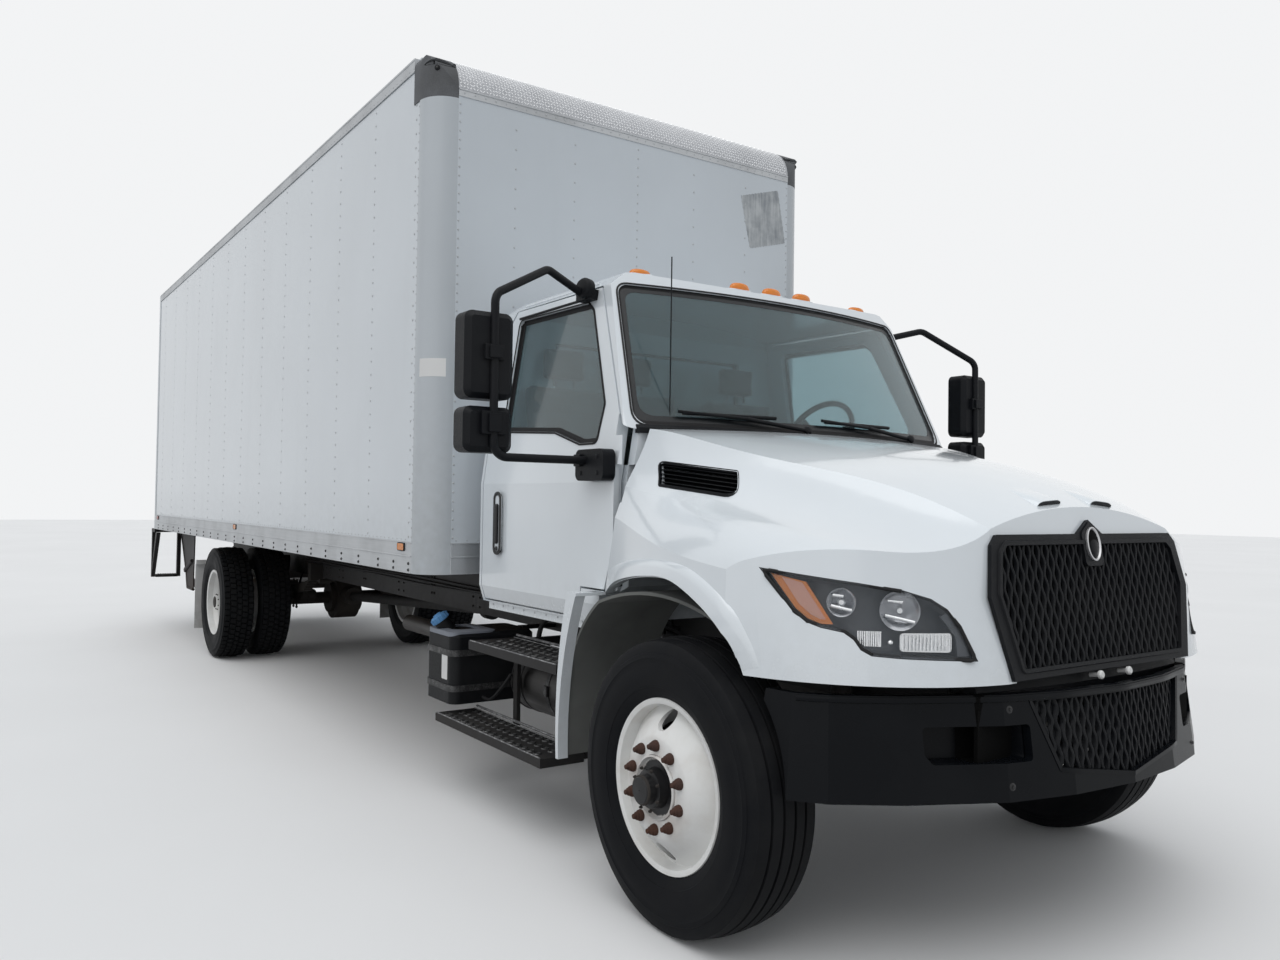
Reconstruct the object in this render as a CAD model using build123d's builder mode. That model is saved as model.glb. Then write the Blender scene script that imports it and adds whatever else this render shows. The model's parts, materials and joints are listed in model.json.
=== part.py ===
from build123d import *
import math
import os

os.makedirs("parts", exist_ok=True)

# Conventional-cab box truck with a tuck-under lift gate, millimetres, +X forward, +Y left, +Z up
# Origin: middle of the overall box at ground level; stations count from the front axle

# Driving dimensions
overall_length = 11060
front_overhang = 1010
wheelbase = 7060
axle_x = overall_length / 2 - front_overhang
rear_axle_x = axle_x - wheelbase
rear_end_x = -overall_length / 2

# Wheels: 22.5 inch disc wheels with 295/75 tyres
tyre_radius = 508
tyre_width = 280
tread_width = 236
hub_z = tyre_radius
bead_radius = 289
flange_radius = 298
rim_width = 234
well_radius = 258
rim_skin = 9
disc_offset = 150
disc_skin = 12
disc_seat = 20
disc_flat_radius = 168
stud_circle_radius = 142.9
stud_count = 10
front_wheel_y = 1077
dual_outer_y = 1092
dual_spacing = 330
kingpin_y = 950

# Chassis
frame_half = 432
frame_top = 1010
frame_depth = 250
frame_flange = 80
frame_skin = 9

# Cab
cab_back_x = axle_x - 1820
cab_half = 1030
cab_wall = 45
sill_z = 980
floor_z = 1075
belt_z = 1790
roof_z = 2545
cowl_centre_x = axle_x - 420
cowl_corner_x = axle_x - 563
screen_rise = 690
screen_lean = 318
door_gap = 8

# Hood
hood_back_x = axle_x - 526
nose_x = axle_x + 905
hood_skin = 22
hood_lip_z = 940

# Load box
box_front_x = axle_x - 1920
box_length = 7925
box_half = 1295.5
box_back_x = box_front_x - box_length
box_rail_z = 1105
box_floor_z = 1262
box_side_top = 3800
box_top = 3820
box_wall = 25
post_radius = 150


def box_at(x_span, y_span, z_span, mode=Mode.ADD):
    """Block between two stations along each axis."""
    middle = tuple((span[0] + span[1]) / 2 for span in (x_span, y_span, z_span))
    size = [abs(span[1] - span[0]) for span in (x_span, y_span, z_span)]
    with Locations(middle):
        Box(*size, mode=mode)


def rod_between(start, end, radius, mode=Mode.ADD):
    """Round bar between two points."""
    start, end = Vector(*start), Vector(*end)
    with BuildSketch(Plane(origin=start, z_dir=end - start)) as section:
        Circle(radius)
    extrude(section.sketch, amount=(end - start).length, mode=mode)


def save(piece, label):
    """Label a finished piece and write it."""
    piece.label = label
    export_step(piece, f"parts/{label}.step")


# Tyres and wheels: profiles turned about the axle, outward is positive along the spin axis
def turn_profile(axle_station, side, points):
    """Revolve a closed outline of (outward distance from y = 0, radius) about an axle."""
    with BuildSketch(
        Plane(origin=(axle_station, 0, hub_z), x_dir=(0, side, 0), z_dir=(side, 0, 0))
    ) as section:
        with BuildLine():
            Polyline(*points, close=True)
        make_face()
    revolve(section.sketch, axis=Axis((axle_station, 0, hub_z), (0, side, 0)))


def tyre_outline(centre_y):
    """Tyre cross-section: bead, sidewall bulge, shoulder, tread and inner cavity."""
    half = tyre_width / 2
    tread = tread_width / 2
    bead = rim_width / 2 - 13
    outer = [
        (-bead, bead_radius),
        (-bead, flange_radius + 3),
        (-half + 10, bead_radius + 45),
        (-half, bead_radius + 100),
        (-half + 8, tyre_radius - 60),
        (-tread, tyre_radius - 14),
        (-tread + 22, tyre_radius - 3),
        (0, tyre_radius),
    ]
    inner = [(-bead + 14, bead_radius), (-half + 26, bead_radius + 100), (-tread + 22, tyre_radius - 32)]
    right = [(-s, r) for s, r in reversed(outer[:-1])]
    inner_right = [(-s, r) for s, r in inner]
    ring = outer + right + inner_right + list(reversed(inner))
    return [(centre_y + s, r) for s, r in ring]


def rim_outline(centre_y):
    """Rim barrel with flanges, bead seats and drop well."""
    half = rim_width / 2
    outer = [
        (-half, flange_radius),
        (-half + 12, flange_radius),
        (-half + 12, bead_radius - 0.3),
        (-half + 55, bead_radius - 4),
        (-20, well_radius + rim_skin),
        (30, well_radius + rim_skin),
        (half - 50, bead_radius - 4),
        (half - 12, bead_radius - 0.3),
        (half - 12, flange_radius),
        (half, flange_radius),
    ]
    inner = [(s, r - rim_skin) for s, r in outer[3:7]]
    under = [(half - 3, bead_radius - 14)] + list(reversed(inner)) + [(-half + 3, bead_radius - 14)]
    return [(centre_y + s, r) for s, r in outer + under]


def disc_outline(centre_y, face):
    """Dished disc from the drop well to the flat bolting face; face is its outward offset."""
    edge = math.copysign(disc_seat, face)
    return [
        (centre_y + face, 110),
        (centre_y + face, disc_flat_radius),
        (centre_y + face * 0.9, disc_flat_radius + 22),
        (centre_y + edge, well_radius + 2),
        (centre_y + edge - disc_skin, well_radius + 2),
        (centre_y + face * 0.9 - disc_skin, disc_flat_radius + 16),
        (centre_y + face - disc_skin, disc_flat_radius - 4),
        (centre_y + face - disc_skin, 110),
    ]


def hand_holes(axle_station, side, y_from, y_to, angles):
    """Round hand holes through a disc."""
    for angle in angles:
        x = axle_station + 218 * math.cos(math.radians(angle))
        z = hub_z + 218 * math.sin(math.radians(angle))
        rod_between((x, side * y_from, z), (x, side * y_to, z), 30, mode=Mode.SUBTRACT)


def hub_with_nuts(axle_station, side, inner_y, face_y, nose_radius, nose_length):
    """Hub barrel with a stepped nose, and a nut with its stud at each hole of the disc."""
    turn_profile(axle_station, side, [
        (inner_y, 62), (inner_y, 150), (inner_y + 14, 165), (face_y - disc_skin, 165),
        (face_y - disc_skin, 110), (face_y + 8, 110), (face_y + 14, nose_radius + 14),
        (face_y + 30, nose_radius + 14), (face_y + 34, nose_radius),
        (face_y + nose_length - 8, nose_radius), (face_y + nose_length, nose_radius - 10),
        (face_y + nose_length, 0.0), (face_y - 20, 0.0), (face_y - 20, 62),
    ])
    nut_face = Plane(origin=(axle_station, side * face_y, hub_z), x_dir=(1, 0, 0), z_dir=(0, side, 0))
    with BuildSketch(nut_face) as nuts:
        with PolarLocations(stud_circle_radius, stud_count, start_angle=18):
            RegularPolygon(17, 6)
    extrude(nuts.sketch, amount=24)
    with BuildSketch(nut_face) as studs:
        with PolarLocations(stud_circle_radius, stud_count, start_angle=18):
            RegularPolygon(10, 6)
    extrude(studs.sketch, amount=40)


side_names = ((-1, "right"), (1, "left"))
for side, word in side_names:
    with BuildPart() as tyre_front:
        turn_profile(axle_x, side, tyre_outline(front_wheel_y))
    save(tyre_front.part, f"tyre_front_{word}")

    with BuildPart() as wheel_front:
        turn_profile(axle_x, side, rim_outline(front_wheel_y))
        turn_profile(axle_x, side, disc_outline(front_wheel_y, disc_offset))
        hand_holes(axle_x, side, front_wheel_y + 20, front_wheel_y + disc_offset + 20, (90, 270))
        hub_with_nuts(axle_x, side, front_wheel_y + 40, front_wheel_y + disc_offset, 52, 70)
    save(wheel_front.part, f"wheel_front_{word}")

    dual_inner_y = dual_outer_y - dual_spacing
    rear_face_y = (dual_outer_y + dual_inner_y) / 2 + disc_skin
    with BuildPart() as tyres_rear:
        turn_profile(rear_axle_x, side, tyre_outline(dual_outer_y))
        turn_profile(rear_axle_x, side, tyre_outline(dual_inner_y))
    save(tyres_rear.part, f"tyres_rear_{word}")

    with BuildPart() as wheels_rear:
        turn_profile(rear_axle_x, side, rim_outline(dual_outer_y))
        turn_profile(rear_axle_x, side, disc_outline(dual_outer_y, rear_face_y - dual_outer_y))
        turn_profile(rear_axle_x, side, rim_outline(dual_inner_y))
        turn_profile(
            rear_axle_x, side, disc_outline(dual_inner_y, rear_face_y - disc_skin - dual_inner_y)
        )
        hand_holes(rear_axle_x, side, dual_inner_y, dual_outer_y, (90, 270))
        hub_with_nuts(rear_axle_x, side, rear_face_y - 90, rear_face_y, 70, 130)
    save(wheels_rear.part, f"wheels_rear_{word}")


# Ladder frame: two channel rails, and the cross members between their webs
frame_front_x = axle_x + 830
frame_back_x = box_back_x + 40
frame_bottom = frame_top - frame_depth
web_half = frame_half - frame_skin
with BuildPart() as frame_rails:
    with BuildSketch(Plane.YZ.offset(frame_back_x)):
        for side in (-1, 1):
            with Locations((side * (frame_half - frame_flange / 2), frame_top - frame_depth / 2)):
                Rectangle(frame_flange, frame_depth)
        for side in (-1, 1):
            with Locations(
                (side * (frame_half - frame_flange / 2 - frame_skin), frame_top - frame_depth / 2)
            ):
                Rectangle(frame_flange, frame_depth - 2 * frame_skin, mode=Mode.SUBTRACT)
    extrude(amount=frame_front_x - frame_back_x)
save(frame_rails.part, "frame_rails")

crossmember_stations = (700, -1700, -2500, -3800, -5200, -6400, -7700, -8900, -9780)
crossmember_web = 8
crossmember_flange = 70
crossmember_inset = 40
with BuildPart() as frame_crossmembers:
    for station in crossmember_stations:
        x = axle_x + station
        low, high = frame_bottom + crossmember_inset, frame_top - crossmember_inset
        box_at((x - crossmember_web / 2, x + crossmember_web / 2), (-web_half, web_half), (low, high))
        for z in (low, high - crossmember_web):
            box_at(
                (x - crossmember_flange / 2, x + crossmember_flange / 2), (-web_half, web_half),
                (z, z + crossmember_web)
            )
save(frame_crossmembers.part, "frame_crossmembers")

# Front axle: dropped I-beam ending in kingpin eyes
beam_z = hub_z - 75
beam_depth = 96
pin_clearance = 0.4
pin_radius = 25
eye_half = 55
beam_route = [
    (-kingpin_y + 30, hub_z), (-700, hub_z - 5), (-570, beam_z), (570, beam_z), (700, hub_z - 5),
    (kingpin_y - 30, hub_z)
]
with BuildPart() as front_axle:
    for width, depth, lift in ((26, beam_depth, 0), (88, 20, 38), (88, 20, -38)):
        with BuildSketch(Plane.YZ.offset(axle_x - width / 2)):
            with BuildLine():
                upper = [(y, z + lift + depth / 2) for y, z in beam_route]
                lower = [(y, z + lift - depth / 2) for y, z in reversed(beam_route)]
                Polyline(*upper, *lower, close=True)
            make_face()
        extrude(amount=width)
    with Locations((axle_x, -kingpin_y, hub_z), (axle_x, kingpin_y, hub_z)):
        Cylinder(46, 2 * eye_half)
        Cylinder(pin_radius + pin_clearance, 2 * eye_half, mode=Mode.SUBTRACT)
save(front_axle.part, "front_axle")

# Steering knuckles: yoke round the beam's eye, spindle, brake shield and a straight steering arm
yoke_gap = 4
arm_length = 190
arm_z = hub_z - 112
spindle_radius = 42
for side, word in side_names:
    with BuildPart() as knuckle:
        yoke_low = eye_half + yoke_gap
        yoke_high = yoke_low + 26
        with Locations((axle_x, side * kingpin_y, hub_z)):
            Cylinder(pin_radius, 2 * yoke_high)
        for z in (hub_z + yoke_low, hub_z - yoke_high):
            with BuildSketch(Plane.XY.offset(z)):
                with Locations((axle_x, side * kingpin_y)):
                    Circle(46)
                with Locations((axle_x, side * (kingpin_y + 35))):
                    Rectangle(80, 70)
            extrude(amount=yoke_high - yoke_low)
        box_at(
            (axle_x - 50, axle_x + 50), (side * (kingpin_y + 52), side * (kingpin_y + 74)),
            (hub_z - yoke_high, hub_z + yoke_high)
        )
        rod_between(
            (axle_x, side * (kingpin_y + 70), hub_z), (axle_x, side * (front_wheel_y + 90), hub_z),
            spindle_radius
        )
        box_at(
            (axle_x - arm_length, axle_x), (side * (kingpin_y - 18), side * (kingpin_y + 18)),
            (arm_z, hub_z - yoke_low)
        )
        with Locations((axle_x - arm_length, side * kingpin_y, (arm_z + hub_z - yoke_low) / 2)):
            Cylinder(26, hub_z - yoke_low - arm_z)
    save(knuckle.part, f"knuckle_{word}")

# Tie rod between the arms' ball joints, below the arms
rod_z = arm_z - 24
with BuildPart() as tie_rod:
    tie_x = axle_x - arm_length
    rod_between((tie_x, -kingpin_y, rod_z), (tie_x, kingpin_y, rod_z), 17)
    with Locations((tie_x, -kingpin_y, rod_z), (tie_x, kingpin_y, rod_z)):
        Cylinder(27, 44)
save(tie_rod.part, "tie_rod")

# Rear drive axle: tube, banjo housing and pinion nose
axle_tube_radius = 56
banjo_radius = 205
pinion_x = rear_axle_x + 330
pinion_z = hub_z + 30
with BuildPart() as rear_axle:
    tube_end = rear_face_y - 40
    rod_between((rear_axle_x, -tube_end, hub_z), (rear_axle_x, tube_end, hub_z), axle_tube_radius)
    rod_between((rear_axle_x, -110, hub_z), (rear_axle_x, 110, hub_z), banjo_radius)
    rod_between((rear_axle_x, -150, hub_z), (rear_axle_x, 150, hub_z), banjo_radius * 0.7)
    rod_between((rear_axle_x + 100, 0, pinion_z), (pinion_x, 0, pinion_z), 85)
save(rear_axle.part, "rear_axle")

# Propeller shaft from the gearbox tail to the pinion, with its centre bearing and yokes
gearbox_tail_x = axle_x - 1560
gearbox_z = 725
bearing_x = axle_x - 3770
bearing_z = 700
with BuildPart() as driveshaft:
    rod_between((gearbox_tail_x - 2, 0, gearbox_z), (bearing_x, 0, bearing_z), 45)
    rod_between((bearing_x - 40, 0, bearing_z), (bearing_x + 40, 0, bearing_z), 75)
    rod_between((bearing_x, 0, bearing_z), (pinion_x + 4, 0, pinion_z), 44)
save(driveshaft.part, "driveshaft")


# Leaf springs: curved leaves under each rail, seated on the axles
def leaf_pack(centre_x, seat_z, half_length, camber, leaves, y_middle, leaf_width=76):
    """Stack of arched leaves, the lowest the shortest, between two stations."""
    thickness = 16
    for index in range(leaves):
        reach = half_length * (1 - 0.28 * index / leaves)
        rise = camber * (reach / half_length) ** 2
        low = seat_z + (leaves - 1 - index) * thickness
        with BuildSketch(Plane.XZ.offset(-y_middle - leaf_width / 2)) as leaf:
            with BuildLine():
                under = ThreePointArc(
                    (centre_x - reach, low + rise), (centre_x, low), (centre_x + reach, low + rise)
                )
                over = ThreePointArc(
                    (centre_x + reach, low + rise + thickness),
                    (centre_x, low + thickness),
                    (centre_x - reach, low + rise + thickness),
                )
                Line(under @ 1, over @ 0)
                Line(over @ 1, under @ 0)
            make_face()
        extrude(leaf.sketch, amount=leaf_width)


front_spring_y = frame_half - 42
spring_hanger_depth = 112
rear_spring_y = frame_half + 74
front_seat_z = beam_z + 48
rear_seat_z = hub_z + axle_tube_radius + 14
with BuildPart() as leaf_springs:
    for side in (-1, 1):
        leaf_pack(axle_x, front_seat_z, 660, 130, 3, side * front_spring_y)
        leaf_pack(rear_axle_x, rear_seat_z, 720, 95, 5, side * rear_spring_y)
        for x in (axle_x - 650, axle_x + 650):
            box_at(
                (x - 30, x + 30), (side * front_spring_y - 42, side * front_spring_y + 42),
                (front_seat_z + 165, frame_bottom)
            )
        for x in (rear_axle_x - 705, rear_axle_x + 705):
            box_at(
                (x - 40, x + 40), (side * frame_half, side * (frame_half + spring_hanger_depth)),
                (rear_seat_z + 160, frame_bottom + 130)
            )
        for x, z, y in (
            (axle_x, front_seat_z, front_spring_y), (rear_axle_x, rear_seat_z, rear_spring_y)
        ):
            lift = 48 if z == front_seat_z else 80
            box_at((x - 70, x + 70), (side * y - 44, side * y + 44), (z + lift, z + lift + 30))
        box_at(
            (rear_axle_x - 70, rear_axle_x + 70), (side * rear_spring_y - 44, side * rear_spring_y + 44),
            (hub_z + 30, rear_seat_z)
        )
save(leaf_springs.part - rear_axle.part, "leaf_springs")

# Engine and gearbox as one plain block, with the radiator ahead of it
with BuildPart() as engine:
    box_at((axle_x - 480, axle_x + 500), (-290, 290), (640, 1360))
    box_at((gearbox_tail_x, axle_x - 480), (-170, 170), (650, 930))
    box_at((axle_x + 590, axle_x + 680), (-420, 420), (frame_top, 1370))
    for side in (-1, 1):
        box_at(
            (axle_x - 60, axle_x + 60), (side * 290, side * (frame_half - frame_skin)),
            (frame_bottom + 60, frame_bottom + 120)
        )
save(engine.part, "engine")


# Cab: side, front and leaning plan outlines crossed, at any inset from the outer skin
def cab_section(inset, bottom_z):
    """Front-view outline of the cab, moved in by an inset, run along the truck."""
    half = cab_half - inset
    belt_half = 1000 - inset
    roof_half = 900 - inset
    with BuildPart() as section:
        with BuildSketch(Plane.YZ.offset(cab_back_x - 100)):
            with BuildLine():
                crown = ThreePointArc((-820, 2500 - inset), (0, roof_z - inset), (820, 2500 - inset))
                right = [
                    (roof_half, 2440 - inset * 0.5), (belt_half, belt_z), (half, 1568), (half, 1060),
                    (half - 25, bottom_z)
                ]
                left = [(-y, z) for y, z in reversed(right)]
                Polyline(crown @ 1, *right, *left, crown @ 0)
            make_face()
        extrude(amount=2000)
    return section.part


def cab_form(inset, bottom_z):
    """Solid of the cab's outline moved in by an inset, from a given floor height."""
    back = cab_back_x + inset
    front_low = cowl_corner_x - 30 - inset
    toe = axle_x - 692 - inset
    top_x = cowl_centre_x - screen_lean
    screen_top = belt_z + screen_rise
    reach = cab_half + 60
    with BuildPart() as form:
        add(cab_section(inset, bottom_z))
        with BuildSketch(Plane.XZ):
            with BuildLine():
                Polyline(
                    (back, bottom_z), (toe, bottom_z), (toe, 1100), (front_low, 1140),
                    (front_low, 1640), (axle_x, 1640), (axle_x, screen_top - inset),
                    (top_x - inset, screen_top - inset), (top_x - 260, roof_z - inset),
                    (cab_back_x + 160, roof_z - inset), (back, roof_z - 70 - inset), close=True,
                )
            make_face()
        extrude(amount=reach, both=True, mode=Mode.INTERSECT)
        with BuildPart(mode=Mode.PRIVATE) as plan:
            with BuildSketch(Plane.XY.offset(belt_z)):
                with BuildLine():
                    corner_y = 988
                    front = ThreePointArc(
                        (cowl_corner_x - inset, -corner_y), (cowl_centre_x - inset, 0),
                        (cowl_corner_x - inset, corner_y)
                    )
                    Polyline(
                        front @ 1, (cowl_corner_x - 60 - inset, reach), (cab_back_x - 900, reach),
                        (cab_back_x - 900, -reach), (cowl_corner_x - 60 - inset, -reach), front @ 0,
                    )
                make_face()
            extrude(amount=1000, dir=(-screen_lean, 0, screen_rise))
            extrude(plan.faces().sort_by(Axis.Z)[0], amount=900)
        add(plan.part, mode=Mode.INTERSECT)
    return form.part


def side_prism(points, y_from, y_to, corner=0):
    """Extrusion across the truck of an outline of (station, height)."""
    with BuildPart() as prism:
        with BuildSketch(Plane.XZ.offset(-max(y_from, y_to))) as outline:
            with BuildLine():
                Polyline(*[(axle_x + x, z) for x, z in points], close=True)
            make_face()
            if corner:
                fillet(outline.vertices(), corner)
        extrude(outline.sketch, amount=abs(y_to - y_from))
    return prism.part


def grown(points, by):
    """Outline moved outward from its middle by a margin on each side."""
    mid_x = (min(x for x, z in points) + max(x for x, z in points)) / 2
    mid_z = (min(z for x, z in points) + max(z for x, z in points)) / 2
    return [(x + math.copysign(by, x - mid_x), z + math.copysign(by, z - mid_z)) for x, z in points]


door_outline = [
    (-1790, 995), (-890, 995), (-848, 1035), (-842, 1127), (-655, 1127), (-585, 1330), (-552, 1495),
    (-542, 1765), (-592, 1800),
    (-905, 2432), (-1690, 2440), (-1790, 2330),
]
window_outline = [
    (-1650, 1830), (-1130, 1800), (-900, 1738), (-765, 1738), (-742, 1900), (-948, 2335), (-1000, 2375),
    (-1650, 2385),
]
fender_notch = [
    (-665, 1100), (-648, 1128), (-593, 1330), (-560, 1495), (-548, 1520), (-400, 1520), (-400, 1100)
]
door_thickness = 55
cab_mount_top = 1040
screen_outline = [(-955, 1808), (955, 1808), (872, 2440), (-872, 2440)]
screen_corner = 55
rear_window_half = 630

cab_outer = cab_form(0, sill_z)
with BuildPart() as cab_shell:
    add(cab_outer)
    add(cab_form(cab_wall, floor_z), mode=Mode.SUBTRACT)
    for side in (-1, 1):
        add(side_prism(fender_notch, side * 950, side * (cab_half + 50)), mode=Mode.SUBTRACT)
        add(
            side_prism(
                grown(door_outline, door_gap), side * 700, side * (cab_half + 50)
            ) - cab_section(door_thickness + door_gap, sill_z - 100),
            mode=Mode.SUBTRACT
        )
    with BuildSketch(Plane.YZ.offset(axle_x - 1000)):
        with BuildLine():
            Polyline(*screen_outline, close=True)
        screen = make_face()
        fillet(screen.vertices(), screen_corner)
    extrude(amount=700, mode=Mode.SUBTRACT)
    box_at(
        (cab_back_x - 20, cab_back_x + 100), (-rear_window_half, rear_window_half), (1890, 2320),
        mode=Mode.SUBTRACT
    )
    box_at(
        (cab_back_x - 10, axle_x), (-frame_half - 40, frame_half + 40), (900, cab_mount_top),
        mode=Mode.SUBTRACT
    )
    for x in (cab_back_x + 90, axle_x - 780):
        for side in (-1, 1):
            with Locations((x, side * (frame_half - 40), (frame_top + cab_mount_top) / 2)):
                Cylinder(38, cab_mount_top - frame_top)
save(cab_shell.part, "cab_shell")

# Windscreen and rear window
with BuildPart() as cab_glass:
    with BuildSketch(Plane.YZ.offset(axle_x - 1000)):
        with BuildLine():
            Polyline(*screen_outline, close=True)
        screen = make_face()
        fillet(screen.vertices(), screen_corner)
    extrude(amount=700)
    add(cab_form(12, sill_z), mode=Mode.INTERSECT)
    add(cab_form(18, sill_z - 50), mode=Mode.SUBTRACT)
    box_at((cab_back_x + 14, cab_back_x + 20), (-rear_window_half, rear_window_half), (1890, 2320))
save(cab_glass.part, "cab_glass")

# Doors with their window openings, and the glass in them
for side, word in side_names:
    skin = side_prism(door_outline, side * 700, side * (cab_half + 50))
    with BuildPart() as door:
        add(cab_outer)
        add(skin, mode=Mode.INTERSECT)
        add(cab_section(door_thickness, sill_z - 100), mode=Mode.SUBTRACT)
        add(side_prism(window_outline, side * 700, side * (cab_half + 50), 28), mode=Mode.SUBTRACT)
        box_at(
            (axle_x - 620, axle_x - 500), (side * 700, side * 1004), (sill_z, belt_z + 60),
            mode=Mode.SUBTRACT
        )
        with BuildSketch(Plane.XZ.offset(-side * (cab_half + (14 if side > 0 else 0)))) as handle:
            with Locations((axle_x - 1605, 1375)):
                SlotOverall(290, 64, rotation=90)
        extrude(handle.sketch, amount=14)
    save(door.part, f"door_{word}")
    with BuildPart() as door_glass:
        add(cab_form(22, sill_z))
        add(side_prism(window_outline, side * 700, side * (cab_half + 50), 28), mode=Mode.INTERSECT)
        add(cab_form(27, sill_z - 50), mode=Mode.SUBTRACT)
    save(door_glass.part, f"door_glass_{word}")

# Mirrors: a bent tube from roof bracket to belt bracket carrying two heads
mirror_tube_radius = 17
mirror_route = [
    (-975, 935, 2395), (-873, 1195, 2465), (-745, 1500, 2300), (-740, 1500, 1657), (-725, 1075, 1657)
]
for side, word in side_names:
    route = [(axle_x + x, side * y, z) for x, y, z in mirror_route]
    with BuildPart() as mirror:
        with BuildLine() as tube_line:
            FilletPolyline(*route, radius=60)
        with BuildSketch(Plane(origin=tube_line.line @ 0, z_dir=tube_line.line % 0)) as tube_section:
            Circle(mirror_tube_radius)
        sweep(tube_section.sketch, path=tube_line.line)
        for low, high in ((1885, 2230), (1674, 1855)):
            with BuildPart(mode=Mode.PRIVATE) as head:
                box_at((axle_x - 855, axle_x - 748), (side * 1407, side * 1618), (low, high))
                fillet(head.edges().filter_by(Axis.X), 34)
                chamfer(head.faces().sort_by(Axis.X)[-1].edges(), 22)
            add(head.part)
        with BuildSketch(Plane.XZ.offset(-side * (cab_half + (60 if side > 0 else 0)))) as plate:
            with Locations((axle_x - 690, 1638)):
                RectangleRounded(215, 130, 30)
        extrude(plate.sketch, amount=60)
        box_at((axle_x - 1030, axle_x - 930), (side * 900, side * 960), (2380, 2425))
        add(cab_outer, mode=Mode.SUBTRACT)
    save(mirror.part, f"mirror_{word}")

# Dashboard across the cab with an instrument hood in front of the driver
driver_y = 560
with BuildPart() as dashboard:
    with BuildSketch(Plane.XZ.offset(-860)):
        with BuildLine():
            Polyline(*[(axle_x + x, z) for x, z in (
                (-650, 1350), (-760, 1350), (-900, 1560), (-930, 1700), (-840, 1770), (-520, 1775),
                (-520, 1700), (-650, 1600),
            )], close=True)
        make_face()
    extrude(amount=1720)
    box_at((axle_x - 930, axle_x - 700), (driver_y - 230, driver_y + 230), (1690, 1830))
    rod_between((axle_x - 800, driver_y, 1680), (axle_x - 985, driver_y, 1800), 38)
    add(cab_form(cab_wall + 2, floor_z), mode=Mode.INTERSECT)
save(dashboard.part, "dashboard")

# Steering wheel on its column
wheel_tilt = 57
wheel_centre = (axle_x - 1035, driver_y, 1832)
wheel_normal = (-math.sin(math.radians(wheel_tilt)), 0, math.cos(math.radians(wheel_tilt)))
wheel_plane = Plane(origin=wheel_centre, x_dir=(0, 1, 0), z_dir=wheel_normal)
with BuildPart() as steering_wheel:
    with BuildSketch(
        Plane(
            origin=wheel_plane.from_local_coords(Vector(222, 0, 0)), x_dir=(0, 1, 0),
            z_dir=wheel_plane.y_dir
        )
    ) as rim_section:
        Circle(15)
    revolve(rim_section.sketch, axis=Axis(wheel_centre, wheel_normal))
    with BuildSketch(wheel_plane.offset(-26)) as boss:
        Circle(70)
        with PolarLocations(0, 3, start_angle=90):
            with Locations((110, 0)):
                Rectangle(225, 38)
    extrude(boss.sketch, amount=20)
save(steering_wheel.part, "steering_wheel")

# Seats: driver's seat and a two-place bench, each a cushion, back and headrests
with BuildPart() as seats:
    for y_low, y_high in ((driver_y - 265, driver_y + 265), (-870, 120)):
        box_at((axle_x - 1640, axle_x - 1180), (y_low + 60, y_high - 60), (floor_z, 1330))
        box_at((axle_x - 1680, axle_x - 1130), (y_low, y_high), (1330, 1500))
        with BuildSketch(Plane.XZ.offset(-y_high)) as back:
            with BuildLine():
                Polyline(
                    *[
                        (axle_x + x, z) for x,
                        z in ((-1560, 1500), (-1680, 1500), (-1765, 2110), (-1660, 2110))
                    ],
                    close=True
                )
            make_face()
        extrude(back.sketch, amount=y_high - y_low)
    for y in (driver_y, -180, -610):
        box_at((axle_x - 1762, axle_x - 1680), (y - 130, y + 130), (2110, 2290))
save(seats.part, "seats")


def screen_x(y, z):
    """Station of the windscreen's outer surface."""
    sag = cowl_centre_x - cowl_corner_x
    arc_radius = (988 ** 2 + sag ** 2) / (2 * sag)
    return cowl_centre_x - (
        arc_radius - math.sqrt(arc_radius ** 2 - y ** 2)
    ) - (z - belt_z) * screen_lean / screen_rise


# Wipers resting along the foot of the windscreen
with BuildPart() as wipers:
    for pivot_y, tip_y in ((-120, -760), (620, -10)):
        points = [(pivot_y, 1814), ((pivot_y + tip_y) / 2, 1852), (tip_y, 1868)]
        places = [(screen_x(y, z) + 18, y, z) for y, z in points]
        rod_between(places[0], places[1], 9)
        rod_between(places[1], places[2], 7)
        blade = [(screen_x(y, 1862) + 14, y, 1862) for y in (tip_y + 20, tip_y + 480)]
        rod_between(blade[0], blade[1], 8)
    add(cab_outer, mode=Mode.SUBTRACT)
save(wipers.part, "wipers")

# Five marker lamps along the front of the roof
with BuildPart() as roof_lamps:
    for y, station in ((-700, -905), (-200, -800), (0, -798), (200, -800), (700, -905)):
        with BuildPart(mode=Mode.PRIVATE) as lens:
            with BuildSketch(Plane.XY.offset(2470)) as lens_outline:
                with Locations((axle_x + station, y)):
                    SlotOverall(118, 54, rotation=90)
            extrude(lens_outline.sketch, amount=62 if abs(y) < 300 else 74)
            fillet(lens.faces().sort_by(Axis.Z)[-1].edges(), 12)
        add(lens.part)
    add(cab_outer, mode=Mode.SUBTRACT)
save(roof_lamps.part, "roof_lamps")


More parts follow.
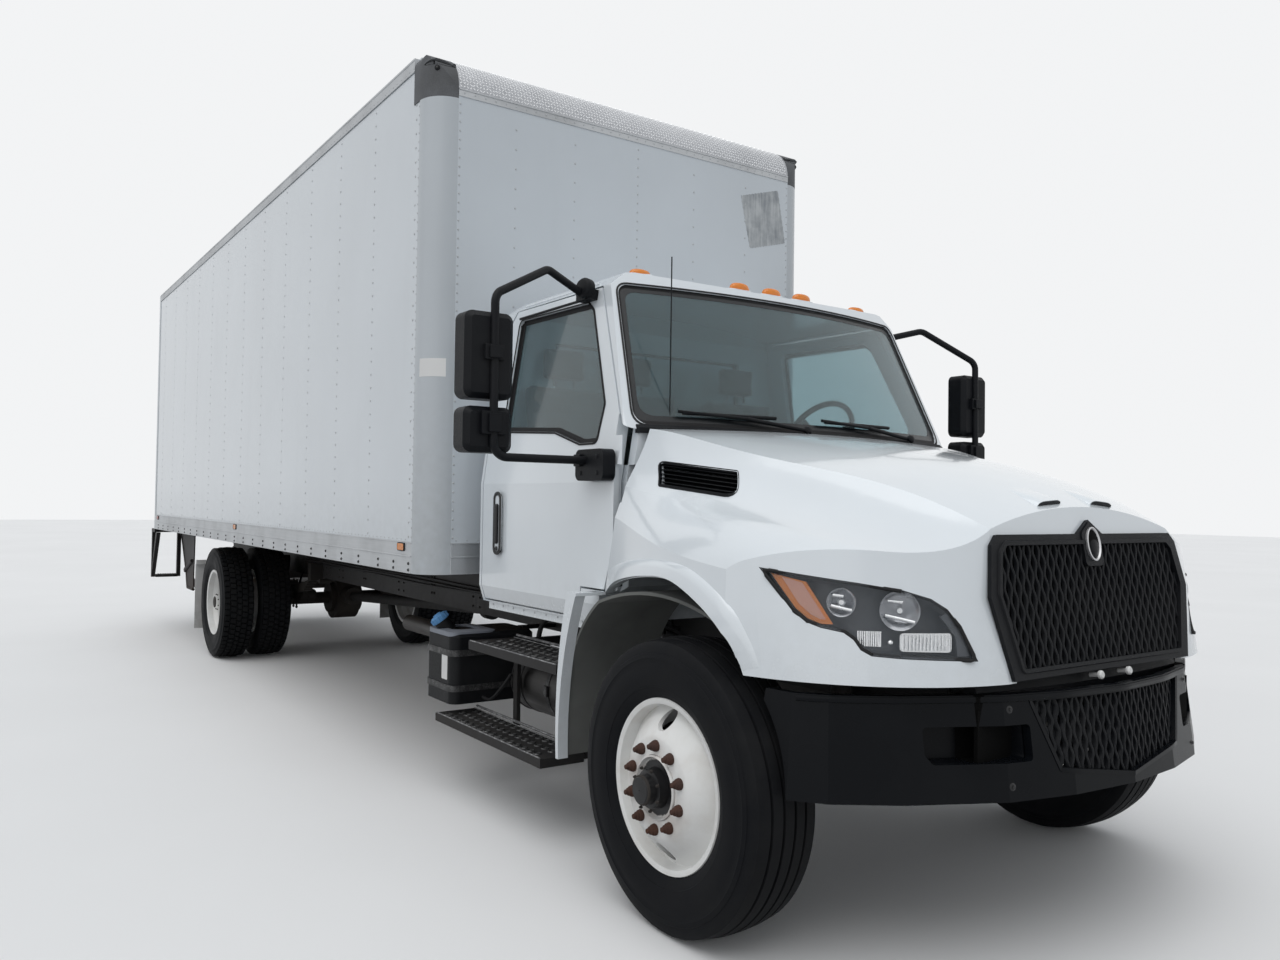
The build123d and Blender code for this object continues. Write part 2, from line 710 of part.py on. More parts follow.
# Hood: half-sections by station. The dome ends in a crease, from which an arc runs through the valley
# into a second arc over the fender's crown, down to the side
hood_stations = (
    # station, centre z, dome edge (y, z), valley (y, z), crown start (y, z), side (y, z), foot y
    (-660, 1808, (955, 1772), (1003, 1680), (1019, 1590), (1031, 1440), 1034),
    (-300, 1788, (862, 1745), (930, 1600), (1003, 1513), (1110, 1370), 1150),
    (0, 1738, (775, 1668), (903, 1530), (1000, 1473), (1160, 1310), 1190),
    (400, 1650, (655, 1582), (850, 1446), (975, 1408), (1150, 1260), 1180),
    (700, 1545, (567, 1480), (750, 1379), (880, 1346), (1080, 1215), 1110),
    (950, 1425, (500, 1352), (670, 1285), (775, 1258), (960, 1150), 990),
)
skin_normals = ((0.5, 0.87), (0.5, 0.87), (0.5, 0.87), (0.9, 0.43), (1.0, 0.0))
hood_foot_z = 700
nose_lean = 65
nose_rise = 400


def hood_form(inset):
    """Loft of the hood's outer skin moved in by an inset."""
    with BuildPart() as form:
        for station, centre_z, *half, foot_y in hood_stations:
            half.append((foot_y, hood_foot_z))
            half = [(y - inset * ny, z - inset * nz) for (y, z), (ny, nz) in zip(half, skin_normals)]
            dome, foot = half[0], half[-1]
            with BuildSketch(Plane.YZ.offset(axle_x + station)):
                with BuildLine():
                    ThreePointArc((-dome[0], dome[1]), (0, centre_z - inset), dome)
                    for turn in (1, -1):
                        start, valley, join, end, low = [(turn * y, z) for y, z in half]
                        hollow = ThreePointArc(start, valley, join)
                        TangentArc(join, end, tangent=hollow % 1)
                        Line(end, low)
                    Line(foot, (-foot[0], foot[1]))
                make_face()
        loft()
        with BuildPart(mode=Mode.PRIVATE) as nose:
            with BuildSketch(Plane.XY.offset(hood_foot_z)):
                with BuildLine():
                    lean = (hood_lip_z - hood_foot_z) * nose_lean / nose_rise
                    front = nose_x + lean - inset
                    corner = ThreePointArc(
                        (front, -540 + inset * 0.5), (axle_x + 765 + lean - inset, -880 + inset),
                        (axle_x + 430 + lean, -1130 + inset)
                    )
                    swept = ThreePointArc(
                        (axle_x + 430 + lean, 1130 - inset), (axle_x + 765 + lean - inset, 880 - inset),
                        (front, 540 - inset * 0.5)
                    )
                    Line(swept @ 1, corner @ 0)
                    Polyline(
                        corner @ 1, (axle_x + 100, -1260), (axle_x - 1500, -1260), (axle_x - 1500, 1260),
                        (axle_x + 100, 1260), swept @ 0
                    )
                make_face()
            extrude(amount=1400, dir=(-nose_lean, 0, nose_rise))
        add(nose.part, mode=Mode.INTERSECT)
    return form.part


grille_outline = [
    (-520, 930), (-592, 1205), (-556, 1366), (-522, 1398), (-75, 1398), (0, 1446),
    (75, 1398), (522, 1398), (556, 1366), (592, 1205), (520, 930),
]
grille_field = [
    (-476, 978), (-542, 1210), (-512, 1340), (-484, 1364), (484, 1364), (512, 1340), (542, 1210),
    (476, 978)
]
headlamp_outline = [
    (-327, 1281), (-26, 1245), (104, 1226), (190, 1200), (238, 1169), (277, 1118), (326, 1018), (105, 1027),
    (20, 1033), (-11, 1049), (-33, 1079), (-64, 1100), (-135, 1112), (-180, 1127), (-222, 1158),
]
fender_rear = [(-624, 1128), (-568, 1330), (-536, 1485), (-400, 1485), (-400, 600), (-624, 600)]
arch_line = [
    (-640, 1110), (-446, 1178), (-202, 1213), (-6, 1212), (178, 1142), (293, 1055), (360, 950), (385, 800)
]
grille_flange = 14
grille_foot_half = 500
foot_trim = 420
vent_outline = [(-415, 1650), (-46, 1606), (34, 1510), (-350, 1553)]


def headlamp_prism(side, margin=0):
    """Column through the hood's front corner with the headlamp's outline."""
    with BuildPart() as prism:
        facing = Plane(
            origin=(axle_x + 650, side * 900, 0), x_dir=(0.77, -side * 0.64, 0),
            z_dir=(0.64, side * 0.77, 0)
        )
        if side > 0:
            facing = Plane(origin=facing.origin, x_dir=(-0.77, 0.64, 0), z_dir=(0.64, 0.77, 0))
        with BuildSketch(facing.offset(-200)) as outline:
            with BuildLine():
                turn = 1 if side < 0 else -1
                Polyline(*[(turn * h, z) for h, z in headlamp_outline], close=True)
            make_face()
            if margin:
                offset(amount=margin, kind=Kind.INTERSECTION)
        extrude(outline.sketch, amount=500)
    return prism.part


hood_outer = hood_form(0)
with BuildPart() as hood:
    add(hood_outer)
    add(hood_form(hood_skin), mode=Mode.SUBTRACT)
    with BuildSketch(Plane.XY.offset(hood_foot_z - 10)) as rear_cut:
        with BuildLine():
            edge = ThreePointArc((hood_back_x, -1000), (axle_x - 385, 0), (hood_back_x, 1000))
            Polyline(
                edge @ 1, (hood_back_x, 1300), (axle_x - 900, 1300), (axle_x - 900, -1300),
                (hood_back_x, -1300), edge @ 0
            )
        make_face()
    with BuildPart(mode=Mode.PRIVATE) as behind:
        extrude(rear_cut.sketch, amount=1500)
        for side in (-1, 1):
            add(side_prism(fender_rear, side * 1300, side * 900), mode=Mode.SUBTRACT)
    add(behind.part, mode=Mode.SUBTRACT)
    box_at((axle_x - 1000, axle_x + 1400), (-1300, 1300), (600, hood_lip_z), mode=Mode.SUBTRACT)
    for side in (-1, 1):
        with BuildSketch(Plane.XZ.offset(-max(side * 720, side * 1300))) as arch:
            with BuildLine():
                rim = Spline(*[(axle_x + x, z) for x, z in arch_line])
                Polyline(rim @ 1, (axle_x + 385, 600), (axle_x - 900, 600), (axle_x - 900, 1110), rim @ 0)
            make_face()
        extrude(arch.sketch, amount=580, mode=Mode.SUBTRACT)
        add(headlamp_prism(side, 4), mode=Mode.SUBTRACT)
        add(side_prism(vent_outline, side * 780, side * 1200, 16), mode=Mode.SUBTRACT)
    with BuildSketch(Plane.YZ.offset(nose_x - 200)):
        with BuildLine():
            Polyline(*grille_outline, close=True)
        make_face()
        offset(amount=-grille_flange, kind=Kind.INTERSECTION)
    extrude(amount=400, mode=Mode.SUBTRACT)
    box_at(
        (nose_x - 80, nose_x + 80), (-grille_foot_half, grille_foot_half),
        (hood_lip_z - 10, hood_lip_z + 30), mode=Mode.SUBTRACT
    )
save(hood.part, "hood")

# Headlamps filling the hood's front corners
with BuildPart() as headlamps:
    for side in (-1, 1):
        add((headlamp_prism(side) & hood_form(3)) - hood_form(60))
save(headlamps.part, "headlamps")

# Grille: a flanged surround and a woven field of upright bars, on the leaning nose
grille_pitch = 44
grille_link_pitch = 72
link_hole = [(0, 31), (14, 12), (14, -12), (0, -31), (-14, -12), (-14, 12)]
grille_low = hood_lip_z + 6
lean_angle = math.atan2(nose_lean, nose_rise)


def link_holes(columns, rows, middle_z):
    """Staggered rows of long holes, so that the bars between them weave."""
    for column in range(-columns, columns + 1):
        stagger = grille_link_pitch / 2 if column % 2 else 0
        with Locations((column * grille_pitch, middle_z + stagger)):
            with GridLocations(1, grille_link_pitch, 1, rows):
                Polygon(*link_hole, mode=Mode.SUBTRACT)


def on_nose(points):
    """Outline of (y, z) in the leaning plane of the nose, measured up from the grille's foot."""
    return [(y, (z - grille_low) / math.cos(lean_angle)) for y, z in points]


with BuildPart() as grille:
    foot_x = nose_x - (grille_low - hood_lip_z) * nose_lean / nose_rise
    grille_plane = Plane(
        origin=(foot_x, 0, grille_low), x_dir=(0, 1, 0),
        z_dir=(math.cos(lean_angle), 0, math.sin(lean_angle))
    )
    for low, depth, inset in ((1, 14, 0), (-30, 31, grille_flange + 5)):
        with BuildSketch(grille_plane.offset(low)) as surround:
            with BuildLine():
                Polyline(*on_nose(grille_outline), close=True)
            make_face()
            if inset:
                offset(amount=-inset, kind=Kind.INTERSECTION, mode=Mode.REPLACE)
            with BuildLine():
                Polyline(*on_nose(grille_field), close=True)
            make_face(mode=Mode.SUBTRACT)
            with Locations((0, -foot_trim / 2)):
                Rectangle(3 * foot_trim, foot_trim, mode=Mode.SUBTRACT)
        extrude(surround.sketch, amount=depth)
    with BuildSketch(grille_plane.offset(-20)) as field:
        with BuildLine():
            Polyline(*on_nose(grille_field), close=True)
        make_face()
        offset(amount=4, kind=Kind.INTERSECTION, mode=Mode.REPLACE)
        link_holes(11, 5, 226)
    extrude(field.sketch, amount=14)
save(grille.part, "grille")


# Front bumper: a bent face with a return lip, open behind, cut back round the tyres' sweep
bumper_low = 585
bumper_high = 905
bumper_skin = 30
bumper_lip = 90
bumper_taper = 7
bumper_half = 1150
tyre_sweep = math.hypot(tyre_radius, front_wheel_y - kingpin_y + tread_width / 2) + 8
bumper_plan = [
    (front_overhang, 0), (985, 300), (925, 560), (775, 860), (640, 1050), (540, 1128), (380, bumper_half)
]
bumper_bracket_top = 860
mesh_outline = [(-450, 890), (-352, 662), (0, 612), (352, 662), (450, 890)]
mesh_thickness = 14
fog_outline = [(455, 700), (770, 700), (792, 730), (792, 812), (455, 812)]
with BuildPart() as front_bumper:
    outer_plan = [(axle_x + x, y) for x, y in bumper_plan]
    with BuildSketch(Plane.XY.offset(bumper_low)) as face_plan:
        with BuildLine():
            Polyline(*outer_plan, *[(x, -y) for x, y in reversed(outer_plan[1:])], close=True)
        make_face()
    extrude(face_plan.sketch, amount=bumper_high - bumper_low, taper=bumper_taper)
    for low, skin in ((bumper_low + bumper_skin, bumper_skin), (bumper_low - 1, bumper_lip)):
        with BuildSketch(Plane.XY.offset(low)) as hollow:
            add(face_plan.sketch_local)
            offset(amount=-skin, kind=Kind.INTERSECTION, mode=Mode.REPLACE)
            with Locations((axle_x + 200, 0)):
                Rectangle(600, 2 * (bumper_half - 2 * bumper_skin))
        extrude(hollow.sketch, amount=bumper_high, taper=bumper_taper, mode=Mode.SUBTRACT)
    for side in (-1, 1):
        with Locations((axle_x, side * kingpin_y, hub_z)):
            Sphere(tyre_sweep, mode=Mode.SUBTRACT)
        with BuildSketch(Plane.YZ.offset(axle_x + 700)) as fog_cut:
            with BuildLine():
                Polyline(*[(side * y, z) for y, z in fog_outline], close=True)
            make_face()
            fillet(fog_cut.vertices(), 14)
        extrude(fog_cut.sketch, amount=400, mode=Mode.SUBTRACT)
        bracket_z = (bumper_low + 10, bumper_bracket_top)
        box_at(
            (frame_front_x - 200, axle_x + 860), (side * frame_half, side * (frame_half + 14)), bracket_z
        )
        box_at((axle_x + 846, axle_x + 860), (side * frame_half, side * (frame_half + 200)), bracket_z)
    with BuildSketch(Plane.YZ.offset(axle_x + 870)) as mesh_cut:
        with BuildLine():
            Polyline(*mesh_outline, close=True)
        make_face()
    extrude(mesh_cut.sketch, amount=300, mode=Mode.SUBTRACT)
save(front_bumper.part, "front_bumper")

# Lower grille against the bumper's inner face, bent as it is
with BuildPart() as bumper_grille:
    with BuildSketch(Plane.YZ.offset(axle_x + 870)) as mesh:
        with BuildLine():
            Polyline(*mesh_outline, close=True)
        make_face()
        offset(amount=10, kind=Kind.INTERSECTION, mode=Mode.REPLACE)
        link_holes(9, 4, 750)
        with Locations((0, bumper_low)):
            Rectangle(1200, 2 * bumper_skin, mode=Mode.SUBTRACT)
    extrude(mesh.sketch, amount=200)
    for skin, way in ((bumper_skin, Mode.INTERSECT), (bumper_skin + mesh_thickness, Mode.SUBTRACT)):
        with BuildPart(mode=Mode.PRIVATE) as bent:
            with BuildSketch(Plane.XY.offset(bumper_low + bumper_skin)) as bent_plan:
                add(face_plan.sketch_local)
                offset(amount=-skin, kind=Kind.INTERSECTION, mode=Mode.REPLACE)
            extrude(bent_plan.sketch, amount=bumper_high - bumper_low - bumper_skin, taper=bumper_taper)
        add(bent.part, mode=way)
save(bumper_grille.part, "bumper_grille")

# Mudguards behind the front wheels: a curved liner with a white outer blade
liner_inner_y = 700
liner_outer_y = 1125
blade_outer_y = 1172
blade_top = 1118
with BuildPart() as fender_liners:
    for side in (-1, 1):
        with BuildSketch(Plane.XZ.offset(-max(side * liner_inner_y, side * liner_outer_y))) as liner:
            with BuildLine():
                over = ThreePointArc((axle_x + 300, 1046), (axle_x - 130, 1150), (axle_x - 545, 1090))
                rear = ThreePointArc(over @ 1, (axle_x - 726, 880), (axle_x - 775, 640))
                Line(rear @ 1, (axle_x - 775, 440))
            trace(line_width=12)
        extrude(liner.sketch, amount=liner_outer_y - liner_inner_y)
save(fender_liners.part, "fender_liners")
with BuildPart() as fender_blades:
    for side in (-1, 1):
        with BuildSketch(Plane.XZ.offset(-max(side * liner_outer_y, side * blade_outer_y))) as blade:
            with BuildLine():
                front = ThreePointArc((axle_x - 640, 1118), (axle_x - 733, 830), (axle_x - 762, 430))
                back = ThreePointArc((axle_x - 782, 430), (axle_x - 778, 780), (axle_x - 712, 1118))
                Line(front @ 1, back @ 0)
                Line(back @ 1, front @ 0)
            make_face()
        extrude(blade.sketch, amount=blade_outer_y - liner_outer_y)
        box_at(
            (axle_x - 712, axle_x - 640), (side * cab_half, side * blade_outer_y),
            (blade_top - 12, blade_top)
        )
save(fender_blades.part, "fender_blades")

# Cab steps: two perforated treads each side on brackets from the frame
step_treads = ((795, -1720, -860, 880, 1130), (385, -2060, -950, 930, 1150))
tread_hole_pitch = 62
with BuildPart() as cab_steps:
    for side in (-1, 1):
        for z, back, front, y_in, y_out in step_treads:
            box_at((axle_x + back, axle_x + front), (side * y_in, side * y_out), (z - 40, z))
            box_at(
                (axle_x + back + 12, axle_x + front - 12), (side * (y_in + 12), side * (y_out - 12)),
                (z - 41, z - 6), mode=Mode.SUBTRACT
            )
            holes_x = int((front - back - 80) / tread_hole_pitch)
            with BuildSketch(Plane.XY.offset(z - 8)) as holes:
                with Locations((axle_x + (back + front) / 2, side * (y_in + y_out) / 2)):
                    with GridLocations(tread_hole_pitch, 74, holes_x, 3):
                        RegularPolygon(15, 6)
            extrude(holes.sketch, amount=10, mode=Mode.SUBTRACT)
        for station in (-1660, -1010):
            box_at((axle_x + station - 20, axle_x + station + 20), (side * 880, side * 900), (345, 795))
            box_at(
                (axle_x + station - 20, axle_x + station + 20), (side * frame_half, side * 900),
                (755, 795)
            )
            box_at((axle_x + station - 20, axle_x + station + 20), (side * 880, side * 960), (345, 365))
save(cab_steps.part, "cab_steps")

# Exhaust-fluid tank with its filler cap, behind the right-hand steps
with BuildPart() as def_tank:
    box_at((axle_x - 2270, axle_x - 1930), (-1120, -640), (440, 800))
    fillet(def_tank.edges().filter_by(Axis.Z), 50)
    chamfer(def_tank.faces().sort_by(Axis.Z)[-1].edges(), 20)
    rod_between((axle_x - 2130, -1050, 790), (axle_x - 2150, -1090, 850), 42)
    box_at((axle_x - 2120, axle_x - 2080), (-650, -frame_half), (780, 800))
save(def_tank.part, "def_tank")

# Exhaust: aftertreatment canister low between the right-hand steps, with its tailpipe
with BuildPart() as exhaust:
    rod_between((axle_x - 1780, -690, 570), (axle_x - 960, -690, 570), 165)
    rod_between((axle_x - 1790, -600, 600), (axle_x - 1900, -560, 620), 55)
    rod_between((axle_x - 1900, -560, 620), (axle_x - 3900, -560, 620), 55)
    for x in (axle_x - 1480, axle_x - 1180):
        box_at((x - 25, x + 25), (-frame_half, -700), (690, 760))
save(exhaust.part, "exhaust")

# Air tanks end to end outside the left-hand rail
air_tank_y = 590
with BuildPart() as air_tanks:
    for station in (-2200, -2850):
        rod_between((axle_x + station - 560, air_tank_y, 660), (axle_x + station, air_tank_y, 660), 118)
        for x in (axle_x + station - 460, axle_x + station - 100):
            box_at((x - 20, x + 20), (frame_half, air_tank_y), (770, 800))
            box_at((x - 20, x + 20), (frame_half, frame_half + 8), (770, 900))
save(air_tanks.part, "air_tanks")

# Fuel tank under the left-hand door
with BuildPart() as fuel_tank:
    box_at((axle_x - 1900, axle_x - 900), (500, 870), (400, 740))
    fillet(fuel_tank.edges().filter_by(Axis.X), 70)
    for station in (-1480, -1180):
        box_at(
            (axle_x + station - 30, axle_x + station + 30), (frame_half, 560), (690, frame_bottom + 60)
        )
    rod_between((axle_x - 1300, 840, 640), (axle_x - 1300, 905, 705), 40)
save(fuel_tank.part, "fuel_tank")


# Load floor: deck boards on cross sills, on two long sills that rest on the frame
sill_depth = 95
sill_pitch = 305
deck_thickness = 30
nose_radius = 200
cap_low = 3550
rear_frame_depth = 70
deck_back_x = box_back_x + rear_frame_depth
deck_half = box_half - box_wall - 2
with BuildPart() as box_floor:
    box_at(
        (deck_back_x, box_front_x - box_wall - 1), (-deck_half, deck_half),
        (box_floor_z - deck_thickness, box_floor_z)
    )
    sill_count = int((box_length - 500) / sill_pitch)
    cross_low = box_floor_z - deck_thickness - sill_depth
    for index in range(sill_count):
        x = box_front_x - 260 - index * sill_pitch
        box_at((x - 4, x + 4), (-deck_half, deck_half), (cross_low, box_floor_z - deck_thickness))
        box_at((x - 30, x + 30), (-deck_half, deck_half), (cross_low, cross_low + 8))
    for side in (-1, 1):
        box_at(
            (deck_back_x, box_front_x - 60), (side * (frame_half - 78), side * (frame_half - 8)),
            (frame_top, cross_low)
        )
        box_at(
            (box_front_x - post_radius - 2, box_front_x),
            (side * (box_half - post_radius - 2), side * box_half), (box_rail_z, box_floor_z + 1),
            mode=Mode.SUBTRACT
        )
save(box_floor.part, "box_floor")

# Front wall between the round corner posts
with BuildPart() as box_front_wall:
    box_at(
        (box_front_x - box_wall, box_front_x), (post_radius - box_half, box_half - post_radius),
        (box_rail_z, box_side_top - nose_radius)
    )
save(box_front_wall.part, "box_front_wall")

# Quarter-round corner posts
with BuildPart() as box_corner_posts:
    for side in (-1, 1):
        with BuildSketch(Plane.XY.offset(box_rail_z)) as post:
            with Locations((box_front_x - post_radius, side * (box_half - post_radius))):
                Circle(post_radius)
                Circle(post_radius - box_wall, mode=Mode.SUBTRACT)
                with Locations((post_radius / 2, side * post_radius / 2)):
                    Rectangle(post_radius, post_radius, mode=Mode.INTERSECT)
        extrude(post.sketch, amount=cap_low - box_rail_z)
save(box_corner_posts.part, "box_corner_posts")

# Rounded nose rail along the top front edge, between the corner caps
with BuildPart() as box_nose_rail:
    with BuildSketch(Plane.XZ.offset(post_radius - box_half)) as nose_section:
        with Locations((box_front_x - nose_radius, box_side_top - nose_radius)):
            Circle(nose_radius)
            Circle(nose_radius - box_wall, mode=Mode.SUBTRACT)
            with Locations((nose_radius / 2, nose_radius / 2)):
                Rectangle(nose_radius, nose_radius, mode=Mode.INTERSECT)
    extrude(nose_section.sketch, amount=2 * (box_half - post_radius))
save(box_nose_rail.part, "box_nose_rail")


def corner_block(side, inset):
    """Corner cap volume: post round in plan, nose round from the side, eased along the top."""
    x_span = (box_front_x - cap_depth - inset, box_front_x - inset)
    y_span = (box_half - post_radius - inset, box_half - inset)
    z_span = (cap_low - inset, box_side_top - inset)
    with BuildPart() as block:
        views = (
            (
                Plane.XY.offset(z_span[0]), x_span, [side * y for y in y_span], post_radius,
                z_span[1] - z_span[0]
            ),
            (Plane.XZ.offset(-box_half), x_span, z_span, nose_radius, 2 * box_half),
            (Plane.YZ.offset(x_span[0]), [side * y for y in y_span], z_span, cap_ease, cap_depth),
        )
        for number, (plane, first, second, radius, depth) in enumerate(views):
            with BuildSketch(plane) as outline:
                with Locations(((first[0] + first[1]) / 2, (second[0] + second[1]) / 2)):
                    Rectangle(abs(first[1] - first[0]), abs(second[1] - second[0]))
                outer_corner = outline.vertices().sort_by_distance((first[1], second[1], 0))[0]
                fillet(outer_corner, radius - inset - 0.1)
            extrude(outline.sketch, amount=depth, mode=Mode.INTERSECT if number else Mode.ADD)
    return block.part


# Cast caps on the two top front corners
cap_depth = 230
cap_ease = 60
with BuildPart() as box_corner_caps:
    for side in (-1, 1):
        add(corner_block(side, 0) - corner_block(side, box_wall))
save(box_corner_caps.part, "box_corner_caps")

# Side walls between the bottom and top rails
panel_inset = 4
top_rail_height = 70
panel_high = box_side_top - top_rail_height
with BuildPart() as box_side_walls:
    for side in (-1, 1):
        box_at(
            (deck_back_x, box_front_x - post_radius),
            (side * (box_half - box_wall), side * (box_half - panel_inset)), (box_floor_z, panel_high)
        )
        box_at(
            (box_front_x - cap_depth, box_front_x), (side * (box_half - post_radius), side * box_half),
            (cap_low, box_side_top), mode=Mode.SUBTRACT
        )
save(box_side_walls.part, "box_side_walls")

# Bottom rails with their lower flange, and top rails along the roof's edges
with BuildPart() as box_side_rails:
    for side in (-1, 1):
        outer = side * box_half
        box_at(
            (deck_back_x, box_front_x - post_radius), (side * (box_half - box_wall), outer),
            (box_rail_z, box_floor_z)
        )
        box_at(
            (deck_back_x, box_front_x - cap_depth), (side * (box_half - box_wall), outer),
            (panel_high, box_side_top)
        )
save(box_side_rails.part, "box_side_rails")

# Roof sheet, slightly crowned, between the top rails
roof_skin = 14
roof_half = box_half - box_wall
with BuildPart() as box_roof:
    with BuildSketch(Plane.YZ.offset(deck_back_x)):
        with BuildLine():
            upper = ThreePointArc((-roof_half, box_side_top), (0, box_top), (roof_half, box_side_top))
            lower = ThreePointArc(
                (roof_half, box_side_top - roof_skin), (0, box_top - roof_skin),
                (-roof_half, box_side_top - roof_skin)
            )
            Line(upper @ 1, lower @ 0)
            Line(lower @ 1, upper @ 0)
        make_face()
    extrude(amount=box_front_x - nose_radius - deck_back_x)
    for side in (-1, 1):
        add(corner_block(side, 0), mode=Mode.SUBTRACT)
save(box_roof.part, "box_roof")

# Rear portal round the door opening
door_half = 1180
door_high = 3560
with BuildPart() as box_rear_frame:
    box_at((box_back_x, deck_back_x), (-box_half, box_half), (box_rail_z, box_side_top))
    box_at(
        (box_back_x - 1, deck_back_x + 1), (-door_half, door_half), (box_floor_z, door_high),
        mode=Mode.SUBTRACT
    )
save(box_rear_frame.part, "box_rear_frame")

# Roll-up door: hinged slats seen from outside, with a grab handle
door_slats = 8
slat_height = (door_high - box_floor_z - 6) / door_slats
with BuildPart() as rollup_door:
    for index in range(door_slats):
        low = box_floor_z + 3 + index * slat_height
        box_at(
            (box_back_x + 22, box_back_x + 45), (3 - door_half, door_half - 3),
            (low, low + slat_height - 6)
        )
    box_at(
        (box_back_x + 30, box_back_x + 45), (3 - door_half, door_half - 3),
        (box_floor_z + 3, door_high - 9)
    )
    box_at((box_back_x + 4, box_back_x + 22), (-60, 60), (box_floor_z + 120, box_floor_z + 200))
save(rollup_door.part, "rollup_door")

# Rear lamps in the portal: stop, turn and reversing lamps low, markers high
with BuildPart() as rear_lamps:
    for side in (-1, 1):
        for y in (1010, 830):
            with BuildSketch(Plane.YZ.offset(box_back_x - 10)) as lens:
                with Locations((side * y, (box_rail_z + box_floor_z) / 2)):
                    SlotOverall(160, 56)
            extrude(lens.sketch, amount=10)
        box_at(
            (box_back_x - 8, box_back_x), (side * 1130, side * 1230),
            (box_side_top - 100, box_side_top - 60)
        )
    for y in (-150, 0, 150):
        box_at((box_back_x - 8, box_back_x), (y - 45, y + 45), (box_side_top - 100, box_side_top - 60))
save(rear_lamps.part, "rear_lamps")

# Plate bracket on the rear sill, with two bolt holes
plate_hole_spacing = 178
plate_hole_radius = 3.5
with BuildPart() as plate_bracket:
    box_at((box_back_x - 4, box_back_x), (-155, 155), (box_rail_z + 2, box_floor_z - 2))
    for y in (-plate_hole_spacing / 2, plate_hole_spacing / 2):
        rod_between(
            (box_back_x - 5, y, box_floor_z - 40), (box_back_x + 1, y, box_floor_z - 40),
            plate_hole_radius, mode=Mode.SUBTRACT
        )
save(plate_bracket.part, "plate_bracket")

# Dock steps under the rear corners: shelf, hanging posts, tread and brace
with BuildPart() as rear_steps:
    for side in (-1, 1):
        box_at((rear_end_x, box_back_x), (side * 960, side * 1290), (box_rail_z - 40, box_rail_z))
        for y in (980, 1250):
            box_at(
                (rear_end_x + 10, rear_end_x + 60), (side * y, side * (y + 40)), (540, box_rail_z - 40)
            )
        box_at((rear_end_x + 10, rear_end_x + 110), (side * 1020, side * 1250), (540, 570))
        with BuildSketch(Plane.XZ.offset(-max(side * 1250, side * 1290))) as brace:
            with BuildLine():
                Polyline(
                    (rear_end_x + 60, 640), (rear_end_x + 60, 580), (box_back_x + 150, 1065),
                    (box_back_x + 60, 1065), close=True
                )
            make_face()
        extrude(brace.sketch, amount=40)
save(rear_steps.part, "rear_steps")

# Mudflaps behind the drive wheels, hung from angle brackets on the frame
flap_x = rear_axle_x - 690
with BuildPart() as mud_flaps:
    for side in (-1, 1):
        box_at((flap_x - 8, flap_x), (side * 640, side * 1240), (190, 860))
        box_at(
            (flap_x, flap_x + 40), (side * (frame_half + spring_hanger_depth), side * 1240), (820, 860)
        )
save(mud_flaps.part, "mud_flaps")

# Lift gate: hangers and torque tube under the frame
pivot_x = box_back_x + 1225
pivot_z = 690
arm_reach = 1080
arm_drop = 120
arm_y = 560
arm_width = 36
with BuildPart() as liftgate_frame:
    rod_between((pivot_x, -arm_y - 90, pivot_z), (pivot_x, -arm_y - 4, pivot_z), 30)
    rod_between((pivot_x, arm_y + 4, pivot_z), (pivot_x, arm_y + 90, pivot_z), 30)
    box_at((pivot_x + 60, pivot_x + 180), (-900, 900), (600, 720))
    for side in (-1, 1):
        box_at((pivot_x - 60, pivot_x + 180), (side * (arm_y + 50), side * (arm_y + 70)), (600, 790))
        box_at((pivot_x - 60, pivot_x + 180), (side * (frame_half + 1), side * (arm_y + 70)), (770, 790))
        box_at(
            (pivot_x - 60, pivot_x + 180), (side * (frame_half + 1), side * (frame_half + 13)), (770, 960)
        )
save(liftgate_frame.part, "liftgate_frame")

# Lift arms with their cross tube
heel_x = pivot_x - arm_reach
heel_z = pivot_z - arm_drop
with BuildPart() as lift_arms:
    for side in (-1, 1):
        with BuildSketch(Plane.XZ.offset(-max(side * arm_y, side * (arm_y - arm_width)))) as arm:
            with BuildLine():
                Polyline(
                    (pivot_x, pivot_z + 34), (pivot_x, pivot_z - 34), (heel_x, heel_z - 28),
                    (heel_x, heel_z + 28), close=True
                )
            make_face()
            with Locations((pivot_x, pivot_z)):
                Circle(50)
            with Locations((heel_x, heel_z)):
                Circle(34)
        extrude(arm.sketch, amount=arm_width)
    tube_x = pivot_x - 250
    tube_z = pivot_z - 250 * arm_drop / arm_reach
    rod_between((tube_x, arm_width - arm_y, tube_z), (tube_x, arm_y - arm_width, tube_z), 32)
save(lift_arms.part, "lift_arms")

# Folded platform: two leaves stacked under the arms, with heel ears
platform_half = 915
platform_length = 900
leaf_thickness = 38
platform_top = 524
with BuildPart() as lift_platform:
    box_at(
        (heel_x - 60, heel_x + platform_length), (-platform_half, platform_half),
        (platform_top - leaf_thickness, platform_top)
    )
    box_at(
        (heel_x - 40, heel_x + platform_length - 60), (-platform_half, platform_half),
        (platform_top - 2 * leaf_thickness - 8, platform_top - leaf_thickness - 8)
    )
    box_at(
        (heel_x - 60, heel_x - 40), (-platform_half, platform_half),
        (platform_top - 2 * leaf_thickness - 8, platform_top)
    )
    for side in (-1, 1):
        box_at(
            (heel_x - 34, heel_x + 34), (side * (arm_y + 5), side * (arm_y + 25)),
            (platform_top, heel_z + 34)
        )
save(lift_platform.part, "lift_platform")
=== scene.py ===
import bpy
import bmesh
import json
import math
from mathutils import Matrix, Vector
from mathutils.bvhtree import BVHTree


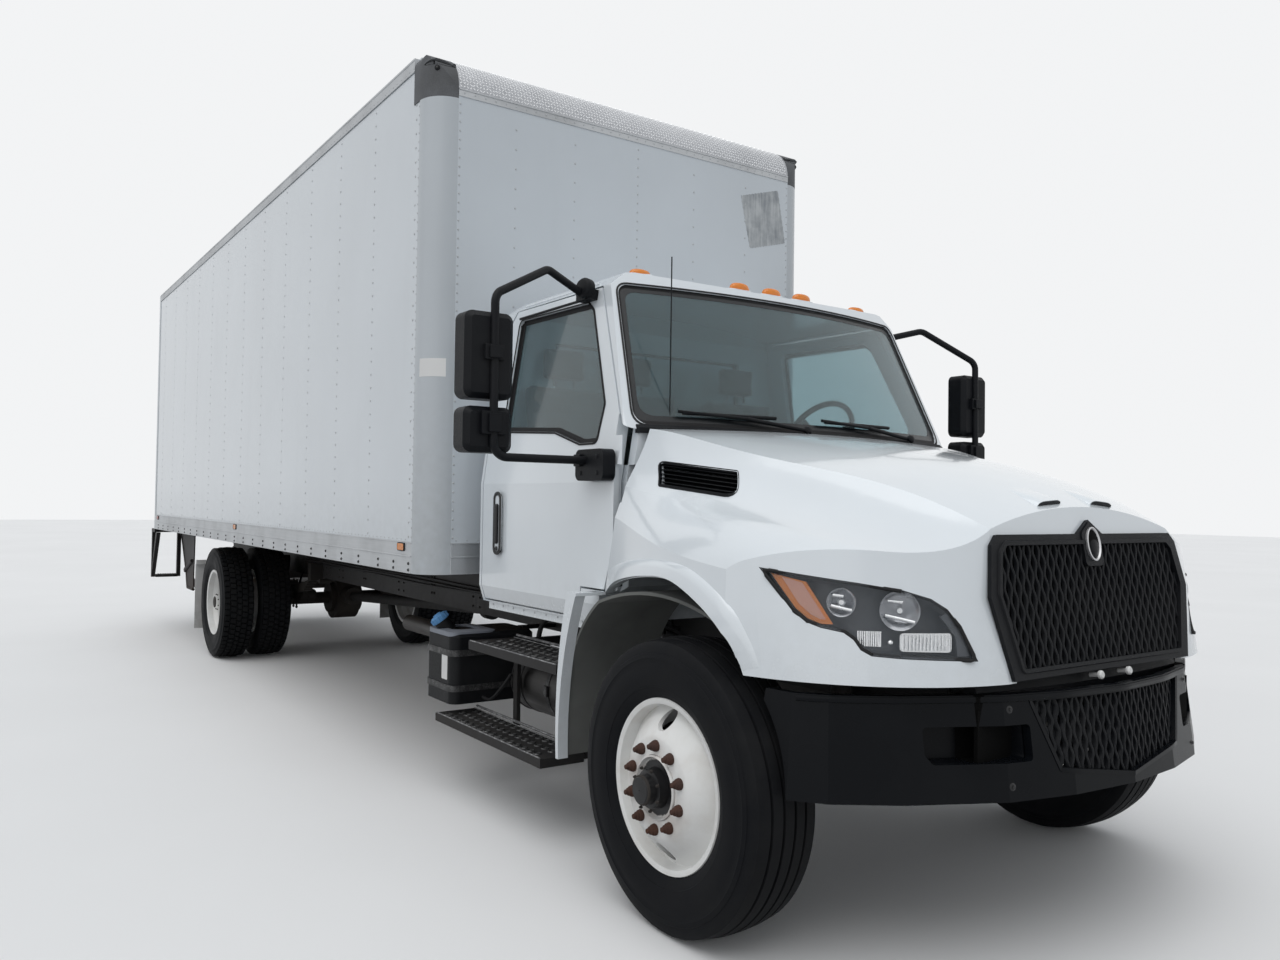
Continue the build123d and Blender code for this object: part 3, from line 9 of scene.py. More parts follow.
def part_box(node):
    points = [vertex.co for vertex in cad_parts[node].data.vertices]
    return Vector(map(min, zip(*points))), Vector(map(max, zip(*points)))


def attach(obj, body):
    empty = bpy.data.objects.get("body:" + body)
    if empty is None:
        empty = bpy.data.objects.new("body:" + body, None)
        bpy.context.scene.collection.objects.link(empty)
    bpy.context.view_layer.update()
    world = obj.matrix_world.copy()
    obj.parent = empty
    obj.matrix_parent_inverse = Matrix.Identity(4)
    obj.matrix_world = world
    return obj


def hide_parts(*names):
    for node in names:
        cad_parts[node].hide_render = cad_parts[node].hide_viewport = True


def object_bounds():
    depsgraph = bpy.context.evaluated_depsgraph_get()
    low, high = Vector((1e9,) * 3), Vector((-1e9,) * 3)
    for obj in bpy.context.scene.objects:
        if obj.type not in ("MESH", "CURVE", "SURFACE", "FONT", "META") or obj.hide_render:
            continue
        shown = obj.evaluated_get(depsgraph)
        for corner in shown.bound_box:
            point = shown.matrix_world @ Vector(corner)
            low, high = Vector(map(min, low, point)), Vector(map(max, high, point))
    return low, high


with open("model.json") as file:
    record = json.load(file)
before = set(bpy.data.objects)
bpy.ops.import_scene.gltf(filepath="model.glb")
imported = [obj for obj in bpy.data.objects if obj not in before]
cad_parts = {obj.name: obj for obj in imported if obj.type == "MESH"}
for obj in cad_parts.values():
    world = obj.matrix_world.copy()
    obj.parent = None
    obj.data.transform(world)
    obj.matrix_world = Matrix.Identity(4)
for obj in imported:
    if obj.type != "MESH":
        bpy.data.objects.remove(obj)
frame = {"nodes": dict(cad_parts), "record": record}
cad_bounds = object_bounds()
nodes = frame["nodes"]


def span(node):
    """Lowest and highest corner of a CAD node as vectors."""
    low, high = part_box(node)
    return Vector(low), Vector(high)


# Places read from the frame
front_low, front_high = span("tyre_front_right")
rear_low, rear_high = span("tyres_rear_right")
AXLE = Vector(((front_low.x + front_high.x) / 2, 0, (front_low.z + front_high.z) / 2))
REAR_AXLE = Vector(((rear_low.x + rear_high.x) / 2, 0, AXLE.z))
TYRE_RADIUS = front_high.z - AXLE.z
TYRE_WIDTH = front_high.y - front_low.y
WALL_TOP = span("box_side_walls")[1].z
rail_low, rail_high = span("box_side_rails")
BOX_HALF = rail_high.y
BOX_FRONT = span("box_front_wall")[1].x
BOX_BACK = span("box_rear_frame")[0].x
BOX_TOP = span("box_corner_caps")[1].z
CAP_LOW = span("box_corner_caps")[0].z
FLOOR_Z = span("box_floor")[1].z
RAIL_LOW = rail_low.z


# Camera at the photograph's viewpoint, in metres from the front axle
PHOTO_WIDTH = 1280
PHOTO_FOCAL = 994.19
EYE = Vector((2.7856, -3.2438, 1.4854))
YAW = 2.5351
PITCH = 0.0228
ROLL = 0.0143


def make_camera():
    """Camera with the photograph's position, direction and field of view."""
    ahead = Vector((math.cos(YAW) * math.cos(PITCH), math.sin(YAW) * math.cos(PITCH), math.sin(PITCH)))
    level = ahead.cross(Vector((0, 0, 1))).normalized()
    upright = level.cross(ahead)
    right = math.cos(ROLL) * level + math.sin(ROLL) * upright
    up = math.cos(ROLL) * upright - math.sin(ROLL) * level
    data = bpy.data.cameras.new("camera")
    data.sensor_fit = "HORIZONTAL"
    data.angle_x = 2 * math.atan(PHOTO_WIDTH / 2 / PHOTO_FOCAL)
    data.clip_end = 200
    camera = bpy.data.objects.new("camera", data)
    place = Matrix((right, up, -ahead)).transposed().to_4x4()
    place.translation = EYE + Vector((AXLE.x, 0, 0))
    camera.matrix_world = place
    bpy.context.scene.collection.objects.link(camera)
    bpy.context.scene.camera = camera


# Node building for the procedural materials
NOISE_ROUGHNESS = 0.55


class Shader:
    """A material's node tree with short calls for the nodes it needs."""

    def __init__(self, name):
        self.material = bpy.data.materials.new(name)
        self.material.use_nodes = True
        self.tree = self.material.node_tree
        self.bsdf = self.tree.nodes["Principled BSDF"]
        self.place = self.add("ShaderNodeTexCoord").outputs["Object"]

    def add(self, kind, **settings):
        node = self.tree.nodes.new(kind)
        for key, value in settings.items():
            setattr(node, key, value)
        return node

    def link(self, source, target):
        self.tree.links.new(source, target)

    def put(self, target, value):
        """Link a socket to an input, or set a constant on it."""
        if isinstance(value, bpy.types.NodeSocket):
            self.link(value, target)
        else:
            target.default_value = value

    def scaled(self, scale):
        node = self.add("ShaderNodeMapping")
        self.link(self.place, node.inputs["Vector"])
        node.inputs["Scale"].default_value = scale
        return node.outputs["Vector"]

    def noise(self, size, detail, stretch=(1, 1, 1)):
        """Noise whose features are about size metres across."""
        node = self.add("ShaderNodeTexNoise")
        self.link(self.scaled(tuple(s / size for s in stretch)), node.inputs["Vector"])
        node.inputs["Scale"].default_value = 1.0
        node.inputs["Detail"].default_value = detail
        node.inputs["Roughness"].default_value = NOISE_ROUGHNESS
        return node.outputs["Fac"]

    def ramp(self, value, low, high, out_low=0.0, out_high=1.0):
        node = self.add("ShaderNodeMapRange")
        self.put(node.inputs["Value"], value)
        for key, number in (("From Min", low), ("From Max", high), ("To Min", out_low), ("To Max", out_high)):
            node.inputs[key].default_value = number
        return node.outputs["Result"]

    def math(self, operation, first, second=0.0):
        node = self.add("ShaderNodeMath", operation=operation)
        self.put(node.inputs[0], first)
        self.put(node.inputs[1], second)
        return node.outputs[0]

    def axes(self):
        """The three coordinates of the place in the frame."""
        node = self.add("ShaderNodeSeparateXYZ")
        self.link(self.place, node.inputs[0])
        return node.outputs

    def radius_about(self, hub, x, z):
        """Distance from the axle through a hub."""
        dx, dz = self.math("SUBTRACT", x, hub.x), self.math("SUBTRACT", z, hub.z)
        squares = self.math("ADD", self.math("MULTIPLY", dx, dx), self.math("MULTIPLY", dz, dz))
        return self.math("SQRT", squares)

    def mix(self, factor, first, second):
        """Blend two colours, each a socket or three numbers."""
        node = self.add("ShaderNodeMix", data_type="RGBA")
        self.put(node.inputs["Factor"], factor)
        for key, value in (("A", first), ("B", second)):
            socket = [s for s in node.inputs if s.name == key and s.type == "RGBA"][0]
            self.put(socket, (*value, 1) if isinstance(value, tuple) and len(value) == 3 else value)
        return [s for s in node.outputs if s.type == "RGBA"][0]

    def bump(self, height, strength, distance, below=None):
        node = self.add("ShaderNodeBump")
        node.inputs["Strength"].default_value = strength
        node.inputs["Distance"].default_value = distance
        self.link(height, node.inputs["Height"])
        if below is not None:
            self.link(below, node.inputs["Normal"])
        return node.outputs["Normal"]

    def finish(self, color=None, rough=None, metal=None, normal=None, **rest):
        """Fill the surface shader's inputs and return the material."""
        values = {"Base Color": color, "Roughness": rough, "Metallic": metal, "Normal": normal}
        values.update({key.replace("_", " "): value for key, value in rest.items()})
        for key, value in values.items():
            if value is None:
                continue
            if isinstance(value, tuple) and len(value) == 3:
                value = (*value, 1)
            self.put(self.bsdf.inputs[key], value)
        return self.material


def painted(
    name, color, rough=0.3, dirt=(0.2, 0.18, 0.15), dirt_top=1.2, dirt_low=0.4, amount=0.35, coat=0.0,
    wave=0.0, shine=0.5,
):
    """Paint with faint unevenness, road film that thickens downward, and streaks."""
    s = Shader(name)
    z = s.axes()["Z"]
    cloud = s.noise(0.9, 4)
    fine = s.noise(0.05, 5)
    streak = s.noise(0.22, 3, stretch=(1, 1, 0.12))
    height = s.ramp(z, dirt_low, dirt_top, 1.0, 0.0)
    film = s.math("MULTIPLY", height, s.ramp(s.math("ADD", cloud, fine), 0.7, 1.35, 0.1, 1.0))
    marks = s.math("MULTIPLY", s.ramp(streak, 0.58, 0.8), 0.16)
    cover = s.math("MULTIPLY", s.math("ADD", film, marks), amount)
    tint = s.mix(
        s.ramp(cloud, 0.3, 0.7), tuple(c * 0.955 for c in color), tuple(min(1, c * 1.02) for c in color),
    )
    normal = s.bump(fine, 0.03, 0.002)
    if wave:
        normal = s.bump(s.noise(0.55, 1.5, stretch=(1, 1, 0.6)), wave, 0.02, normal)
    return s.finish(
        s.mix(cover, tint, dirt), s.ramp(cover, 0, 0.5, rough, min(1, rough + 0.4)), 0.0, normal,
        Coat_Weight=coat, Coat_Roughness=0.08, Specular_IOR_Level=shine,
    )


def moulded(name, color, rough=0.55, grain=0.0012, dust=0.25, shine=0.28):
    """Moulded plastic or black coated steel with a fine grain and grey dust."""
    s = Shader(name)
    cell = s.add("ShaderNodeTexVoronoi")
    s.link(s.scaled((1 / grain / 3,) * 3), cell.inputs["Vector"])
    patch = s.noise(0.35, 4)
    dusty = s.math("MULTIPLY", s.ramp(patch, 0.45, 0.75), dust)
    shade = s.mix(dusty, color, (0.075, 0.074, 0.072))
    bump = s.bump(cell.outputs["Distance"], 0.25, grain)
    return s.finish(shade, s.ramp(patch, 0.3, 0.7, rough, rough + 0.15), 0.0, bump, Specular_IOR_Level=shine)


BRACKET_FRONT = AXLE.x + 0.860
BRACKET_SIDE = 0.633


def bumper_plastic(name, color):
    """Glossy black moulding; what lies behind its face, such as the brackets, is painted near black and matte
    as shade.
    """
    s = Shader(name)
    x, y, _ = s.axes()
    # painted shade: behind the bumper's face and within the brackets' width the colour goes near black and
    # rougher
    behind = s.ramp(x, BRACKET_FRONT, BRACKET_FRONT + 0.0007, 1.0, 0.0)
    inside = s.ramp(s.math("ABSOLUTE", y), BRACKET_SIDE, BRACKET_SIDE + 0.001, 1.0, 0.0)
    painted_shade_behind = s.math("MULTIPLY", behind, inside)
    patch = s.noise(0.35, 4)
    shade = s.mix(s.math("MULTIPLY", s.ramp(patch, 0.45, 0.75), 0.05), color, (0.06, 0.06, 0.06))
    shade = s.mix(painted_shade_behind, shade, (0.001, 0.001, 0.001))
    rough = s.math("ADD", s.ramp(patch, 0.3, 0.7, 0.22, 0.34), s.math("MULTIPLY", painted_shade_behind, 0.6))
    return s.finish(shade, rough, 0.0, s.bump(s.noise(0.004, 2), 0.1, 0.0005), Specular_IOR_Level=0.10)


def metal(name, color, rough=0.35, stretch=(0.03, 1, 1), size=0.01, stain=(0.25, 0.23, 0.21), stained=0.3):
    """Bare metal with a drawn grain along one axis and dull stains."""
    s = Shader(name)
    grain = s.noise(size, 2, stretch=stretch)
    blot = s.noise(0.25, 5)
    worn = s.math("MULTIPLY", s.ramp(blot, 0.45, 0.75), stained)
    shade = s.mix(worn, color, stain)
    gloss = s.ramp(s.math("ADD", grain, blot), 0.6, 1.4, rough, rough + 0.25)
    return s.finish(shade, gloss, s.ramp(worn, 0, 0.6, 0.95, 0.4), s.bump(grain, 0.08, 0.001))


def tread_plate(name):
    """Aluminium sheet with raised lugs lying both ways in turn."""
    s = Shader(name)
    x, y, z = s.axes()
    pitch = 0.032
    along = s.math("DIVIDE", y, pitch)
    around = s.math("DIVIDE", s.math("SUBTRACT", z, x), pitch)
    turned = s.math("ADD", along, around)
    crossed = s.math("SUBTRACT", along, around)
    first = s.math("ABSOLUTE", s.math("SINE", s.math("MULTIPLY", turned, math.pi / 2)))
    second = s.math("ABSOLUTE", s.math("SINE", s.math("MULTIPLY", crossed, math.pi)))
    lug_a = s.math("MULTIPLY", s.ramp(first, 0.82, 0.95), s.ramp(second, 0.35, 0.75))
    third = s.math("ABSOLUTE", s.math("COSINE", s.math("MULTIPLY", turned, math.pi)))
    fourth = s.math("ABSOLUTE", s.math("SINE", s.math("MULTIPLY", crossed, math.pi / 2)))
    lug_b = s.math("MULTIPLY", s.ramp(fourth, 0.82, 0.95), s.ramp(third, 0.35, 0.75))
    lugs = s.math("MAXIMUM", lug_a, lug_b)
    blot = s.noise(0.3, 4)
    shade = s.mix(s.ramp(blot, 0.35, 0.7), (0.38, 0.39, 0.41), (0.48, 0.49, 0.51))
    return s.finish(shade, s.ramp(blot, 0.3, 0.8, 0.34, 0.50), 0.7, s.bump(lugs, 0.9, 0.0016))


def glazing(name, color, rough=0.02, see=0.85):
    """Tinted safety glass with a film of dust."""
    s = Shader(name)
    film = s.ramp(s.noise(0.3, 4), 0.4, 0.8, rough, rough + 0.06)
    return s.finish(color, film, 0.0, None, Transmission_Weight=see, IOR=1.45)


def clear_lens(name):
    """Clear lamp cover: mostly see-through, with a gloss and a faint haze."""
    s = Shader(name)
    haze = s.ramp(s.noise(0.08, 4), 0.35, 0.75, 0.03, 0.12)
    return s.finish((0.16, 0.18, 0.20), haze, 0.0, None, Alpha=0.12, Specular_IOR_Level=0.7)


RIBS_PER_METRE = 900


def lens(name, color):
    """Moulded lamp lens with fine ribs."""
    s = Shader(name)
    x, y, _ = s.axes()
    ribs = s.math("SINE", s.math("MULTIPLY", s.math("ADD", y, x), RIBS_PER_METRE))
    haze = s.ramp(s.noise(0.06, 3), 0.3, 0.8, 0.1, 0.22)
    return s.finish(color, haze, 0.0, s.bump(ribs, 0.15, 0.0008), Transmission_Weight=0.35, IOR=1.49)


def rubber(name, color, hub):
    """Tyre rubber: dark, with blots of dust that thicken on the tread."""
    s = Shader(name)
    x, _, z = s.axes()
    tread = s.ramp(s.radius_about(hub, x, z), TYRE_RADIUS - 0.05, TYRE_RADIUS, 0.0, 1.0)
    cloud = s.noise(0.14, 5)
    fine = s.noise(0.006, 3)
    dust = s.math("ADD", s.ramp(cloud, 0.35, 0.75), s.math("MULTIPLY", tread, 0.5))
    cover = s.math("MINIMUM", s.math("MULTIPLY", dust, 0.35), 0.75)
    shade = s.mix(cover, color, (0.026, 0.026, 0.026))
    gloss = s.ramp(cloud, 0.3, 0.8, 0.50, 0.75)
    return s.finish(shade, gloss, 0.0, s.bump(fine, 0.25, 0.0015), Specular_IOR_Level=0.08)


NUT_RING = (0.115, 0.170)


def wheel_paint(name, hub, cap_radius):
    """White enamel rim with a dark greasy hub and rusty nuts, split by radius about the axle."""
    s = Shader(name)
    x, y, z = s.axes()
    radius = s.radius_about(hub, x, z)
    out = s.math("ABSOLUTE", y)
    cloud = s.noise(0.12, 5)
    fine = s.noise(0.018, 4)
    edge = s.math("ADD", radius, s.ramp(fine, 0, 1, -0.008, 0.008))
    hub_mask = s.ramp(edge, cap_radius, cap_radius + 0.006, 1.0, 0.0)
    low, high = NUT_RING
    ring = s.math("MULTIPLY", s.ramp(radius, low, low + 0.003), s.ramp(radius, high, high + 0.003, 1, 0))
    proud = s.ramp(out, bolting_face(hub), bolting_face(hub) + 0.002)
    nuts = s.math("MULTIPLY", ring, proud)
    bleed = s.math(
        "MULTIPLY", s.ramp(radius, low - 0.02, high + 0.03, 1, 0), s.ramp(cloud, 0.35, 0.7, 0.0, 0.45),
    )
    film = s.math("MULTIPLY", s.ramp(cloud, 0.45, 0.8), 0.35)
    white = s.mix(film, (0.78, 0.78, 0.765), (0.45, 0.40, 0.34))
    white = s.mix(bleed, white, (0.30, 0.16, 0.09))
    shade = s.mix(hub_mask, white, (0.009, 0.009, 0.010))
    shade = s.mix(nuts, shade, (0.17, 0.085, 0.05))
    rough = s.math("ADD", s.math("MULTIPLY", nuts, 0.4), 0.35)
    return s.finish(shade, rough, 0.0, s.bump(fine, 0.15, 0.002), Specular_IOR_Level=0.3)


def bolting_face(hub):
    """Distance from the middle of the truck to the face that the front or rear nuts stand on."""
    node, hub_length = ("wheel_front_left", 0.070) if hub is AXLE else ("wheels_rear_left", 0.130)
    return span(node)[1].y - hub_length


BOARD_WIDTH = 0.045
THREADS_PER_METRE = 2600


def boards(name):
    """Laminated deck boards running along the body."""
    s = Shader(name)
    strip = s.math("FRACT", s.math("DIVIDE", s.axes()["Y"], BOARD_WIDTH))
    grain = s.noise(0.02, 5, stretch=(0.05, 1, 1))
    tone = s.noise(0.12, 2, stretch=(0.1, 1, 1))
    shade = s.mix(s.ramp(s.math("ADD", grain, tone), 0.6, 1.4), (0.22, 0.13, 0.07), (0.42, 0.29, 0.17))
    return s.finish(shade, 0.6, 0.0, s.bump(s.ramp(strip, 0.0, 0.06), 0.5, 0.002))


def woven(name, color):
    """Seat cloth with a fine weave and sheen."""
    s = Shader(name)
    x, y, z = s.axes()
    warp = s.math("SINE", s.math("MULTIPLY", y, THREADS_PER_METRE))
    weft = s.math("SINE", s.math("MULTIPLY", s.math("ADD", x, z), THREADS_PER_METRE))
    weave = s.math("MULTIPLY", warp, weft)
    patch = s.noise(0.08, 4)
    shade = s.mix(s.ramp(patch, 0.3, 0.7), tuple(c * 0.8 for c in color), tuple(c * 1.25 for c in color))
    return s.finish(shade, 0.9, 0.0, s.bump(weave, 0.4, 0.0006), Sheen_Weight=0.25)


def residue(name):
    """Grey glue and fibres left where a patch was torn off, in upright streaks."""
    s = Shader(name)
    streak = s.noise(0.020, 4, stretch=(1, 1, 0.10))
    blot = s.noise(0.08, 5)
    shade = s.mix(s.ramp(s.math("ADD", streak, blot), 0.75, 1.25), (0.28, 0.30, 0.32), (0.52, 0.54, 0.55))
    return s.finish(shade, 0.75, 0.0, s.bump(streak, 0.3, 0.001))


def worn(name, color, bare):
    """Black coating rubbed through to metal on what stands highest in a small-scale pattern."""
    s = Shader(name)
    rub = s.math("ADD", s.noise(0.035, 4), s.noise(0.006, 3))
    mask = s.ramp(rub, 0.95, 1.25)
    rough, metallic = s.ramp(mask, 0, 1, 0.55, 0.35), s.ramp(mask, 0, 1, 0.0, 0.6)
    return s.finish(s.mix(mask, color, bare), rough, metallic, s.bump(rub, 0.2, 0.001))


def make_materials():
    """Every finish by name; the first ones answer to the record's slots."""
    rows = (
        (
            painted, "frame_paint", (0.010, 0.010, 0.011), 0.5, (0.060, 0.055, 0.050), 1.2, 0.2, 0.5,
            {"shine": 0.25},
        ),
        (
            painted, "axle_iron", (0.024, 0.022, 0.021), 0.65, (0.080, 0.066, 0.054), 0.9, 0.1, 0.6,
            {"shine": 0.25},
        ),
        (
            painted, "spring_steel", (0.018, 0.017, 0.016), 0.6, (0.075, 0.058, 0.042), 0.9, 0.2, 0.6,
            {"shine": 0.25},
        ),
        (painted, "engine_block", (0.055, 0.055, 0.056), 0.6, {"shine": 0.3}),
        (bumper_plastic, "black_bumper", (0.0035, 0.0042, 0.0056)),
        (moulded, "black_plastic", (0.0052, 0.0060, 0.0078), 0.40, 0.0012, 0.12, 0.14),
        (moulded, "liner_plastic", (0.155, 0.160, 0.152), 0.75, 0.002, 0.5),
        (painted, "cab_white", (0.735, 0.78, 0.815), 0.20, (0.34, 0.33, 0.30), 1.25, 0.9, 0.22, 0.8),
        (glazing, "tinted_glass", (0.43, 0.56, 0.59), 0.02, 0.93),
        (moulded, "dash_grey", (0.09, 0.09, 0.092), 0.65),
        (woven, "seat_cloth", (0.07, 0.07, 0.075)),
        (lens, "amber_lens", (0.95, 0.30, 0.03)),
        (lens, "red_lens", (0.55, 0.02, 0.02)),
        (clear_lens, "lamp_lens"),
        (metal, "aluminium", (0.46, 0.475, 0.49), 0.40, {"stain": (0.24, 0.24, 0.24)}),
        (tread_plate, "tread_plate"),
        (painted, "panel_white", (0.595, 0.64, 0.68), 0.28, (0.33, 0.32, 0.30), 1.6, 1.2, 0.25, 0.45, 0.35),
        (painted, "post_grey", (0.49, 0.525, 0.555), 0.36, (0.24, 0.23, 0.21), 2.2, 1.1, 0.35, 0.3),
        (metal, "cast_grey", (0.125, 0.130, 0.138), 0.6, (1, 1, 1), 0.006, (0.07, 0.07, 0.07), 0.6),
        (boards, "deck_wood"),
        (painted, "door_panel", (0.66, 0.67, 0.68), 0.35),
        (painted, "flap_white", (0.68, 0.68, 0.67), 0.6, (0.2, 0.18, 0.15), 0.8, 0.2, 0.6),
        (
            painted, "lift_black", (0.014, 0.014, 0.015), 0.5, (0.11, 0.07, 0.045), 0.9, 0.3, 0.4,
            {"shine": 0.3},
        ),
        (moulded, "tank_black", (0.0060, 0.0066, 0.0078), 0.42, 0.0015, 0.15, 0.14),
        (metal, "tank_aluminium", (0.58, 0.58, 0.59), 0.35),
        (
            metal, "exhaust_steel", (0.075, 0.073, 0.072), 0.38,
            {"stained": 0.6, "stain": (0.035, 0.030, 0.028)},
        ),
        (moulded, "seal_rubber", (0.007, 0.007, 0.008), 0.55, 0.0008, 0.12),
        (moulded, "frit", (0.010, 0.012, 0.014), 0.12, 0.0006, 0.04, 0.45),
        (moulded, "black_gloss", (0.006, 0.006, 0.007), 0.2, 0.0008, 0.06, 0.4),
        (metal, "satin_chrome", (0.60, 0.60, 0.61), 0.28, (1, 1, 1), 0.004, (0.22, 0.20, 0.18), 0.25),
        (metal, "mirror_glass", (0.80, 0.82, 0.84), 0.03, (1, 1, 1), 0.01, (0.5, 0.5, 0.5), 0.05),
        (moulded, "lamp_housing", (0.085, 0.092, 0.105), 0.30, 0.0008, 0.1, 0.5),
        (lens, "amber_pale", (0.90, 0.50, 0.38)),
        (
            painted, "nut_rust", (0.055, 0.036, 0.032), 0.8, (0.14, 0.060, 0.035), 1.0, 0.3, 0.6,
            {"shine": 0.15},
        ),
        # painted highlight: the nose rail's lugs, the same aluminium as the plate, made much brighter
        (metal, "tread_bright", (0.86, 0.87, 0.88), 0.22, (1, 1, 1), 0.01, (0.5, 0.5, 0.5), 0.2),
        (metal, "lamp_silver", (0.90, 0.91, 0.92), 0.14, (1, 1, 1), 0.06, (0.6, 0.6, 0.6), 0.1),
        # painted dark reflection: the bowls' chrome is given a dark grey in place of what it mirrors
        (metal, "lamp_bowl", (0.34, 0.35, 0.37), 0.10, (1, 1, 1), 0.06, (0.18, 0.18, 0.19), 0.3),
        (painted, "label_white", (0.74, 0.74, 0.73), 0.45, {"amount": 0.2}),
        (painted, "rivet_white", (0.50, 0.52, 0.53), 0.4, (0.25, 0.24, 0.22), 2.0, 1.0, 0.4),
        (residue, "patch_grey"),
        (worn, "worn_black", (0.010, 0.010, 0.011), (0.10, 0.10, 0.10)),
        (worn, "worn_edge", (0.10, 0.10, 0.105), (0.42, 0.42, 0.42)),
        (moulded, "cap_blue", (0.13, 0.33, 0.62), 0.45, 0.0009, 0.25),
        (painted, "collar_grey", (0.22, 0.24, 0.28), 0.5, (0.10, 0.10, 0.10), 1.0, 0.5, 0.5),
        (wheel_paint, "wheel_front", AXLE, 0.092),
        (wheel_paint, "wheel_rear", REAR_AXLE, 0.110),
        (rubber, "tyre_front", (0.0040, 0.0046, 0.0062), AXLE),
        (rubber, "tyre_rear", (0.0060, 0.0066, 0.0080), REAR_AXLE),
    )
    made = {}
    for build, name, *values in rows:
        options = values.pop() if values and isinstance(values[-1], dict) else {}
        made[name] = build(name, *values, **options)
    return made


materials = make_materials()
wheel_finishes = {
    "wheel_front": "wheel_front", "wheels_rear": "wheel_rear",
    "tyre_front": "tyre_front", "tyres_rear": "tyre_rear",
}


def dress_nodes():
    """Give each CAD node its slot's material, and each wheel and tyre the one for its axle."""
    for part in frame["record"]["subparts"]:
        pair = part["node"].rsplit("_", 1)[0]
        finish = materials[wheel_finishes.get(pair, part["material_slot"])]
        for socket in nodes[part["node"]].material_slots:
            socket.material = finish


# Mesh helpers
SIDES = ((-1, "right"), (1, "left"))
AHEAD, ACROSS, UP = Vector((1, 0, 0)), Vector((0, 1, 0)), Vector((0, 0, 1))


def at(station, y, z):
    """Point by its station ahead of the front axle."""
    return Vector((AXLE.x + station, y, z))


def new_piece(name, bm, body, material, smooth=32, bevel=0.0, segments=2):
    """Link a bmesh as an object riding on a body."""
    bmesh.ops.recalc_face_normals(bm, faces=bm.faces)
    if bevel:
        sharp = [e for e in bm.edges if e.is_manifold and e.calc_face_angle() > 0.5]
        bmesh.ops.bevel(
            bm, geom=sharp, offset=bevel, segments=segments, profile=0.5, affect="EDGES", clamp_overlap=True,
        )
    mesh = bpy.data.meshes.new(name)
    bm.to_mesh(mesh)
    bm.free()
    mesh.shade_smooth()
    mesh.set_sharp_from_angle(angle=math.radians(smooth))
    mesh.materials.append(materials[material])
    piece = bpy.data.objects.new(name, mesh)
    bpy.context.scene.collection.objects.link(piece)
    if bevel:
        piece.modifiers.new("flatness", "WEIGHTED_NORMAL").keep_sharp = True
    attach(piece, body)
    return piece


def add_box(bm, low, high):
    """Axis-aligned block between two corners."""
    low, high = Vector(low), Vector(high)
    size = [abs(b - a) for a, b in zip(low, high)]
    bmesh.ops.create_cube(
        bm, size=1, matrix=Matrix.Translation((low + high) / 2) @ Matrix.Diagonal((*size, 1)),
    )


def add_rod(bm, start, end, radius, sides=16, end_radius=None):
    """Round bar between two points."""
    start, end = Vector(start), Vector(end)
    turn = (end - start).to_track_quat("Z", "Y").to_matrix().to_4x4()
    bmesh.ops.create_cone(
        bm, cap_ends=True, segments=sides, depth=(end - start).length,
        radius1=radius, radius2=radius if end_radius is None else end_radius,
        matrix=Matrix.Translation((start + end) / 2) @ turn,
    )


def add_dome(bm, centre, normal, radius, height, sides=8):
    """Rivet or bolt head: a low truncated cone on a face."""
    centre, normal = Vector(centre), Vector(normal).normalized()
    add_rod(bm, centre - normal * height * 0.2, centre + normal * height, radius, sides, radius * 0.6)


def add_rows(bm, rows, closed=True, wrap=False, caps=True):
    """Skin over rows of points: closed rows are rings, and wrap joins the last row to the first."""
    made = [[bm.verts.new(point) for point in row] for row in rows]
    count = len(made[0])
    for first, second in zip(made, made[1:] + made[:1] if wrap else made[1:]):
        for index in range(count if closed else count - 1):
            after = (index + 1) % count
            bm.faces.new((first[index], first[after], second[after], second[index]))
    if caps and closed and not wrap:
        bm.faces.new(made[0])
        bm.faces.new(made[-1])


def turns(count, first=0.0):
    """Evenly spaced angles once round."""
    return [2 * math.pi * (index + first) / count for index in range(count)]


def add_lathe(bm, centre, axis, profile, steps=32, ends=True):
    """Turn (distance along the axis, radius) corners about an axis through a point."""
    axis = Vector(axis).normalized()
    first = axis.orthogonal().normalized()
    second = axis.cross(first)
    ways = [first * math.cos(a) + second * math.sin(a) for a in turns(steps)]
    rows = [[Vector(centre) + axis * along + radius * way for way in ways] for along, radius in profile]
    add_rows(bm, rows, caps=ends)


def curve(points, steps=6):
    """Smooth run through points."""
    points = [Vector(p) for p in points]
    ends = [2 * points[0] - points[1]] + points + [2 * points[-1] - points[-2]]
    result = []
    for a, b, c, d in zip(ends, ends[1:], ends[2:], ends[3:]):
        for t in (index / steps for index in range(steps)):
            square, cube = 2 * a - 5 * b + 4 * c - d, 3 * b - a - 3 * c + d
            result.append(0.5 * (2 * b + (c - a) * t + square * t * t + cube * t ** 3))
    return result + [points[-1]]


def add_tube(bm, points, radius, sides=10, steps=6):
    """Pipe or hose of one radius along a smooth run, or along straight ones if steps is 0."""
    points = curve(points, steps) if steps else [Vector(p) for p in points]
    normal, rows = None, []
    for index, point in enumerate(points):
        run = (points[min(index + 1, len(points) - 1)] - points[max(index - 1, 0)]).normalized()
        normal = run.orthogonal() if normal is None else normal - run * normal.dot(run)
        normal.normalize()
        other = run.cross(normal)
        rows.append([point + radius * (normal * math.cos(a) + other * math.sin(a)) for a in turns(sides)])
    add_rows(bm, rows)


def rounded(points, radius, steps=5, parts=6):
    """Closed outline with rounded corners and points along its straight runs."""
    points = [Vector(p) for p in points]
    arcs = []
    for before, here, after in zip(points[-1:] + points[:-1], points, points[1:] + points[:1]):
        back, on = before - here, after - here
        reach = min(radius / math.tan(max(back.angle(on), 0.2) / 2), back.length * 0.48, on.length * 0.48)
        start, end = here + back.normalized() * reach, here + on.normalized() * reach
        arcs.append([
            start.lerp(here, t).lerp(here.lerp(end, t), t)
            for t in (i / steps for i in range(steps + 1))
        ])
    result = []
    for arc, following in zip(arcs, arcs[1:] + arcs[:1]):
        result += arc + [arc[-1].lerp(following[0], i / parts) for i in range(1, parts)]
    return result


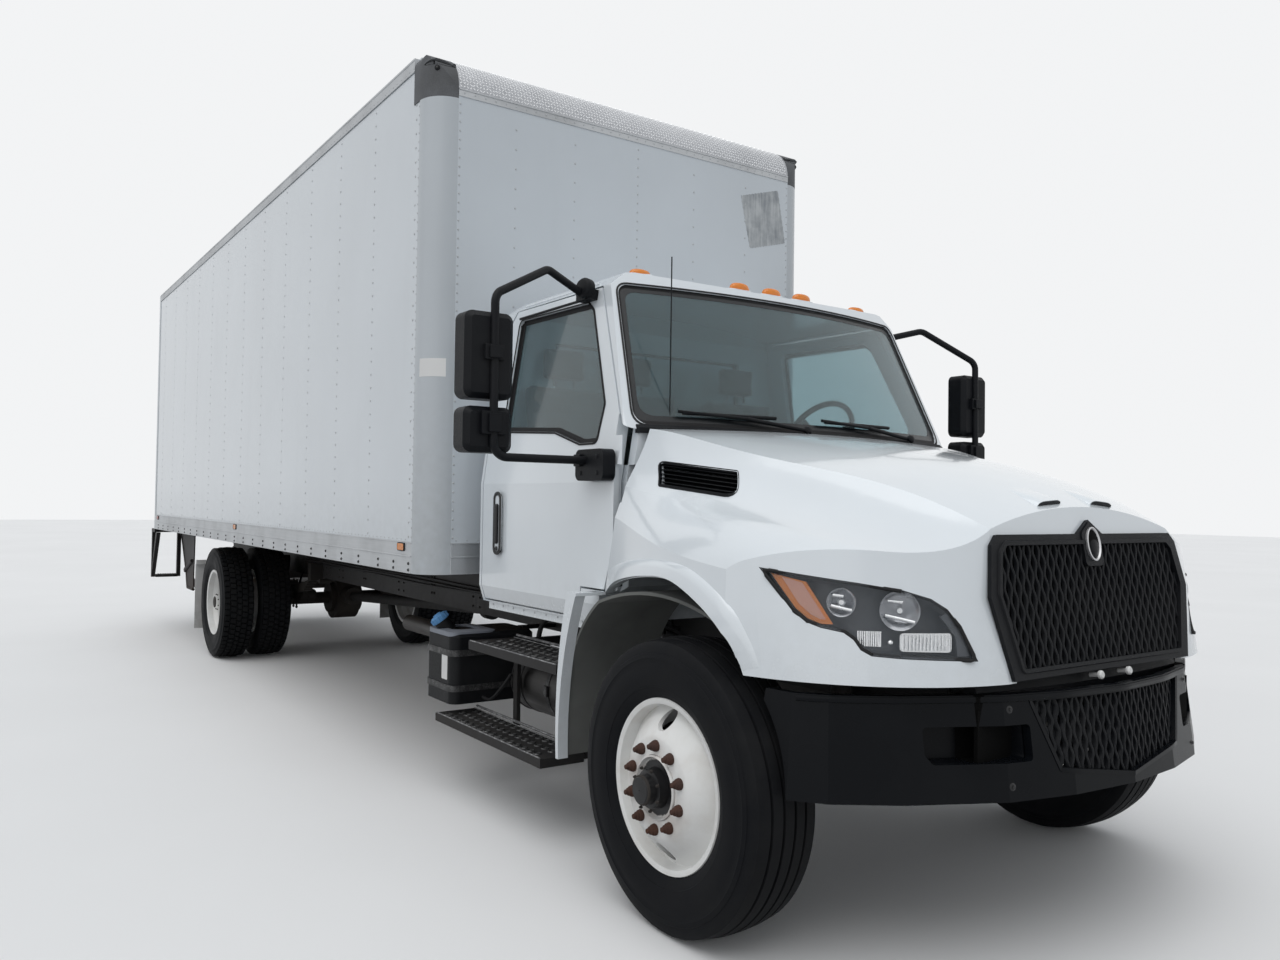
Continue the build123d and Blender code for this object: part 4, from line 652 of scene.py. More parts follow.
def rectangle(low, high, radius, steps, parts):
    """Closed outline of a rectangle with rounded corners."""
    (left, foot), (right, top) = low, high
    return rounded([(left, foot), (right, foot), (right, top), (left, top)], radius, steps, parts)


def outward(outline):
    """Outward directions of a closed flat outline that runs either way."""
    around = list(zip(outline, outline[1:] + outline[:1]))
    turn = math.copysign(1, sum(a.x * b.y - b.x * a.y for a, b in around))
    ways = []
    for before, after in zip(outline[-1:] + outline[:-1], outline[1:] + outline[:1]):
        run = (after - before).normalized()
        ways.append(Vector((run.y, -run.x)) * turn)
    return ways


def add_trim(bm, outline, section, place):
    """Closed band along an outline; section holds its (outward offset, height) corners."""
    rows = [
        [place(p + way * off, height) for off, height in section]
        for p, way in zip(outline, outward(outline))
    ]
    add_rows(bm, rows, wrap=True)


def add_slab(bm, outline, low, high, place):
    """Plate with an outline, between two heights."""
    add_rows(bm, [[place(Vector(p), height) for p in outline] for height in (low, high)])


# Skins of the CAD nodes, met by rays from outside
trees = {}


def strike(names, start, way):
    """Nearest point and normal where a ray meets any of some CAD nodes."""
    best = None
    for name in names:
        if name not in trees:
            trees[name] = BVHTree.FromObject(nodes[name], bpy.context.evaluated_depsgraph_get())
        spot, normal, _, far = trees[name].ray_cast(start, way)
        if spot is not None and (best is None or far < best[2]):
            best = (spot, -normal if normal.dot(way) > 0 else normal, far)
    return best


def skin(names, start, way):
    """Map (point, height) onto nodes; start turns an outline point into the ray's start."""
    way, last = Vector(way).normalized(), {}

    def place(point, height):
        begin = start(point)
        found = strike(names, begin, way)
        if found:
            last["depth"], last["normal"] = found[0].dot(way), found[1]
        elif not last:
            spot, normal, _, _ = trees[names[0]].find_nearest(begin)
            last["depth"], last["normal"] = spot.dot(way), normal
        return begin + way * (last["depth"] - begin.dot(way)) + last["normal"] * height

    return place


def from_front(*names):
    return skin(names, lambda p: Vector((9, p[0], p[1])), -AHEAD)


def from_back(*names):
    return skin(names, lambda p: Vector((-9, p[0], p[1])), AHEAD)


def from_side(side, *names):
    return skin(names, lambda p: at(p[0], side * 3, p[1]), -side * ACROSS)


def from_top(*names):
    return skin(names, lambda p: at(p[0], p[1], 6), -UP)


def plane_from(corners, place):
    """Map ((s, t), height) onto the patch between four outline corners, for places inside an opening."""
    spots = [place(Vector(c), 0.0) for c in corners]
    normal = (spots[2] - spots[0]).cross(spots[3] - spots[1]).normalized()
    if normal.dot(place(Vector(corners[0]), 1.0) - spots[0]) < 0:
        normal = -normal

    def inside(point, height):
        s, t = point
        low, high = spots[0].lerp(spots[1], s), spots[3].lerp(spots[2], s)
        return low.lerp(high, t) + normal * height

    return inside


# Tyres
BEAD_RADIUS = 0.289
HALF_TREAD = 0.118
TREAD_CROWN = 0.012
GROOVE = 0.0055
FRONT_TREAD_DEPTH = 0.013
REAR_TREAD_DEPTH = 0.015
LUGS_ROUND = 60
DRIVE_ROWS = [
    (-0.098, 0.038, 0.0, 0.02), (-0.047, 0.044, 0.5, 0.06), (0.0, 0.036, 0.0, 0.06),
    (0.047, 0.044, 0.5, 0.06), (0.098, 0.038, 0.0, 0.02),
]


def sidewall(half):
    """Tyre side profile from bead to shoulder, as (distance from the tyre's middle, radius)."""
    return [
        (half - 0.030, BEAD_RADIUS + 0.002), (half - 0.028, BEAD_RADIUS + 0.011),
        (half - 0.020, BEAD_RADIUS + 0.022), (half - 0.014, BEAD_RADIUS + 0.034),
        (half - 0.008, BEAD_RADIUS + 0.050), (half - 0.006, BEAD_RADIUS + 0.051),
        (half - 0.001, BEAD_RADIUS + 0.078), (half, BEAD_RADIUS + 0.100), (half - 0.001, BEAD_RADIUS + 0.124),
        (half - 0.004, BEAD_RADIUS + 0.146), (half - 0.0025, BEAD_RADIUS + 0.150),
        (half - 0.006, BEAD_RADIUS + 0.166), (half - 0.009, BEAD_RADIUS + 0.168),
        (half - 0.013, TYRE_RADIUS - 0.032), (HALF_TREAD + 0.005, TYRE_RADIUS - 0.020),
    ]


def crown(y):
    """Tread radius at a distance from the tyre's middle."""
    return TYRE_RADIUS - TREAD_CROWN * (y / HALF_TREAD) ** 2


def tread_profile(ribs, depth):
    """Crowned tread across the tyre with grooves between ribs."""
    points = []
    for index in range(ribs):
        left = -HALF_TREAD + 2 * HALF_TREAD * index / ribs
        right = left + 2 * HALF_TREAD / ribs
        for y in (left + (GROOVE if index else 0), right - (GROOVE if index < ribs - 1 else 0)):
            points.append((y, crown(y)))
        if index < ribs - 1:
            points += [(right + way * GROOVE * 0.6, TYRE_RADIUS - depth) for way in (-1, 1)]
    return points


def add_tyre(bm, hub, side, middle, tread, steps):
    """Tyre about an axle with a given tread section."""
    flank = sidewall(TYRE_WIDTH / 2)
    profile = [(middle - s, r) for s, r in flank] + [(middle + s, r) for s, r in tread]
    profile += [(middle + s, r) for s, r in reversed(flank)]
    add_lathe(bm, hub, side * ACROSS, profile, steps, ends=False)


def add_lugs(bm, hub, side, middle):
    """Tread blocks in rows of (offset, width, phase, lean) standing on a rear tyre's base."""
    pitch = 2 * math.pi / LUGS_ROUND
    for offset, width, phase, lean in DRIVE_ROWS:
        top = crown(offset) - 0.0005
        for index in range(LUGS_ROUND):
            start = (index + phase) * pitch
            corners = []
            foot = top - REAR_TREAD_DEPTH - 0.002
            for radius, shrink in ((foot, 0.0), (top, 0.0015)):
                reach = pitch * 0.40 - shrink / top
                for sy, sa in ((-1, -1), (1, -1), (1, 1), (-1, 1)):
                    angle = start + sa * reach + sy * lean * pitch
                    y = side * (middle + offset + sy * (width / 2 - shrink))
                    spot = (hub.x + radius * math.cos(angle), y, hub.z + radius * math.sin(angle))
                    corners.append(bm.verts.new(spot))
            for face in ((4, 5, 6, 7), (0, 1, 5, 4), (1, 2, 6, 5), (2, 3, 7, 6), (3, 0, 4, 7)):
                bm.faces.new([corners[i] for i in face])


def tyre_pieces():
    """Front ribbed tyres and rear lugged twin tyres in place of the plain CAD ones."""
    edge_radius = crown(HALF_TREAD) - REAR_TREAD_DEPTH
    base = [(-HALF_TREAD, edge_radius), (0, TYRE_RADIUS - REAR_TREAD_DEPTH), (HALF_TREAD, edge_radius)]
    for side, word in SIDES:
        low, high = span(f"tyre_front_{word}")
        bm = bmesh.new()
        add_tyre(bm, AXLE, side, abs(low.y + high.y) / 2, tread_profile(5, FRONT_TREAD_DEPTH), 144)
        piece = new_piece(f"front_tyre_{word}", bm, f"wheel_front_{word}_body", "tyre_front")
        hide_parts(f"tyre_front_{word}")
        low, high = span(f"tyres_rear_{word}")
        bm = bmesh.new()
        for edge, sign in ((max(abs(low.y), abs(high.y)), -1), (min(abs(low.y), abs(high.y)), 1)):
            middle = edge + sign * TYRE_WIDTH / 2
            add_tyre(bm, REAR_AXLE, side, middle, base, 120)
            add_lugs(bm, REAR_AXLE, side, middle)
        piece = new_piece(f"rear_tyres_{word}", bm, f"wheel_rear_{word}_body", "tyre_rear")
        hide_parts(f"tyres_rear_{word}")


# Wheels: sections run as (distance outward from the disc's middle, radius)
DISC_MIDDLE = 1.077
RIM_HALF = 0.117
FACE = 0.150
HUB_BACK = 0.045
NUT_CIRCLE = 0.1429
NUT_COUNT = 10
HAND_HOLES = (0.226, -0.226)
HAND_HOLE_RADIUS = 0.0345
RIM = [
    (-RIM_HALF, 0.298), (-RIM_HALF + 0.012, 0.298), (-RIM_HALF + 0.012, 0.289), (-RIM_HALF + 0.055, 0.285),
    (-0.020, 0.267), (0.030, 0.267), (RIM_HALF - 0.050, 0.285), (RIM_HALF - 0.012, 0.289),
    (RIM_HALF - 0.012, 0.298), (RIM_HALF - 0.006, 0.3005), (RIM_HALF, 0.298), (RIM_HALF - 0.001, 0.288),
    (RIM_HALF - 0.004, 0.279), (RIM_HALF - 0.052, 0.274), (0.028, 0.258), (-0.022, 0.258),
    (-RIM_HALF + 0.053, 0.276), (-RIM_HALF + 0.003, 0.276),
]
BOWL = [
    (FACE, 0.111), (FACE, 0.166), (FACE - 0.004, 0.176), (FACE - 0.013, 0.190), (FACE - 0.030, 0.212),
    (FACE - 0.052, 0.234), (FACE - 0.070, 0.250), (FACE - 0.082, 0.262), (FACE - 0.088, 0.2745),
    (FACE - 0.102, 0.2725), (FACE - 0.096, 0.258), (FACE - 0.082, 0.242), (FACE - 0.062, 0.224),
    (FACE - 0.042, 0.204), (FACE - 0.024, 0.180), (FACE - 0.012, 0.162), (FACE - 0.012, 0.111),
]
HUB = [
    (HUB_BACK, 0.060), (HUB_BACK, 0.150), (0.060, 0.163), (FACE - 0.0125, 0.163), (FACE - 0.0125, 0.1095),
    (FACE + 0.006, 0.1095), (FACE + 0.010, 0.104), (FACE - 0.006, 0.098), (FACE - 0.004, 0.070),
    (FACE + 0.012, 0.066), (FACE + 0.030, 0.066), (FACE + 0.034, 0.052), (FACE + 0.060, 0.050),
    (FACE + 0.068, 0.042), (FACE + 0.070, 0.002), (HUB_BACK, 0.002),
]
NUT = [
    (0, 0.0200), (0.005, 0.0205), (0.013, 0.0188), (0.016, 0.0155), (0.024, 0.0140), (0.026, 0.0098),
    (0.036, 0.0088), (0.038, 0.006),
]
DRUM = [(-0.050, 0.170), (-0.050, 0.212), (0.024, 0.214), (0.030, 0.208), (0.034, 0.165)]


def add_disc_ring(bm, side, outline, steps):
    """Closed ring about the front axle, with a closed section."""
    rows = []
    for a in turns(steps):
        rows.append([
            AXLE + Vector((r * math.cos(a), side * (DISC_MIDDLE + s), r * math.sin(a)))
            for s, r in outline
        ])
    add_rows(bm, rows, wrap=True)


def cut_hand_holes(piece, side):
    """Two round holes through the bowl of a front wheel."""
    cutter = bmesh.new()
    for z in HAND_HOLES:
        inner, outer = (AXLE + Vector((0, side * y, z)) for y in (1.0, 1.3))
        add_rod(cutter, inner, outer, HAND_HOLE_RADIUS, 40)
    bmesh.ops.recalc_face_normals(cutter, faces=cutter.faces)
    mesh = bpy.data.meshes.new("cutter")
    cutter.to_mesh(mesh)
    cutter.free()
    tool = bpy.data.objects.new("cutter", mesh)
    bpy.context.scene.collection.objects.link(tool)
    cut = piece.modifiers.new("holes", "BOOLEAN")
    cut.operation, cut.object, cut.solver = "DIFFERENCE", tool, "EXACT"
    bake(piece)
    bpy.data.objects.remove(tool)
    bpy.data.meshes.remove(mesh)


def front_wheel(side, word, body):
    """Front disc wheel: bowl with two round hand holes, rim and black hub."""
    bm = bmesh.new()
    add_disc_ring(bm, side, BOWL, 96)
    piece = new_piece(f"front_wheel_{word}", bm, body, "wheel_front", smooth=28)
    cut_hand_holes(piece, side)
    bm = bmesh.new()
    bm.from_mesh(piece.data)
    add_disc_ring(bm, side, RIM, 96)
    add_disc_ring(bm, side, HUB, 64)
    bmesh.ops.recalc_face_normals(bm, faces=bm.faces)
    bm.to_mesh(piece.data)
    bm.free()
    piece.data.shade_smooth()
    piece.data.set_sharp_from_angle(angle=math.radians(28))
    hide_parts(f"wheel_front_{word}")


def front_wheels():
    """Front wheels with the brake drum behind the disc and rusty nuts on it."""
    for side, word in SIDES:
        body = f"wheel_front_{word}_body"
        front_wheel(side, word, body)
        bm = bmesh.new()
        add_lathe(bm, AXLE + Vector((0, side * DISC_MIDDLE, 0)), side * ACROSS, DRUM, 56)
        new_piece(f"brake_drum_{word}", bm, body, "axle_iron")
        bm = bmesh.new()
        foot = side * (DISC_MIDDLE + FACE - 0.001)
        for a in turns(NUT_COUNT, 0.5):
            spot = AXLE + Vector((NUT_CIRCLE * math.cos(a), foot, NUT_CIRCLE * math.sin(a)))
            add_lathe(bm, spot, side * ACROSS, NUT, 12)
        new_piece(f"wheel_nuts_{word}", bm, body, "nut_rust", smooth=25)


CAP_BOLT_CIRCLE = 0.072
VALVE_ANGLE = 0.32
VALVE_CIRCLE = 0.205
VALVE_DEPTH = 0.150


def hub_details():
    """Hub cap plates with bolts on every wheel, and valve stems on the rear ones."""
    for side, word in SIDES:
        for node, body, hub in (
            (f"wheel_front_{word}", f"wheel_front_{word}_body", AXLE),
            (f"wheels_rear_{word}", f"wheel_rear_{word}_body", REAR_AXLE),
        ):
            low, high = span(node)
            out = max(abs(low.y), abs(high.y))
            bm = bmesh.new()
            plate = [(0, 0.052), (0.006, 0.050), (0.009, 0.040), (0.006, 0.012)]
            add_lathe(bm, (hub.x, side * (out - 0.012), hub.z), side * ACROSS, plate, 24)
            for a in turns(8, 0.5):
                reach = Vector((CAP_BOLT_CIRCLE * math.cos(a), 0, CAP_BOLT_CIRCLE * math.sin(a)))
                add_dome(bm, hub + reach + side * (out - 0.030) * ACROSS, side * ACROSS, 0.007, 0.008, 6)
            if hub is REAR_AXLE:
                reach = VALVE_CIRCLE * Vector((math.cos(VALVE_ANGLE), 0, math.sin(VALVE_ANGLE)))
                start = hub + reach + side * (out - VALVE_DEPTH) * ACROSS
                add_rod(bm, start, start + Vector((0.018, side * 0.055, 0.006)), 0.006, 8)
            new_piece(f"hub_details_{node}", bm, body, "axle_iron")


# Hood, grille, bumper and headlamps
ARCH_EDGE = [
    (-0.622, 1.117), (-0.446, 1.178), (-0.202, 1.214), (-0.006, 1.213), (0.178, 1.142), (0.293, 1.055),
    (0.358, 0.955),
]
ARCH_CREASE = [
    (-0.575, 1.230), (-0.327, 1.272), (-0.100, 1.283), (0.105, 1.262), (0.290, 1.170), (0.372, 1.070),
    (0.425, 0.975),
]
VENT = [(-0.415, 1.650), (-0.046, 1.606), (0.034, 1.510), (-0.350, 1.553)]
GRILLE_FIELD = [
    (-0.476, 0.978), (-0.542, 1.210), (-0.512, 1.340), (-0.484, 1.364), (0.484, 1.364), (0.512, 1.340),
    (0.542, 1.210), (0.476, 0.978),
]
NOSE = 0.905
WEAVE_PITCH = 0.0247
WEAVE_PERIOD = 0.076
WEAVE_SWING = 0.0056
LIP_Z = 0.940
LEAN = math.atan2(65, 400)


def on_nose(point, height):
    """Place on the leaning plane of the nose."""
    y, z = point
    facing = Vector((math.cos(LEAN), 0, math.sin(LEAN)))
    return at(NOSE - (z - LIP_Z) * math.tan(LEAN), y, z) + height * facing


def hood_flares():
    """Raised lips round the hood's wheel arches, laid on its skin."""
    bm = bmesh.new()
    section = (
        (0.0, -0.004), (0.0, 0.012), (0.05, 0.016), (0.55, 0.014), (0.86, 0.009), (1.0, -0.002),
        (0.5, -0.003),
    )
    for side, _ in SIDES:
        place = from_side(side, "hood")
        rows = []
        edge = curve([(x, z, 0) for x, z in ARCH_EDGE], 8)
        crease = curve([(x, z, 0) for x, z in ARCH_CREASE], 8)
        for index, (low, high) in enumerate(zip(edge, crease)):
            ease = min(1.0, (index + 0.5) / 6, (len(edge) - index - 0.5) / 14)
            row = [
                place(low.lerp(high, max(t, 0.03)), height * (ease if height > 0 else 1))
                for t, height in section
            ]
            tuck = side * ACROSS * 0.034 + (high - low).normalized().xzy * 0.003
            lip = place(low.lerp(high, 0.03), 0.0) - tuck
            rows.append([lip] + row)
        add_rows(bm, rows)
    new_piece("hood_flares", bm, "hood_body", "cab_white", smooth=40)


def hood_scoops():
    """Two low blisters on the front of the dome, each with a black face in its forward-facing mouth that is
    painted shade for the hollow behind it.
    """
    shell, slots = bmesh.new(), bmesh.new()
    place = from_top("hood")
    half, front, length = 0.070, 0.790, 0.150
    for side, _ in SIDES:
        middle = side * 0.158
        rows = []
        for index in range(15):
            t = index / 14
            rise = 0.017 * t * t * (3 - 2 * t)
            row = []
            for step in range(15):
                across = step / 7 - 1
                y = middle + half * across * (0.80 + 0.20 * t)
                row.append(place((front - length * (1 - t), y), rise * (1 - abs(across) ** 6) - 0.001))
            rows.append(row)
        foot = [place((front, middle + half * (step / 7 - 1)), -0.003) for step in range(15)]
        tail = [place((front - length, middle + half * 0.8 * (step / 7 - 1)), -0.003) for step in range(15)]
        add_rows(shell, [tail] + rows + [foot], closed=False, wrap=True)
        # painted shade: a thin black band fills each scoop's mouth in place of its shaded hollow
        spots = [middle + half * 0.88 * (step / 7 - 1) for step in range(15)]
        low = [place((front + 0.002, y), 0.001) for y in spots]
        high = [
            place((front + 0.002, y), 0.001 + 0.0135 * (1 - abs((y - middle) / half) ** 6))
            for y in spots
        ]
        back_high, back_low = ([p - AHEAD * 0.006 for p in row] for row in (high, low))
        add_rows(slots, [low, high, back_high, back_low], closed=False, wrap=True)
    new_piece("hood_scoops", shell, "hood_body", "cab_white", smooth=50)
    new_piece("hood_scoop_mouth_shade", slots, "hood_body", "black_plastic")


def vent_louvres():
    """Black surround and slats in the hood's side vents."""
    bm = bmesh.new()
    slat = ((0.0, -0.008), (0.035, -0.006), (-0.075, -0.040), (-0.11, -0.042))
    surround = [(0.004, -0.002), (0.004, 0.0025), (-0.007, 0.0025), (-0.007, -0.03)]
    for side, _ in SIDES:
        place = from_side(side, "hood")
        mid = Vector((sum(x for x, _ in VENT) / 4, sum(z for _, z in VENT) / 4))
        corners = [mid + (Vector(c) - mid) * 1.05 for c in VENT]
        inside = plane_from(corners, place)
        add_slab(bm, [(0.01, 0.02), (0.99, 0.02), (0.99, 0.98), (0.01, 0.98)], -0.050, -0.044, inside)
        add_trim(bm, rounded(VENT, 0.016, 4, 5), surround, place)
        for index in range(6):
            t = 0.10 + index * 0.16
            rows = [[inside((s, t + dt), height) for dt, height in slat] for s in (0.03, 0.35, 0.68, 0.97)]
            add_rows(bm, rows)
    new_piece("vent_louvres", bm, "hood_body", "black_plastic")


def add_weave(bm, field, place, low, high):
    """Fill a field with wavy upright bars that touch by turns and leave tall staggered slots."""
    ys = [p[0] for p in field]
    around = [Vector(p) for p in field]
    count = int((max(ys) - min(ys)) / WEAVE_PITCH)
    for index in range(count + 1):
        y = min(ys) + WEAVE_PITCH * (index + 0.5)
        cuts = []
        for a, b in zip(around, around[1:] + around[:1]):
            if (a.x - y) * (b.x - y) < 0:
                cuts.append(a.y + (b.y - a.y) * (y - a.x) / (b.x - a.x))
        if len(cuts) < 2 or max(cuts) - min(cuts) < 0.02:
            continue
        start, end = min(cuts), max(cuts)
        parts = max(2, round((end - start) / (WEAVE_PERIOD / 8)))
        phase = math.pi * index
        rows = []
        for step in range(parts + 1):
            z = start + (end - start) * step / parts
            bend = WEAVE_SWING * math.cos(2 * math.pi * (z - 1.0) / WEAVE_PERIOD + phase)
            section = (
                (-0.0072, low), (-0.0055, high - 0.002), (0.0, high), (0.0055, high - 0.002), (0.0072, low),
            )
            rows.append([place((y + bend + dy, z), height) for dy, height in section])
        add_rows(bm, rows)


def grille_pieces():
    """Stepped lip round the woven field, the weave, and a black sheet behind it that is painted shade for the
    hollow inside the grille.
    """
    bm = bmesh.new()
    field = rounded(GRILLE_FIELD, 0.012, 3, 6)
    add_trim(bm, field, [(-0.001, 0.006), (-0.001, 0.021), (0.011, 0.021), (0.015, 0.0145)], on_nose)
    pad = rounded([(-0.052, 1.288), (0.052, 1.288), (0.058, 1.40), (0.0, 1.442), (-0.058, 1.40)], 0.02, 4, 2)
    add_slab(bm, pad, -0.008, 0.019, on_nose)
    new_piece("grille_trim", bm, "hood_body", "black_plastic")
    bm = bmesh.new()
    add_weave(bm, GRILLE_FIELD, on_nose, 0.0, 0.0115)
    new_piece("grille_weave", bm, "hood_body", "black_plastic", smooth=50)
    # painted shade: a black sheet behind the weave in place of the shaded hollow inside the grille
    bm = bmesh.new()
    add_slab(bm, field, -0.0300, -0.0275, on_nose)
    new_piece("grille_shade_sheet", bm, "hood_body", "black_plastic")


def emblem():
    """Plain oval blank with a satin rim at the peak of the grille."""
    bm, rim = bmesh.new(), bmesh.new()
    centre = Vector((0, 1.362))
    oval = [centre + Vector((0.040 * math.cos(a), 0.058 * math.sin(a))) for a in turns(40)]
    section = [(0.0, 0.018), (0.0, 0.026), (-0.003, 0.028), (-0.007, 0.025), (-0.008, 0.018)]
    add_trim(rim, oval, section, on_nose)
    swell = ((0.86, 0.020), (0.80, 0.0235), (0.45, 0.026), (0.12, 0.027))
    add_rows(bm, [[on_nose(centre + (p - centre) * scale, height) for p in oval] for scale, height in swell])
    new_piece("emblem_blank", bm, "hood_body", "black_bumper", smooth=60)
    new_piece("emblem_rim", rim, "hood_body", "satin_chrome", smooth=50)


def hood_pins():
    """Two pale pins below the grille."""
    bm = bmesh.new()
    for y in (-0.061, 0.112):
        add_rod(bm, at(0.885, y, 0.926), at(0.918, y, 0.931), 0.008, 12)
        head = [(0, 0.010), (0.004, 0.0145), (0.012, 0.0145), (0.016, 0.010)]
        add_lathe(bm, at(0.915, y, 0.930), (1, 0, 0.15), head, 16)
    new_piece("hood_pins", bm, "chassis", "label_white")


BUMPER_BENDS = ((0.0, 1.010), (0.300, 0.985), (0.560, 0.925), (0.860, 0.775), (1.050, 0.640), (1.128, 0.540))
BUMPER_FOOT = 0.585
BUMPER_SLOPE = 0.1228
MESH_HALF = 0.42


def on_bumper(point, height):
    """Place on the bent and leaning front face of the bumper, whose bends are (y, station) at its foot."""
    across, z = abs(point[0]), point[1]
    for (y_a, x_a), (y_b, x_b) in zip(BUMPER_BENDS, BUMPER_BENDS[1:]):
        if across <= y_b:
            break
    station = x_a + (x_b - x_a) * (across - y_a) / (y_b - y_a) - BUMPER_SLOPE * (z - BUMPER_FOOT)
    return at(station + height, point[0], z)


def bumper_trim():
    """Rolled top lip of the bumper and the border of its mesh."""
    place = from_front("front_bumper")
    bm = bmesh.new()
    lip = ((0.900, 0.0), (0.9005, 0.006), (0.893, 0.0075), (0.884, 0.005), (0.882, -0.001))
    ys = [-1.085 + 2.17 * index / 56 for index in range(57)]
    add_rows(bm, [[place((y, z), height) for z, height in lip] for y in ys])
    border = rounded(
        [(-0.450, 0.890), (-0.352, 0.662), (0.0, 0.612), (0.352, 0.662), (0.450, 0.890)], 0.012, 3, 8,
    )
    add_trim(bm, border, [(0.004, -0.002), (0.004, 0.0025), (-0.010, 0.0025), (-0.012, -0.020)], place)
    new_piece("bumper_trim", bm, "chassis", "black_bumper")


def bumper_weave():
    """Woven lattice in front of the bumper's coarser solid one."""
    bm = bmesh.new()
    depths = {}

    def on_mesh(point, height):
        key = max(-MESH_HALF, min(MESH_HALF, round(point[0], 2)))
        if key not in depths:
            tries = [
                Vector((9, key + dy, 0.70 + 0.006 * i))
                for dy in (-0.008, 0.0, 0.008)
                for i in range(20)
            ]
            found = [(strike(["bumper_grille"], start, -AHEAD), start.z) for start in tries]
            faces = [hit[0].x + BUMPER_SLOPE * z for hit, z in found if hit]
            depths[key] = max(faces, default=on_bumper((key, 0.0), -0.02).x)
        return Vector((depths[key] - BUMPER_SLOPE * point[1] + height, *point))

    field = [(-0.440, 0.880), (-0.352, 0.672), (0.0, 0.622), (0.352, 0.672), (0.440, 0.880)]
    add_weave(bm, field, on_mesh, 0.0, 0.0115)
    new_piece("bumper_weave", bm, "chassis", "black_plastic", smooth=50)


def fog_recesses():
    """Recesses for fog lamps, with the bumper's bolts beside them."""
    place = from_front("front_bumper")
    bolts, recess = bmesh.new(), bmesh.new()
    for side, _ in SIDES:
        for y, z in ((0.527, 0.860), (0.544, 0.630)):
            spot, normal = place((side * y, z), 0.0), place((side * y, z), 1.0)
            add_dome(bolts, spot, normal - spot, 0.013, 0.002, 16)
            add_dome(bolts, spot, normal - spot, 0.0075, 0.006, 6)
        corners = ((0.452, 0.697), (0.775, 0.697), (0.797, 0.722), (0.797, 0.818), (0.452, 0.818))
        outline = rounded([(side * y, z) for y, z in corners], 0.014, 4, 5)
        mid = Vector((side * 0.625, 0.757))
        ring = [(1.05, -0.034), (0.985, -0.034), (0.93, -0.083), (1.05, -0.083)]
        rows = [[on_bumper(mid + (p - mid) * scale, height) for scale, height in ring] for p in outline]
        add_rows(recess, rows, wrap=True)
        add_slab(recess, [mid + (p - mid) * 1.04 for p in outline], -0.090, -0.082, on_bumper)
    new_piece("bumper_bolts", bolts, "chassis", "black_gloss")
    new_piece("fog_recesses", recess, "chassis", "black_bumper")


def nose_valance():
    """Black strip between the bumper and the grille."""
    bm = bmesh.new()
    section = ((0, 0.875), (0.012, 0.905), (0.004, 0.932), (-0.03, 0.937), (-0.035, 0.875))
    rows = []
    for index in range(25):
        y = -0.60 + 1.2 * index / 24
        x = 0.862 - 0.12 * y * y
        rows.append([at(x + dx, y, z) for dx, z in section])
    add_rows(bm, rows)
    new_piece("nose_valance", bm, "chassis", "black_plastic")


LAMP_OUTLINE = [
    (-0.327, 1.281), (-0.026, 1.245), (0.104, 1.226), (0.190, 1.200), (0.238, 1.169), (0.277, 1.118),
    (0.326, 1.018), (0.105, 1.027), (0.020, 1.033), (-0.011, 1.049), (-0.033, 1.079), (-0.064, 1.100),
    (-0.135, 1.112), (-0.180, 1.127), (-0.222, 1.158),
]
AMBER = [
    (-0.300, 1.270), (-0.234, 1.256), (-0.186, 1.247), (-0.150, 1.196), (-0.098, 1.120), (-0.134, 1.120),
    (-0.176, 1.134), (-0.216, 1.164),
]
AMBER_PALE = [
    (-0.262, 1.258), (-0.230, 1.252), (-0.196, 1.243), (-0.160, 1.192), (-0.120, 1.134), (-0.138, 1.134),
    (-0.168, 1.148), (-0.205, 1.178),
]
BEZEL = [(0.275, 1.030), (0.316, 1.028), (0.272, 1.112), (0.240, 1.160), (0.222, 1.150), (0.268, 1.090)]
LAMP_BOWLS = (((-0.075, 1.187), 0.042), ((0.102, 1.166), 0.058))
# Painted highlights on the headlamp bowls: bright bars as ((ends across and up, in bowl radii), thickness)
LAMP_GLINTS = ((((-0.75, -0.26), (0.78, -0.58)), 0.006), (((-0.62, 0.52), (0.15, 0.46)), 0.005))


def lamp_shell(target, side, facing, outer):
    """Thin shell from the solid lamp of one side: its outer face, or all of the rest as the housing."""
    part = bmesh.new()
    part.from_mesh(nodes["headlamps"].data)
    bmesh.ops.remove_doubles(part, verts=part.verts, dist=2e-5)
    drop = []
    for face in part.faces:
        if face.calc_center_median().y * side < 0 or (face.normal.dot(facing) > 0.35) != outer:
            drop.append(face)
    bmesh.ops.delete(part, geom=drop, context="FACES")
    bmesh.ops.solidify(part, geom=part.faces, thickness=0.0025 if outer else -0.0015)
    mesh = bpy.data.meshes.new("scratch")
    part.to_mesh(mesh)
    part.free()
    target.from_mesh(mesh)
    bpy.data.meshes.remove(mesh)


def lamp_bowls(bowls, chrome, place, facing, run):
    """The two round reflectors of a headlamp, each with a bulb shield and two bright bars that are painted
    highlights.
    """
    for spot, radius in LAMP_BOWLS:
        centre = place(spot, -0.010) - facing * 0.006
        back = min(0.030, radius * 0.7)
        dish = [
            (-back, 0.008), (-back * 0.82, radius * 0.45), (-back * 0.45, radius * 0.78), (0, radius),
            (0.002, radius + 0.003), (-0.004, radius + 0.004), (-back * 0.5, radius * 0.84),
            (-back * 1.05, 0.010),
        ]
        add_lathe(bowls, centre, facing, dish, 36)
        shield = [(-back * 0.9, 0.011), (-back * 0.35, 0.013), (-back * 0.1, 0.008)]
        add_lathe(chrome, centre, facing, shield, 20)
        # painted highlights: bright bars across the bowl stand in for glints on its chrome
        for ends, thick in LAMP_GLINTS:
            bar = [
                centre + run * (radius * across) + UP * (radius * up) - facing * 0.003
                for across, up in ends
            ]
            add_rod(chrome, bar[0], bar[1], thick, 10)


